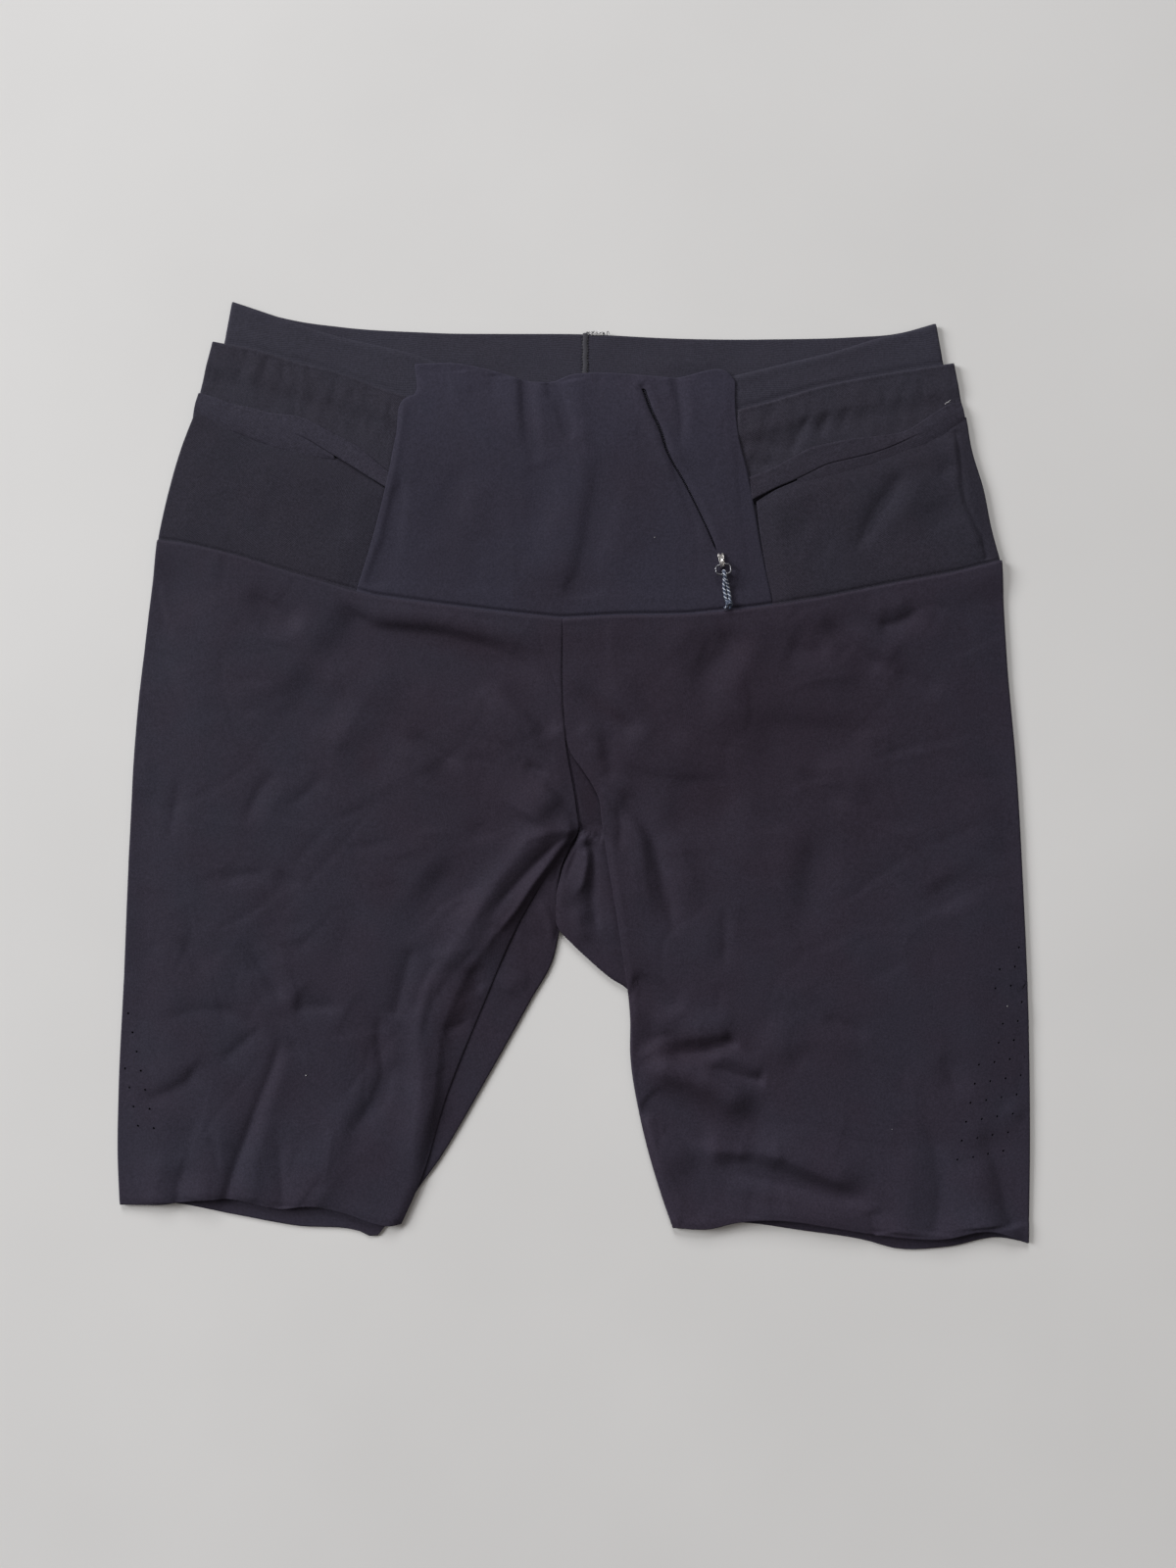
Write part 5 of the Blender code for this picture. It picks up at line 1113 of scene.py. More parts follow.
# --------------------------------------------------------------------- legs
def leg(name, side, top_pts, hem_pts, outer_pts, inner_pts, back_top, back_hem,
        back_inner, height, holes_front, holes_back, seam_end, roll_from,
        hem_lift, nodes, n_rows=222, n_front=148, n_back=40):
    """One leg: back panel, turned side edge and front panel in one shell.

    side is -1 for the left leg and +1 for the right.  seam_end is the height
    y where the centre seam ends, roll_from the height below which the inner
    edge is a turned edge that reaches down to the back.
    """
    rows = dense(n_rows, (0.0, 0.010, 4.0), (1.0, 0.02, 1.5))
    outer = curve(outer_pts)
    # the run is downwards: its right-hand side is -X
    edge_in = inset(outer, -BULGE if side < 0 else BULGE)
    inner_line = curve(inner_pts)
    probe = inner_line(rows)
    roll = smooth((roll_from - probe[:, 1]) / 14.0)
    seam = smooth((probe[:, 1] - seam_end) / 10.0)
    tuck_out = 0.15 + 0.95 * roll - 0.07 * seam
    tuck_down = 0.75 - 0.55 * seam + 2.10 * roll

    def tucked(t):
        return np.interp(t, rows, tuck_out) * side

    inner = inset(inner_line, lambda t: -tucked(t))
    across = dense(n_front, (0.0, 0.03, 0.6), (1.0, 0.05, 0.9))
    U, V = np.meshgrid(across, rows)
    if side < 0:
        front = coons(curve(top_pts), curve(hem_pts), edge_in, inner, U, V)
    else:
        front = coons(curve(top_pts[::-1]), curve(hem_pts[::-1]), edge_in, inner, U, V)
    back_u = dense(n_back, (0.0, 0.22, 2.4))          # 0 is the outer edge
    UB, VB = np.meshgrid(back_u, rows)
    back = coons(curve(back_top), curve(back_hem), edge_in, curve(back_inner), UB, VB)
    gone_f = np.zeros((len(rows) - 1, front.shape[1] - 1), bool)
    gone_b = np.zeros((len(rows) - 1, back.shape[1] - 1), bool)
    front, gone_f = pierce(front, holes_front, 0.62, gone_f, 3, front.shape[1] - 3,
                           60, len(rows) - 4)
    back, gone_b = pierce(back, holes_back, 0.62, gone_b, 3, back.shape[1] - 3,
                          60, len(rows) - 4)
    zf = height(front[..., 0], front[..., 1], U, V)
    floor_wave = 0.10 + 0.10 * noise(back[..., 0], back[..., 1], 30, 31)
    hem_rise = hem_lift(back[..., 0], V[:, :1]) if hem_lift else 0.0
    zb = np.maximum(0.0, floor_wave * smooth((UB) / 0.08)) + hem_rise
    F = np.concatenate([front, zf[..., None]], 2)
    B = np.concatenate([back, zb[..., None]], 2)
    outward = outward_of(outer, rows, side)
    turn = fold_columns(front[:, 0], outward, zf[:, 0], zb[:, 0], 9)
    inner_out = outward_of(inner_line, rows, -side)
    tuck_down = np.minimum(tuck_down, zf[:, -1] - 0.75)
    tuck = []
    for k in range(1, 5):
        w = radians(22.5 * k)
        xy = front[:, -1] + inner_out * (tuck_out * sin(w))[:, None]
        z = zf[:, -1] - tuck_down * (1 - cos(w))
        tuck.append(np.concatenate([xy, z[:, None]], 1))
    tuck = np.stack(tuck, 1)
    P = np.concatenate([B[:, ::-1], turn[:, ::-1], F, tuck], 1)
    gone = np.concatenate([
        gone_b[:, ::-1], np.zeros((len(rows) - 1, turn.shape[1] + 1), bool),
        gone_f, np.zeros((len(rows) - 1, 4), bool)], 1)
    thick = np.full(P.shape[:2], 0.62)
    corner = np.zeros(P.shape[:2], bool)
    for dr in (0, 1):
        for dc in (0, 1):
            corner[dr:dr + gone.shape[0], dc:dc + gone.shape[1]] |= gone
    obj = shell(name, P, thick, side < 0, LEG, 0.04, gone, P[corner])
    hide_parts(*nodes)

    def surface(x, y):
        d = (front[..., 0] - x) ** 2 + (front[..., 1] - y) ** 2
        r, c = np.unravel_index(np.argmin(d), d.shape)
        return float(zf[r, c])
    return obj, surface


# a lattice of pin holes near each hem, at the side edge
def lattice(origin, step_r, step_c, cells):
    return [(origin[0] + r * step_r[0] + c * step_c[0],
             origin[1] + r * step_r[1] + c * step_c[1]) for r, c in cells]


HOLES_R = lattice((220.8, -193.1), (2.17, 9.75), (-8.03, -1.31),
                  [(r, c) for r in range(6) for c in range(0, 4)]
                  + [(6, 1), (6, 2), (7, 1), (7, 2), (8, 1), (9, 1), (9, 2), (9, 3),
                     (10, 2), (10, 3), (11, 2)])
HOLES_L = lattice((-223.5, -179.8), (-2.27, 9.75), (8.33, -1.01),
                  [(r, 0) for r in range(4)] + [(r, 1) for r in range(7)])
# the same bands go on round the side edge
HOLES_R_BACK = lattice((222.0, -189.0), (1.2, 9.8), (-8.1, 0.6),
                       [(r, c) for r in range(7) for c in range(4)])
HOLES_L_BACK = lattice((-223.0, -176.0), (-1.2, 9.8), (8.1, 0.6),
                       [(r, c) for r in range(7) for c in range(4)])


def soft_floor(z, low, reach=0.5):
    """Keeps z above low, rounding the corner over reach."""
    d = z - low
    return low + np.where(d > reach, d, reach * np.exp(np.minimum(d - reach, 0.0) / reach))


def cloth_ripple(X, Y, seed, amount):
    """Uneven hand of lying cloth: slow swells down to small puckers."""
    return amount * (0.62 * noise(X, Y, 58, seed, 25, 1.6)
                     + 0.16 * noise(X, Y, 24, seed + 1, -30, 1.8)
                     + 0.035 * noise(X, Y, 9, seed + 2, 10, 1.6)
                     + 0.012 * noise(X, Y, 4.5, seed + 3))


def crumple(X, Y, seed, turn):
    """Fine pinched lines of a cloth that was folded away before it was laid."""
    a = noise(X, Y, 36, seed, turn, 2.0)
    b = noise(X, Y, 21, seed + 1, turn + 55, 2.2)
    here = smooth(0.5 + 1.1 * noise(X, Y, 44, seed + 2))
    there = smooth(0.35 + 1.1 * noise(X, Y, 33, seed + 3))
    return (-0.34 * here * np.exp(-np.abs(a) / 0.045) - 0.24 * there * np.exp(-np.abs(b) / 0.07)
            + 0.22 * (1 - here) * np.exp(-np.abs(a - 0.25) / 0.06))


def lean_left(x, y):
    """Direction of the small wrinkles: out from the crotch, down at the hem."""
    away = np.degrees(np.arctan2(y + 20.0, x - 0.0))
    low = float(smooth((-110.0 - y) / 60.0))
    return away * (1 - low) + (-100.0) * low


def lean_right(x, y):
    away = np.degrees(np.arctan2(y + 20.0, x - 8.0))
    low = float(smooth((-110.0 - y) / 60.0))
    return away * (1 - low) + (-78.0) * low


SMALL_LEFT = creases(95, (-225.0, -225.0, -5.0, 105.0), 61, lean_left)
SMALL_RIGHT = creases(95, (5.0, -230.0, 225.0, 105.0), 62, lean_right)
SMALL_CENTRE = creases(34, (-95.0, 90.0, 95.0, 195.0), 63, lambda x, y: 95.0 - 0.12 * x,
                       18.0, (12.0, 34.0), (0.08, 0.22))


PULLED = (-0.66, 0.75)      # the way the cloth was drawn flat


def eased(rows, fine=1.10, broad=1.45):
    """Rows set for how narrow they are and how they lie to the pull.

    The flank that the pull draws out is the longer one, and a fold across
    the pull is drawn flatter than one along it.
    """
    out = []
    for path, a, b, h, f0, f1 in rows:
        w = min(a, b)
        k = fine + (broad - fine) * float(smooth((w - 2.5) / 6.5))
        dx, dy = path[-1][0] - path[0][0], path[-1][1] - path[0][1]
        far = max(np.hypot(dx, dy), 1e-6)
        turn = (-dy * PULLED[0] + dx * PULLED[1]) / far
        k *= float(np.clip(0.62 / max(abs(turn), 0.2), 1.0, 1.9))
        if h > 0:
            k *= 0.80
        stretch = 1.75 if h < 0 else 1.35
        if (turn > 0) == (h < 0):
            b = b * stretch
        else:
            a = a * stretch
        out.append((path, a, b, h * k, f0, f1))
    return out


FOLDS_LEFT = eased(FOLDS_LEFT) + ROLLS_LEFT + SMALL_LEFT
FOLDS_RIGHT = eased(FOLDS_RIGHT) + SMALL_RIGHT
FOLDS_CENTRE = eased(FOLDS_CENTRE, 0.95, 1.2) + SMALL_CENTRE


def crotch(X, Y):
    """1 where the two legs and the gussets bunch up, easing out to 0."""
    return np.exp(-((X - 4.0) / 30.0) ** 2 - ((Y + 40.0) / 44.0) ** 2)


def leg_height_left(X, Y, U, V):
    depth = V * 345.0
    lap = 1.0 - smooth((depth - 5.0) / 17.0)
    air = 1.6 * smooth(U / 0.16) * (0.6 + 0.4 * smooth((1.0 - U) / 0.25))
    z = 2.3 + air * (1.0 - 0.7 * lap) + 1.75 * lap
    calm = 1.0 - 0.93 * (1.0 - smooth(depth / 7.0))
    z = z - 0.50 * (1.0 - smooth(depth / 1.3)) + 0.05 * np.exp(-((depth - 2.2) / 1.2) ** 2)
    z = z + folds(X, Y, FOLDS_LEFT) * calm
    z = z + (cloth_ripple(X, Y, 11, 1.0) + crumple(X, Y, 811, 50.0)) * smooth(U / 0.05) * calm
    z = z + 1.3 * crotch(X, Y)
    # inner edge: a seam down to the crotch, then a roll that dips to its edge
    above = smooth((Y + 31.0) / 7.0)
    from_edge = distance_to(LEG_L_INNER, X, Y)
    z = z - above * 0.14 * np.exp(-(from_edge / 0.8) ** 2)
    beside = above * (1.0 - smooth((Y - 14.0) / 16.0)) * np.exp(-(from_edge / 4.5) ** 2)
    z = z * (1.0 - beside) + beside * np.minimum(z, 3.5)
    reach = np.interp(Y, (-230.0, -205.0, -165.0, -125.0, -100.0, -80.0, -60.0, -30.0),
                      (5.0, 6.0, 8.0, 11.0, 11.0, 8.0, 6.5, 4.5))
    rolled = (1.0 - above) * (1.0 - np.minimum(from_edge / reach, 1.0)) ** 2
    z = z - rolled * np.maximum(z - 2.15, 0.0)
    # hem: a wavy open mouth
    hem = smooth((V - 0.955) / 0.045)
    z = z + hem * (0.55 + 0.65 * noise(X, Y * 0.2, 26, 77)) * smooth(U / 0.06) * smooth((1 - U) / 0.05)
    z = z - 0.30 * smooth((V - 0.988) / 0.012)
    return soft_floor(z, 1.75)


def leg_height_right(X, Y, U, V):
    depth = V * 345.0
    lap = 1.0 - smooth((depth - 5.0) / 17.0)
    air = 1.6 * smooth(U / 0.16) * (0.6 + 0.4 * smooth((1.0 - U) / 0.25))
    z = 2.3 + air * (1.0 - 0.7 * lap) + 1.75 * lap
    calm = 1.0 - 0.93 * (1.0 - smooth(depth / 7.0))
    z = z - 0.50 * (1.0 - smooth(depth / 1.3)) + 0.05 * np.exp(-((depth - 2.2) / 1.2) ** 2)
    z = z + folds(X, Y, FOLDS_RIGHT) * calm
    z = z + (cloth_ripple(X, Y, 51, 1.0) + crumple(X, Y, 831, -60.0)) * smooth(U / 0.05) * calm
    z = z + 1.0 * crotch(X, Y)
    above = smooth((Y - 12.0) / 7.0)
    from_edge = distance_to(INNER_R, X, Y)
    z = z - above * 0.14 * np.exp(-(from_edge / 0.8) ** 2)
    lap_in = (1.0 - above) * (1.0 - smooth(from_edge / 4.0))
    cap = 2.62 + (0.60 + 0.85 * smooth((Y + 34.0) / 8.0)) * crotch(X, Y)
    z = z * (1.0 - lap_in) + lap_in * np.minimum(z, cap)
    hem = smooth((V - 0.955) / 0.045)
    z = z + hem * (0.75 + 0.75 * noise(X, Y * 0.2, 26, 91)) * smooth(U / 0.06) * smooth((1 - U) / 0.05)
    z = z - 0.30 * smooth((V - 0.988) / 0.012)
    return soft_floor(z, 1.75)


INNER_R = (LEG_R_INNER[:2] + [(-4.5, 18.7), (-1.4, 11.2), (4.6, 2.6), (9.6, -5.2), (12.9, -12.4),
                              (14.1, -22.0), (15.9, -34.8)] + LEG_R_INNER[7:])

HEM_R = LEG_R_HEM[:2] + [(82.6, -229.6), (109.8, -228.6), (127.0, -231.0), (153.3, -235.4)] + LEG_R_HEM[6:]

leg_left, leg_left_z = leg(
    "leg_left", -1, LEG_L_TOP, LEG_L_HEM, LEG_L_OUTER, LEG_L_INNER,
    BACK_WAIST[:2] + [(2.2, 107.2)], BACK_L_HEM,
    [(2.2, 107.2), (-2.9, -28.8), (-8.6, -76.0)]
    + [(x - 3.8, y + 0.5) for x, y in NOTCH_L[1:]],
    leg_height_left, HOLES_L, HOLES_L_BACK, -26.0, -400.0, None,
    ("leg_front_left", "leg_back_left"))
leg_right, leg_right_z = leg(
    "leg_right", 1, LEG_R_TOP, HEM_R, LEG_R_OUTER, INNER_R,
    [BACK_WAIST[4], BACK_WAIST[3], (2.4, 107.2)], BACK_R_HEM[::-1],
    [(2.4, 107.2), (-2.7, -28.8), (-6.6, -76.0)]
    + [(x + 3.8, y + 0.5) for x, y in NOTCH_R[1:]],
    leg_height_right, HOLES_R, HOLES_R_BACK, 13.0, -112.0, None,
    ("leg_front_right", "leg_back_right"))


# ------------------------------------------------------------------ gussets
def gusset(name, side, silhouette, lap, height, seam_until, table, nodes,
           n_rows=150, n_cols=34):
    """Inner panel: from under the leg front, round the inner edge to the back.

    side -1 runs left to right (left gusset), +1 right to left.
    """
    rows = dense(n_rows, (0.0, 0.10, 1.0))
    line, under = curve(silhouette), curve(lap)
    at = line(rows)
    turned_under = smooth((seam_until - at[:, 1]) / 10.0)
    bulge = 0.12 + 0.95 * turned_under
    out = outward_of(line, rows, 1.0 if side < 0 else -1.0)
    edge = at - out * bulge[:, None]
    a = under(rows)
    t = dense(n_cols, (1.0, 0.12, 1.4), (0.0, 0.08, 0.5))
    XY = a[:, None] * (1 - t[None, :, None]) + edge[:, None] * t[None, :, None]
    T = np.broadcast_to(t[None, :], XY.shape[:2])
    z = height(XY[..., 0], XY[..., 1], T, np.broadcast_to(rows[:, None], XY.shape[:2]))
    z = z + folds(XY[..., 0], XY[..., 1], table) * smooth(T / 0.12) * 1.7
    seam_dip = (1.0 - turned_under)[:, None] * np.exp(-((1 - T) * 14.0) ** 2) * 0.6
    z = soft_floor(z - seam_dip, 1.15, 0.4)
    low = 0.95 - 0.93 * turned_under
    top = np.concatenate([XY, z[..., None]], 2)
    columns = []
    for k in range(1, 9):
        w = pi * k / 8
        xy = edge + out * (bulge * sin(w))[:, None]
        zz = (z[:, -1] + low) / 2 + (z[:, -1] - low) / 2 * cos(w)
        columns.append(np.concatenate([xy, zz[:, None]], 1))
    for k in range(1, 4):
        xy = edge - out * (2.3 * k / 3)
        columns.append(np.concatenate([xy, low[:, None]], 1))
    P = np.concatenate([top, np.stack(columns, 1)], 1)
    obj = shell(name, P, 0.55, side < 0, LEG, 0.15)
    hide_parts(*nodes)
    return obj


def gusset_l_height(X, Y, T, V):
    near = crotch(X, Y)
    z = 1.85 + (0.05 + 1.75 * near) * smooth(T / 0.40) - 0.75 * T
    z = z + (0.9 * smooth((Y + 58.0) / 16.0) + 0.8 * smooth((Y + 38.0) / 8.0)) * (1 - T)
    z = z - 0.25 * smooth((T - 0.93) / 0.07)
    return z + cloth_ripple(X, Y, 131, 0.45) * smooth(T / 0.2)


def gusset_r_height(X, Y, T, V):
    near = crotch(X, Y)
    recess = smooth((Y + 31.0) / 5.0)
    low = 2.05 + 0.30 * smooth(T / 0.4) + 0.75 * near * smooth(T / 0.5)
    low = low - 0.25 * smooth((T - 0.93) / 0.07) - 1.1 * smooth((-106.0 - Y) / 8.0)
    high = 1.15 + 1.75 * np.clip((T - 0.30) / 0.70, 0.0, 1.0)
    z = low * (1.0 - recess) + high * recess
    return z + cloth_ripple(X, Y, 151, 0.35) * smooth(T / 0.2) * (1.0 - 0.7 * recess)


gusset_left = gusset(
    "gusset_left_cloth", -1,
    [(2.1, -28.8), (-6.5, -49.0), (-7.5, -80.3)] + NOTCH_L[1:],
    [(-2.8, -30.5)] + [(x - 5.0, y) for x, y in LEG_L_INNER[5:-1]] + [(-92.0, -229.0)],
    gusset_l_height, -76.0, FOLDS_GUSSET_L, ("gusset_left",))
gusset_right = gusset(
    "gusset_right_cloth", 1,
    [(-5.0, 23.0), (-3.7, 13.0), (-1.4, 0.0), (1.4, -17.2), (2.4, -28.8), (-6.1, -49.0), (-7.1, -80.3)]
    + NOTCH_R[1:4] + [(26.0, -108.8), (31.2, -115.0), (31.8, -126.0), (31.8, -143.4),
                      (36.9, -176.2), (48.0, -216.6), (53.4, -231.4)],
    [(2.6, 22.5), (5.6, 12.5), (12.0, 2.5), (18.6, -9.5), (21.0, -34.8), (29.5, -88.9), (35.4, -125.7),
     (35.6, -143.4), (40.7, -176.2), (51.8, -216.6), (57.4, -231.4)],
    gusset_r_height, -76.0, FOLDS_GUSSET_R, ("gusset_right",))


# ---------------------------------------------------------------- waistband
def turn_between(front, back, outward, n, bulge):
    """Columns from a front edge round to a back edge (both rows of points)."""
    columns = []
    for k in range(1, n):
        w = pi * k / n
        share = k / n
        xy = front[:, :2] * (1 - share) + back[:, :2] * share + outward * bulge * sin(w)
        z = (front[:, 2] + back[:, 2]) / 2 + (front[:, 2] - back[:, 2]) / 2 * cos(w)
        columns.append(np.concatenate([xy, z[:, None]], 1))
    return np.stack(columns, 1)


def between(top, low, t, v):
    a, b = top(t), low(t)
    return a[None] * (1 - v[:, None, None]) + b[None] * v[:, None, None]


v = dense(26, (0.0, 0.08, 0.8))
back_top, back_low = curve(BAND_BACK_TOP), curve(BAND_BACK_LOW)
front_top, front_low = curve(BAND_FRONT_TOP), curve(BAND_FRONT_LOW)
probe = np.linspace(0, 1, 2001)
cb = float(np.interp(5.9, back_top(probe)[:, 0], probe))


def band_back(t):
    XY = between(back_top, back_low, t, v)
    x, y = XY[..., 0], XY[..., 1]
    z = 0.10 + 0.10 * noise(x, y, 24, 201) + 0.10
    bare = smooth((190.0 - np.abs(x - 5.0)) / 50.0) * smooth((y - 205.0) / 8.0)
    wave = 0.30 + 0.45 * noise(x, y * 0.3, 34, 203) + 0.20 * noise(x, y, 15, 205)
    z = np.maximum(0.0, z + bare * wave * 0.8)
    return np.concatenate([XY, z[..., None]], 2)


def band_front(t):
    XY = between(front_top, front_low, t, v)
    x, y = XY[..., 0], XY[..., 1]
    V = np.broadcast_to(v[:, None], x.shape)
    z = 2.45 + 0.22 * noise(x, y * 0.4, 28, 211) + 0.06 * noise(x, y, 9, 213)
    z = z + 0.16 * np.exp(-((V - 0.11) / 0.08) ** 2) - 0.38 * smooth((0.045 - V) / 0.045)
    for line in (BELT_L_TOP, BELT_R_TOP):
        z = z - 0.40 * np.exp(-((distance_to(moved_points(line, 0.0, 0.9), x, y)) / 1.3) ** 2)
    # the part under the centre pocket lies low
    hidden = smooth((84.0 - np.abs(x - 1.0)) / 8.0)
    return np.concatenate([XY, (z - 0.25 * hidden)[..., None]], 2)


back_l = band_back(np.linspace(cb - 0.0004, 0.0, 66))
back_r = band_back(np.linspace(1.0, cb + 0.0004, 66))
front = band_front(dense(132, (0.0, 0.03, 0.8), (1.0, 0.03, 0.8)))
out_l = np.broadcast_to(np.array((-0.97, 0.22)), (len(v), 2))
out_r = np.broadcast_to(np.array((0.98, 0.18)), (len(v), 2))
bend_l = turn_between(front[:, 0], back_l[:, -1], out_l, 9, 1.2)[:, ::-1]
bend_r = turn_between(front[:, -1], back_r[:, 0], out_r, 9, 1.2)
P = np.concatenate([back_l, bend_l, front, bend_r, back_r], 1)
waistband = shell("waistband", P, 0.85, True, BAND, 0.28)
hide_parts("waistband_front", "waistband_back_left", "waistband_back_right")

# centre-back seam: a covered ridge inside the back waistband, with its stitches
pile = Pile()
ys = np.linspace(227.4, 195.0, 40)
ridge = [(5.9 + 0.15 * sin(y * 0.9), y, 1.55 + 0.10 * noise(np.array([y]), np.array([3.0]), 4, 5)[0])
         for y in ys]
verts, faces = swept(ridge, 1.30, 12)
verts = [(x, y, 1.25 + (z - 1.55) * 0.32) for x, y, z in verts]
pile.add(verts, faces)
for side_x in (-1.45, 1.35):
    for k in range(19):
        y = 226.0 - 1.55 * k
        path = [(5.9 + side_x - 0.32, y, 1.25), (5.9 + side_x - 0.1, y - 0.25, 1.52),
                (5.9 + side_x + 0.12, y - 0.55, 1.52), (5.9 + side_x + 0.32, y - 0.8, 1.25)]
        pile.add(*swept(path, 0.11, 6))
centre_back = pile.make("centre_back_seam", SEAM, "elastic_band")


# --------------------------------------------------------------------- belt
FOLDS_BELT = [r if r[3] in (-0.95, -1.15, -1.6, -1.3) else (*r[:3], r[3] * 0.40, *r[4:])
              for r in FOLDS_BELT]


def belt_front_height(X, Y, run, seed):
    down = smooth((run - 11.0) / 7.5)
    z = 3.05 + (2.05 - 3.05) * down
    z = z + folds(X, Y, FOLDS_BELT) * (1.0 - 0.35 * down)
    fine = 0.17 * noise(X, Y * 0.35, 2.6, seed) + 0.14 * noise(X, Y * 0.4, 6.0, seed + 1)
    tier = 1.0 - smooth((run - 26.0) / 12.0)
    z = z + fine * tier + 0.06 * noise(X, Y, 12, seed + 2)
    z = z + 0.20 * np.exp(-((run - 0.9) / 0.8) ** 2) - 0.42 * smooth((0.9 - run) / 0.9)
    return soft_floor(z, 1.15, 0.3)


def edge_in(points, amount):
    return inset(curve(points), amount)


rows = dense(70, (0.0, 0.12, 1.6))
RUN = rows[:, None] * 100.0
belt_lo = curve(BELT_L_OUTER)
u = dense(74, (0.0, 0.05, 0.8))
U, V = np.meshgrid(u, rows)
top = curve(BELT_L_TOP)
inner = curve([(-86.3, 194.4), (-84.9, 192.6), (-89.6, 174.2), (-94.6, 149.7), (-101.6, 121.7),
               (-110.4, 92.0)])
hem = curve([(-214.5, 115.9)] + moved_points(LEG_L_TOP[1:4], 0.0, -6.0) + [(-110.4, 91.0)])
XY = coons(top, hem, inset(belt_lo, -BULGE), inner, U, V)
z = belt_front_height(XY[..., 0], XY[..., 1], np.broadcast_to(RUN, U.shape), 301)
z = z - 0.45 * smooth((U - 0.978) / 0.022)
FL = np.concatenate([XY, z[..., None]], 2)
u = dense(74, (0.0, 0.05, 0.8))
U, V = np.meshgrid(u, rows)
belt_ro = curve(BELT_R_OUTER)
top = curve(BELT_R_TOP[::-1])
inner = curve([(84.4, 187.6), (83.4, 174.2), (87.8, 155.0), (90.4, 140.9), (93.9, 120.2),
               (101.2, 82.0)])
hem = curve([(220.3, 105.5)] + moved_points(LEG_R_TOP[6:3:-1], 0.0, -6.0) + [(101.2, 81.0)])
XY = coons(top, hem, inset(belt_ro, BULGE), inner, U, V)
z = belt_front_height(XY[..., 0], XY[..., 1], np.broadcast_to(RUN, U.shape), 331)
z = z - 0.45 * smooth((U - 0.978) / 0.022)
FR = np.concatenate([XY, z[..., None]], 2)
u = dense(84, (0.0, 0.04, 1.0), (1.0, 0.04, 1.0))
U, V = np.meshgrid(u, rows)
XY = coons(curve(moved_points(BAND_BACK_LOW, 0.0, -0.3)), curve(moved_points(BACK_WAIST, 0.0, 0.3)),
           inset(belt_lo, -BULGE), inset(belt_ro, BULGE), U, V)
z = np.maximum(0.0, 0.10 + 0.12 * noise(XY[..., 0], XY[..., 1], 22, 341))
BK = np.concatenate([XY, z[..., None]], 2)
turn_l = turn_between(FL[:, 0], BK[:, 0], outward_of(belt_lo, rows, -1), 8, BULGE)
turn_r = turn_between(FR[:, 0], BK[:, -1], outward_of(belt_ro, rows, 1), 8, BULGE)
P = np.concatenate([FL[:, ::-1], turn_l, BK, turn_r[:, ::-1], FR], 1)
belt = shell("belt", P, 0.5, False, BELT, 0.22)
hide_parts("belt_front_left", "belt_front_right", "belt_back")


# ------------------------------------------------------------------ pockets
def turned(P, where, out, down, n=4):
    """Adds a quarter-round turned edge along one side of grid P."""
    edge, near = {"left": (P[:, 0], P[:, 1]), "right": (P[:, -1], P[:, -2]),
                  "top": (P[0], P[1]), "low": (P[-1], P[-2])}[where]
    along = edge[:, :2] - near[:, :2]
    along /= np.maximum(np.linalg.norm(along, axis=1, keepdims=True), 1e-9)
    out = np.broadcast_to(np.asarray(out, float), (len(edge),))
    down = np.broadcast_to(np.asarray(down, float), (len(edge),))
    lines = []
    for k in range(1, n + 1):
        w = radians(90.0 * k / n)
        xy = edge[:, :2] + along * (out * sin(w))[:, None]
        z = edge[:, 2] - down * (1 - cos(w))
        lines.append(np.concatenate([xy, z[:, None]], 1))
    if where == "left":
        return np.concatenate([np.stack(lines[::-1], 1), P], 1)
    if where == "right":
        return np.concatenate([P, np.stack(lines, 1)], 1)
    if where == "top":
        return np.concatenate([np.stack(lines[::-1], 0), P], 0)
    return np.concatenate([P, np.stack(lines, 0)], 0)


rows = dense(84, (0.0, 0.05, 0.6), (0.90, 0.05, 1.5))
u = dense(96, (0.0, 0.04, 0.8))
U, V = np.meshgrid(u, rows)
side_l = curve([(-193.9, 187.4), (-202.0, 166.0), (-207.5, 147.0), (-212.2, 126.8), (-214.3, 115.9)])
XY = coons(
    curve([(-193.7, 187.4), (-180.5, 180.8), (-162.9, 174.0), (-144.7, 167.9), (-135.1, 165.4),
           (-126.0, 164.1), (-120.7, 162.4), (-113.9, 158.4), (-105.3, 152.9), (-95.2, 146.4)]),
    curve([(-214.3, 115.9)] + moved_points(LEG_L_TOP[1:4], 0.0, -6.0) + [(-111.0, 91.6)]),
    inset(side_l, -0.8), curve([(-95.2, 146.4), (-101.6, 121.7), (-111.0, 91.6)]), U, V)
lift = smooth(U / 0.14) * smooth((1 - U) / 0.14) * smooth(V / 0.22) * smooth((1 - V) / 0.22)
z = (2.80 + 0.6 * lift + folds(XY[..., 0], XY[..., 1], FOLDS_POCKET_L)
     + 0.16 * noise(XY[..., 0], XY[..., 1], 26, 401) + 0.07 * noise(XY[..., 0], XY[..., 1], 9, 403)
     + 0.35 * np.exp(-(U / 0.10) ** 2) - 0.5 * np.exp(-((1 - U) / 0.014) ** 2))
by_leg = distance_to(moved_points(LEG_L_TOP, 0.0, 0.9), XY[..., 0], XY[..., 1])
z = soft_floor(z, 2.62, 0.15) - 0.32 * np.exp(-(by_leg / 0.8) ** 2) - 0.30 * (1.0 - smooth(V / 0.07))
P = np.concatenate([XY, z[..., None]], 2)
P = turned(P, "left", 1.15, 1.9, 5)
pocket_left = shell("pocket_left_cloth", P, 0.45, True, MESH, 0.2)
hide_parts("pocket_left")

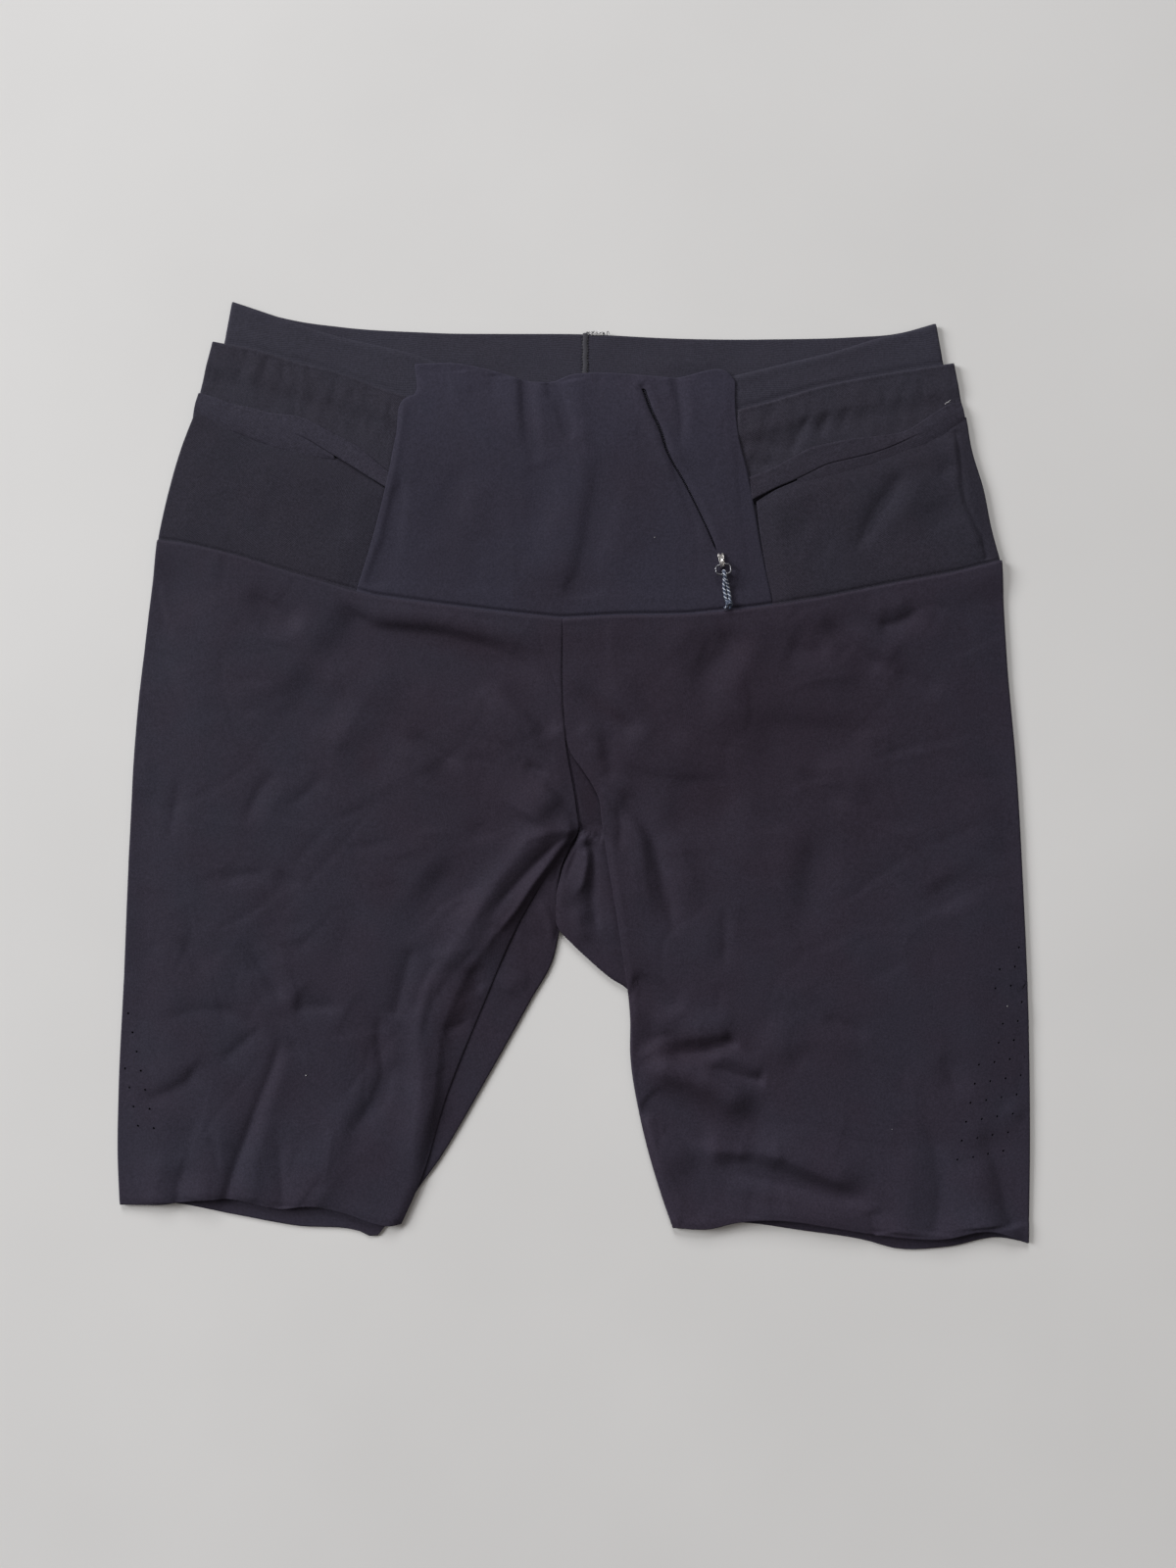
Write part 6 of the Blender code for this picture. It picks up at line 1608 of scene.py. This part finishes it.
rows = dense(90, (0.0, 0.05, 0.6), (0.90, 0.05, 1.5))
u = dense(110, (1.0, 0.10, 1.0))
U, V = np.meshgrid(u, rows)
side_r = curve([(201.6, 183.5), (204.3, 167.2), (210.3, 147.0), (214.4, 126.8), (220.2, 105.6)])
XY = coons(
    curve([(93.9, 140.4), (103.3, 146.3), (112.4, 150.4), (120.4, 154.2), (130.0, 158.6), (140.6, 161.4),
           (151.8, 164.1), (162.4, 167.7), (173.5, 172.4), (188.6, 178.8), (201.2, 185.3)]),
    curve([(101.8, 82.6)] + moved_points(LEG_R_TOP[4:7], 0.0, -6.0) + [(220.2, 105.6)]),
    curve([(93.9, 140.4), (94.5, 133.8), (95.5, 125.2), (99.2, 101.5), (101.8, 82.8)]),
    inset(side_r, 0.8), U, V)
lift = smooth(U / 0.10) * smooth((1 - U) / 0.08) * smooth(V / 0.16) * smooth((1 - V) / 0.16)
z = (2.85 + 1.0 * lift + folds(XY[..., 0], XY[..., 1], eased(FOLDS_POCKET_R, 1.3, 1.3))
     + 0.20 * noise(XY[..., 0], XY[..., 1], 24, 411) + 0.08 * noise(XY[..., 0], XY[..., 1], 9, 413)
     + 0.15 * np.exp(-((1 - U) / 0.10) ** 2) - 0.22 * np.exp(-(U / 0.014) ** 2))
by_leg = distance_to(moved_points(LEG_R_TOP, 0.0, 0.9), XY[..., 0], XY[..., 1])
z = soft_floor(z, 2.62, 0.15) - 0.32 * np.exp(-(by_leg / 0.8) ** 2) - 0.30 * (1.0 - smooth(V / 0.07))
P = np.concatenate([XY, z[..., None]], 2)
P = turned(P, "right", 1.15, 1.9, 5)
pocket_right = shell("pocket_right_cloth", P, 0.45, True, MESH, 0.2)
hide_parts("pocket_right")


# ------------------------------------------------------- pocket mouth strips
def rail(points):
    """A smooth curve through the points, read by its share of their count."""
    pts = np.array(points, float)
    slope = np.gradient(pts, axis=0)

    def at(q):
        q = np.clip(np.asarray(q, float), 0.0, len(pts) - 1.0)
        i = np.minimum(q.astype(int), len(pts) - 2)
        k = (q - i)[..., None]
        k2, k3 = k * k, k * k * k
        return ((2 * k3 - 3 * k2 + 1) * pts[i] + (k3 - 2 * k2 + k) * slope[i]
                + (3 * k2 - 2 * k3) * pts[i + 1] + (k3 - k2) * slope[i + 1])
    return at


def mouth(name, upper, slit, lower, opens, closes, gap_wide, seed, flip, nodes,
          mat, edge_z=2.45, rise=0.72):
    """The knitted strip of a pocket mouth, cut open along part of its length.

    upper, slit and lower are matched stations from the side seam inwards;
    the strip is open from station opens, and its lower lip ends at closes.
    """
    last = len(upper) - 1.0
    q = dense(170, (opens / last, 0.02, 0.8), (closes / last, 0.02, 0.6)) * last
    A, S, L = rail(upper)(q), rail(slit)(q), rail(lower)(q)
    up = A - S
    up /= np.maximum(np.linalg.norm(up, axis=1, keepdims=True), 1e-6)
    wide = gap_wide * smooth((q - opens) / 1.3)
    is_open = smooth((q - opens + 0.4) / 1.6)
    low_width = np.linalg.norm(S - L, axis=1)
    s_up, s_low = dense(9, (1.0, 0.1, 0.8)), dense(7, (0.0, 0.1, 0.6))
    edge_a = S + up * (0.06 + 0.5 * wide)[:, None]
    edge_b = S - up * (0.06 + 0.5 * wide)[:, None]
    stop = np.maximum(low_width, 0.45)[:, None]
    L = np.where(low_width[:, None] > 0.45, L, S - up * stop)
    rows_up = A[None] * (1 - s_up[:, None, None]) + edge_a[None] * s_up[:, None, None]
    rows_low = edge_b[None] * (1 - s_low[:, None, None]) + L[None] * s_low[:, None, None]
    XY = np.concatenate([rows_up, rows_low], 0)
    su = np.broadcast_to(s_up[:, None], rows_up.shape[:2])
    sl = np.broadcast_to(s_low[:, None], rows_low.shape[:2])
    z_up = (edge_z + rise * smooth(su * 0.9) + 0.10 * np.sin(pi * su)
            + (0.05 * smooth((su - 0.55) / 0.45)) * is_open)
    z_low = (edge_z + rise * 0.96 + 0.05 * np.sin(pi * sl)
             - 0.12 * (1.0 - smooth(sl / 0.8)) * is_open - 0.45 * smooth((sl - 0.35) / 0.65))
    z = np.concatenate([z_up, z_low], 0)
    x, y = XY[..., 0], XY[..., 1]
    z = z + 0.09 * noise(x, y, 6.0, seed) + 0.06 * noise(x, y, 2.6, seed + 1)
    P = np.concatenate([XY, z[..., None]], 2)
    gone = np.zeros((len(z) - 1, len(q) - 1), bool)
    mid = (q[:-1] + q[1:]) / 2
    split = len(s_up) - 1
    gone[split, mid > opens] = True
    gone[split:, mid > closes] = True
    obj = shell(name, P, 0.45, flip, mat, 0.20, gone)
    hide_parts(*nodes)
    return obj


mouth_left = mouth("mouth_left",
      [(-192.6, 196.2), (-182.8, 193.4), (-174.7, 190.2), (-166.6, 188.9), (-158.3, 186.5), (-149.6, 185.2),
       (-142.4, 184.3), (-134.3, 181.5), (-127.0, 177.3), (-118.1, 172.6), (-110.8, 168.5), (-102.8, 162.1),
       (-93.7, 154.5)],
      [(-194.0, 190.9), (-185.1, 188.1), (-177.5, 184.8), (-169.4, 182.1), (-160.8, 179.0), (-152.3, 177.0),
       (-144.0, 175.2), (-137.4, 172.7), (-130.3, 168.5), (-122.2, 163.5), (-114.9, 159.1), (-105.8, 153.3),
       (-95.7, 147.2)],
      [(-195.4, 183.8), (-187.6, 181.7), (-180.3, 177.7), (-171.4, 175.0), (-162.9, 171.7), (-153.8, 168.2),
       (-144.8, 165.5), (-136.7, 163.5), (-128.6, 162.6), (-121.7, 161.8), (-114.9, 158.8), (-105.8, 153.0),
       (-95.7, 146.9)],
      6.15, 8.9, 0.34, 501, True, ("binding_left_a", "binding_left_b"), BIND_L)
mouth_right = mouth("mouth_right",
      [(198.9, 191.4), (192.4, 190.1), (183.6, 185.0), (175.0, 179.1), (166.7, 175.7), (153.8, 173.8),
       (141.7, 172.5), (130.5, 170.2), (121.1, 167.7), (113.1, 163.6), (105.9, 159.6), (98.0, 156.0),
       (90.1, 153.0)],
      [(200.0, 186.6), (193.7, 184.3), (186.8, 180.3), (179.5, 176.0), (173.0, 173.2), (162.6, 168.5),
       (152.0, 164.9), (140.6, 162.2), (130.0, 159.5), (120.4, 154.9), (112.3, 151.0), (103.3, 147.2),
       (91.5, 141.2)],
      [(201.0, 181.3), (195.7, 178.0), (188.6, 172.2), (181.0, 167.2), (173.5, 163.1), (163.4, 159.3),
       (153.8, 155.7), (143.7, 152.3), (133.6, 149.5), (125.0, 147.5), (115.9, 148.5), (103.3, 146.8),
       (91.5, 140.8)],
      3.4, 9.75, 0.14, 521, False, ("binding_right_a", "binding_right_b"), BIND_R_PAINTED_SHADE)

# ---------------------------------------------------------- centre pocket
zip_at = curve(ZIP_LINE)
zip_pts = zip_at(np.linspace(0, 1, 200))
SLIT_TOP, SLIT_LOW = 198.5, 114.6


def slit_x(y):
    """x of the zip line at height y, run on straight past both ends."""
    ys, xs = zip_pts[::-1, 1], zip_pts[::-1, 0]
    x = np.interp(y, ys, xs)
    x = np.where(y > ys[-1], xs[-1] - (y - ys[-1]) * 0.30, x)
    return np.where(y < ys[0], xs[0] + (ys[0] - y) * 0.35, x)


def slit_half(y):
    """Half width of the open zip: round at the top, narrow at the slider."""
    t = np.clip((SLIT_TOP - y) / (SLIT_TOP - SLIT_LOW), 0.0, 1.0)
    wide = 1.10 - 0.60 * smooth(t / 0.9)
    start = np.sqrt(np.clip(1.0 - (1.0 - np.clip((SLIT_TOP - y) / 1.2, 0.0, 1.0)) ** 2, 0.0, 1.0))
    end = smooth((y - SLIT_LOW) / 3.0)
    return wide * np.where(y > SLIT_TOP, 0.0, start) * np.where(y < SLIT_LOW, 0.0, end)


rows = dense(150, (0.035, 0.03, 1.2), (0.0, 0.02, 0.8), (0.93, 0.05, 1.2))
n_left, n_right = 128, 62
top = curve([(x * (1 - 1.3 / 83.0), y - 0.8) for x, y in CENTRE_TOP])
low = curve([(-111.1, 92.0), (-69.9, 81.8), (-35.1, 77.5), (-5.8, 74.5), (22.0, 76.0),
             (57.3, 76.5), (92.2, 80.0), (102.1, 81.7)])
side_a = curve([(x + 0.6, y - 0.8 * (y > 200)) for x, y in CENTRE_LEFT])
side_b = curve([(x - 1.3, y - 0.8 * (y > 200)) for x, y in CENTRE_RIGHT])


def centre_xy(U):
    return coons(top, low, side_a, side_b, U, np.broadcast_to(rows[:, None], U.shape))


f = np.full((len(rows), 1), 0.75)
for _ in range(12):
    here = centre_xy(f)
    ahead = centre_xy(f + 0.002)
    rate = (ahead[..., 0] - here[..., 0]) / 0.002
    f = np.clip(f + (slit_x(here[..., 1]) - here[..., 0]) / rate, 0.3, 0.97)
here = centre_xy(f)
half_u = np.maximum(slit_half(here[..., 1]), 0.10) / rate
s_left = dense(n_left, (1.0, 0.06, 1.6), (0.0, 0.03, 0.8))
s_right = dense(n_right, (0.0, 0.10, 1.0), (1.0, 0.06, 0.8))
U = np.concatenate([(f - half_u) * s_left[None],
                    (f + half_u) + (1 - f - half_u) * s_right[None]], 1)
XY = centre_xy(U)
x, y = XY[..., 0], XY[..., 1]
slit_edge = n_left
mid_y = (y[:-1, slit_edge] + y[1:, slit_edge]) / 2
gone = np.zeros((len(rows) - 1, U.shape[1] - 1), bool)
gone[:, slit_edge] = (mid_y < SLIT_TOP - 0.15) & (mid_y > SLIT_LOW)
near_zip = distance_to(ZIP_LINE, x, y)
near_pull = distance_to([(75.0, 112.0), (79.6, 86.0)], x, y)
calm = smooth((near_pull - 4.0) / 8.0)
above_lap = smooth((y - 89.0 - 0.00045 * (x - 10.0) ** 2) / 7.0)
z = 3.62 + (folds(x, y, FOLDS_CENTRE) + cloth_ripple(x, y, 601, 0.40)) * calm * above_lap
z = z + (0.30 * np.exp(-((near_zip - 3.6) / 2.6) ** 2) - 0.42 * np.exp(-(near_zip / 1.7) ** 2)) * calm
V = np.broadcast_to(rows[:, None], U.shape)
z = z + 0.12 * smooth(1 - V / 0.03)
z = soft_floor(z, 2.95, 0.3) - 0.30 * smooth((U - 0.955) / 0.045) - 0.22 * smooth((0.012 - U) / 0.012)
by_leg = np.minimum(distance_to(moved_points(LEG_L_TOP, 0.0, 0.9), x, y),
                    distance_to(moved_points(LEG_R_TOP, 0.0, 0.9), x, y))
z = z - 0.72 * np.exp(-(by_leg / 0.95) ** 2)
P = np.concatenate([XY, z[..., None]], 2)
centre_grid = P
P = turned(P, "left", 0.65, 1.2, 6)
P = turned(P, "right", 1.35, 0.7, 6)
P = turned(P, "top", 0.85, 1.3, 5)
gone = np.pad(gone, ((5, 0), (6, 6)))
centre = shell("centre_pocket_cloth", P, 0.62, True, CENTRE, 0.12, gone)
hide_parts("centre_pocket")


def surface_z(grid, px, py):
    d = (grid[..., 0] - px) ** 2 + (grid[..., 1] - py) ** 2
    r, c = np.unravel_index(np.argmin(d), d.shape)
    return float(grid[r, c, 2])


# ---------------------------------------------------------------- zip coil
pile = Pile()
t = np.linspace(0.0, 1.0, 60)
line = zip_at(t)
run = np.concatenate([[0.0], np.cumsum(np.linalg.norm(np.diff(line, axis=0), axis=1))])
length = run[-1]
along = np.gradient(line, axis=0)
along /= np.linalg.norm(along, axis=1, keepdims=True)
side = np.stack([-along[:, 1], along[:, 0]], 1)
for sign in (-1, 1):
    # tape
    lines = []
    for off, zz in ((0.05, 2.30), (0.9, 2.40), (2.0, 2.45), (3.0, 2.40), (3.0, 2.20), (0.05, 2.15)):
        lines.append(np.concatenate([line + side * off * sign, np.full((len(t), 1), zz)], 1))
    grid = np.stack(lines, 0)
    n, m = grid.shape[:2]
    faces = []
    for a in range(n):
        b = (a + 1) % n
        for k in range(m - 1):
            quad = (a * m + k, b * m + k, b * m + k + 1, a * m + k + 1)
            faces.append(quad if sign < 0 else quad[::-1])
    ends = [tuple(a * m for a in range(n)), tuple(a * m + m - 1 for a in range(n))[::-1]]
    faces += ends if sign > 0 else [e[::-1] for e in ends]
    pile.add(grid.reshape(-1, 3), faces)
    # coil: one loop of wire for each tooth
    turns = 96
    q = np.linspace(0.0, 1.0, turns * 7)
    centre_line = zip_at(q * 0.985)
    tangent = np.gradient(centre_line, axis=0)
    tangent /= np.linalg.norm(tangent, axis=1, keepdims=True)
    across = np.stack([-tangent[:, 1], tangent[:, 0]], 1)
    w = 2 * pi * turns * q + (pi / 2 if sign > 0 else 0.0)
    coil = centre_line + across * (sign * (0.42 + 0.44 * np.cos(w)))[:, None]
    zz = 2.62 + 0.20 * np.sin(w)
    verts, faces = swept(np.concatenate([coil, zz[:, None]], 1), 0.13, 5)
    pile.add(verts, faces)
coil = pile.make("zip_coil_and_tape", ZIP, "zip_tape")
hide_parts("zip_coil")


# ------------------------------------------------------------- zip slider
def plate(outline, layers):
    """Prism with bevelled edges: layers are (z, inset) from the bottom up."""
    pts = np.array(outline, float)
    middle = pts.mean(0)
    verts, faces = [], []
    n = len(pts)
    for z, shrink in layers:
        d = pts - middle
        r = np.linalg.norm(d, axis=1, keepdims=True)
        for a, s in middle + d * (1 - shrink / np.maximum(r, 0.2)):
            verts.append(on_pull(a, s, z))
    for j in range(len(layers) - 1):
        for k in range(n):
            m = (k + 1) % n
            faces.append((j * n + k, j * n + m, (j + 1) * n + m, (j + 1) * n + k))
    faces.append(tuple(range(n))[::-1])
    faces.append(tuple((len(layers) - 1) * n + k for k in range(n)))
    return verts, faces


def bar(path, half_w, half_t, sides=12):
    """Rounded flat bar along a path in the plane of the pull: (s, z) points."""
    path = np.array(path, float)
    along = np.gradient(path, axis=0)
    along /= np.linalg.norm(along, axis=1, keepdims=True)
    verts, faces = [], []
    for (s, z), (ds, dz), hw in zip(path, along, np.broadcast_to(half_w, (len(path),))):
        for k in range(sides):
            w = 2 * pi * k / sides
            c, q = cos(w), sin(w)
            a = hw * (1 if c > 0 else -1) * abs(c) ** 0.6
            b = half_t * (1 if q > 0 else -1) * abs(q) ** 0.6
            verts.append(on_pull(a, s - dz * b, z + ds * b))
    for j in range(len(path) - 1):
        for k in range(sides):
            m = (k + 1) % sides
            faces.append((j * sides + k, j * sides + m, (j + 1) * sides + m, (j + 1) * sides + k))
    faces.append(tuple(range(sides))[::-1])
    last = (len(path) - 1) * sides
    faces.append(tuple(last + k for k in range(sides)))
    return verts, faces


pile = Pile()
outline = [(-0.35, -5.55), (-0.75, -6.05), (-1.35, -5.95), (-1.62, -5.3), (-1.60, -4.4),
           (-1.45, -3.2), (-1.22, -1.6), (-1.12, 0.2), (-1.08, 1.1), (-0.75, 1.5), (0.0, 1.6),
           (0.75, 1.5), (1.08, 1.1), (1.12, 0.2), (1.22, -1.6), (1.45, -3.2), (1.60, -4.4),
           (1.62, -5.3), (1.35, -5.95), (0.75, -6.05), (0.35, -5.55), (0.0, -5.25)]
pile.add(*plate(outline, [(3.92, 0.22), (4.05, 0.0), (4.55, 0.0), (4.78, 0.10), (4.92, 0.34)]))
arch = []
for k in range(25):
    w = pi * k / 24
    arch.append((-0.90 - 2.10 * cos(w), 4.75 + 2.12 * sin(w) ** 0.75))
pile.add(*bar(arch, np.interp(np.linspace(0, 1, 25), [0, 0.25, 0.8, 1], [0.95, 0.72, 0.72, 0.95]), 0.30))
# two guard flanges along the body
for sign in (-1, 1):
    path = [(sign * 1.28, -4.6, 4.95), (sign * 1.22, -3.0, 5.02), (sign * 1.08, -1.2, 5.0),
            (sign * 0.98, 0.6, 4.93)]
    pts, _ = resampled([on_pull(*p) for p in path], 12)
    pile.add(*swept(pts, 0.20, 8))
slider = pile.make("slider", SILVER, "slider_metal")
slider.data.set_sharp_from_angle(angle=radians(38))
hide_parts("zip_slider")

# ----------------------------------------------------------------- the ring
loop = []
N = 72
for k in range(N):
    w = 2 * pi * k / N
    c, s = cos(w), sin(w)
    a = RING_HALF_W * (1 if c > 0 else -1) * abs(c) ** (2 / 3)
    d = RING_HALF_L + RING_HALF_L * (1 if s > 0 else -1) * abs(s) ** (2 / 3)
    loop.append(on_pull(a, d, PIN_Z + (FAR_Z - PIN_Z) * d / (2 * RING_HALF_L)))
loop = np.array(loop)


def closed_tube(loop, radius, sides):
    n = len(loop)
    along = np.roll(loop, -1, 0) - np.roll(loop, 1, 0)
    along /= np.linalg.norm(along, axis=1, keepdims=True)
    verts = []
    for p, t in zip(loop, along):
        side = np.cross(t, (0.0, 0.0, 1.0))
        side /= np.linalg.norm(side)
        up = np.cross(side, t)
        for k in range(sides):
            w = 2 * pi * k / sides
            verts.append(p + radius * (side * cos(w) + up * sin(w)))
    faces = [(j * sides + k, j * sides + (k + 1) % sides,
              ((j + 1) % n) * sides + (k + 1) % sides, ((j + 1) % n) * sides + k)[::-1]
             for j in range(n) for k in range(sides)]
    return verts, faces


verts, faces = closed_tube(loop, RING_WIRE / 2, 14)
ring = make("pull_ring", np.array(verts), faces, WIRE, PULL)
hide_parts("zip_ring")

# ----------------------------------------------------- knot and its two tails
verts_all, faces_all, marks = [], [], []


def add_braid(path, radius, sides, pitch, phase, n):
    path, _ = resampled(path, n)
    verts, faces, mark = braid(path, radius, sides, pitch, phase)
    base = len(verts_all)
    verts_all.extend(tuple(v) for v in verts)
    faces_all.extend(tuple(i + base for i in f) for f in faces)
    marks.extend(mark)


# the wound part: two turns across, then a bight over them
turns = []
for k in range(61):
    w = 4 * pi * k / 60 + 0.3
    turns.append(on_pull(1.12 * cos(w), KNOT_AT - 0.85 + 1.5 * k / 60, 5.55 + 0.95 * sin(w)))
add_braid(turns, 0.72, 12, 3.6, 1.0, 70)
over = [on_pull(-1.0, KNOT_AT - 1.5, 5.2), on_pull(-0.75, KNOT_AT - 0.7, 6.5),
        on_pull(0.35, KNOT_AT - 0.1, 6.95), on_pull(1.15, KNOT_AT + 0.6, 6.0),
        on_pull(1.0, KNOT_AT + 1.3, 5.0)]
add_braid(over, 0.66, 12, 3.6, 2.2, 40)
# stubs that the two runs of the cord come in by, and the tails
for a in (-0.95, 0.95):
    add_braid([on_pull(a, KNOT_AT - 2.25, 4.85), on_pull(a * 0.8, KNOT_AT - 1.4, 5.1),
               on_pull(a * 0.4, KNOT_AT - 0.4, 5.5)], 0.70, 12, 3.6, 0.7, 16)
add_braid([on_pull(-0.3, KNOT_AT + 0.2, 5.4), on_pull(-1.5, KNOT_AT + 1.4, 5.15),
           on_pull(-2.7, KNOT_AT + 1.75, 4.75)], 0.62, 12, 3.2, 0.2, 18)
add_braid([on_pull(0.3, KNOT_AT + 0.2, 5.4), on_pull(0.5, KNOT_AT + 1.6, 5.3),
           on_pull(0.2, KNOT_AT + 2.5, 5.05)], 0.62, 12, 3.2, 1.4, 18)
knot = make("pull_knot", np.array(verts_all), faces_all, CORD, PULL)
layer = knot.data.attributes.new("tracer", "FLOAT", "POINT")
layer.data.foreach_set("value", np.array(marks, np.float32))
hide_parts("zip_knot")


# --------------------------------------------------------- threads and lint
def whisker(points, radius, n=14):
    path, _ = resampled(curve3(points, n), n)
    taper = radius * (0.35 + 0.65 * np.sin(np.linspace(0.15, pi - 0.15, n)) ** 0.5)
    return swept(path, taper, 6)


def curve3(points, n):
    pts = np.array(points, float)
    t = np.concatenate([[0.0], np.cumsum(np.linalg.norm(np.diff(pts, axis=0), axis=1))])
    at = np.linspace(0, t[-1], n)
    k = np.ones(3) / 3
    fine = np.stack([np.interp(at, t, pts[:, c]) for c in range(3)], 1)
    soft = fine.copy()
    for _ in range(2):
        soft[1:-1] = (soft[:-2] + soft[1:-1] * 2 + soft[2:]) / 4
    return soft


white, dark = Pile(), Pile()
rng = np.random.default_rng(7)
# worn threads at the centre-back of the waist edge
for k in range(9):
    x0 = 7.0 + 1.25 * k + rng.uniform(-0.4, 0.4)
    pts = [(x0, 225.9, 1.0), (x0 + rng.uniform(-1.2, 1.2), 227.2 + rng.uniform(0, 0.6), 1.5),
           (x0 + rng.uniform(-2.2, 2.2), 227.6 + rng.uniform(0.2, 1.4), 1.3),
           (x0 + rng.uniform(-1.4, 2.6), 226.4 + rng.uniform(0, 0.6), 1.1)]
    dark.add(*whisker(pts, 0.17))
for k in range(7):
    x0 = 9.6 + 0.85 * k + rng.uniform(-0.4, 0.4)
    pts = [(x0, 226.1, 1.2), (x0 + rng.uniform(-0.9, 0.9), 227.3, 1.7),
           (x0 + rng.uniform(-1.6, 1.6), 228.0 + rng.uniform(0, 0.8), 1.5),
           (x0 + rng.uniform(-0.6, 1.6), 226.9, 1.3)]
    white.add(*whisker(pts, 0.15))
# a loose white thread on the right pocket mouth
z0 = 4.0
white.add(*whisker([(189.9, 189.9, z0), (190.8, 190.6, z0 + 0.15), (191.9, 191.2, z0 + 0.1),
                    (193.0, 192.2, z0 - 0.1)], 0.10))


def tuft(pile, x, y, z, size, seed):
    g = np.random.default_rng(seed)
    for _ in range(5):
        a = g.uniform(0, 2 * pi)
        r = size * g.uniform(0.5, 1.0)
        pile.add(*whisker([(x, y, z), (x + r * 0.5 * cos(a), y + r * 0.5 * sin(a), z + 0.3),
                           (x + r * cos(a + 0.5), y + r * sin(a + 0.5), z + 0.12)], 0.075, 8))


tuft(white, -137.1, -153.5, leg_left_z(-137.1, -153.5) + 0.1, 0.5, 21)
tuft(white, 222.2, -118.4, leg_right_z(222.2, -118.4) + 0.1, 0.3, 22)
tuft(white, 162.9, -181.3, leg_right_z(162.9, -181.3) + 0.1, 0.25, 23)
tuft(white, 41.4, 121.9, surface_z(centre_grid, 41.4, 121.9) + 0.1, 0.28, 24)
threads_white = white.make("lint", WHITE, "pull_cord")
threads_dark = dark.make("worn_threads", DARK, "elastic_band")

# -------------------------------------------------------------- the cord's exit point and path in metres
exit_point = place([on_pull(0.0, FAR_S, FAR_Z)])[0]
[tuple(float(c) for c in p) for p in place(cord_path)]

# ------------------------------------------------------- floor, light, world
floor_nodes = Nodes("floor_look")
at = floor_nodes.coords(0.0)
mottled = floor_nodes.spread(floor_nodes.speckle(at, 0.006, 3.0), 0.3, 0.7)
floor_nodes.join(floor_nodes.blend(mottled, (0.622, 0.618, 0.612), (0.650, 0.646, 0.640)),
                 floor_nodes.shader.inputs["Base Color"])
floor_nodes.set(Roughness=0.62, Specular_IOR_Level=0.25)
mesh = bpy.data.meshes.new("floor")
mesh.from_pydata([(-3, -3, -0.0004), (3, -3, -0.0004), (3, 3, -0.0004), (-3, 3, -0.0004)],
                 [], [(0, 1, 2, 3)])
mesh.materials.append(floor_nodes.mat)
floor = bpy.data.objects.new("floor", mesh)
bpy.context.scene.collection.objects.link(floor)


def lamp(name, at, size, power, tint):
    data = bpy.data.lights.new(name, "AREA")
    data.shape = "RECTANGLE"
    data.size, data.size_y = size
    data.energy = power
    data.color = tint
    obj = bpy.data.objects.new(name, data)
    obj.location = at
    obj.rotation_euler = (Vector((0, 0, 0)) - Vector(at)).to_track_quat("-Z", "Y").to_euler()
    bpy.context.scene.collection.objects.link(obj)
    return obj


lamp("key_light", (-4.15, 1.50, 2.30), (2.1, 2.1), 268.0, (0.985, 0.99, 1.0))
lamp("top_light", (-1.20, 8.40, 4.60), (3.8, 3.8), 585.0, (0.985, 0.99, 1.0))
lamp("fill_light", (2.4, -1.4, 2.8), (2.4, 2.4), 8.0, (1.0, 0.96, 0.93))
world = bpy.data.worlds.new("studio")
world.use_nodes = True
world.node_tree.nodes["Background"].inputs["Color"].default_value = (1.0, 0.93, 0.88, 1.0)
world.node_tree.nodes["Background"].inputs["Strength"].default_value = 0.16
bpy.context.scene.world = world
bpy.context.scene.view_settings.view_transform = "Standard"
bpy.context.scene.view_settings.look = "None"
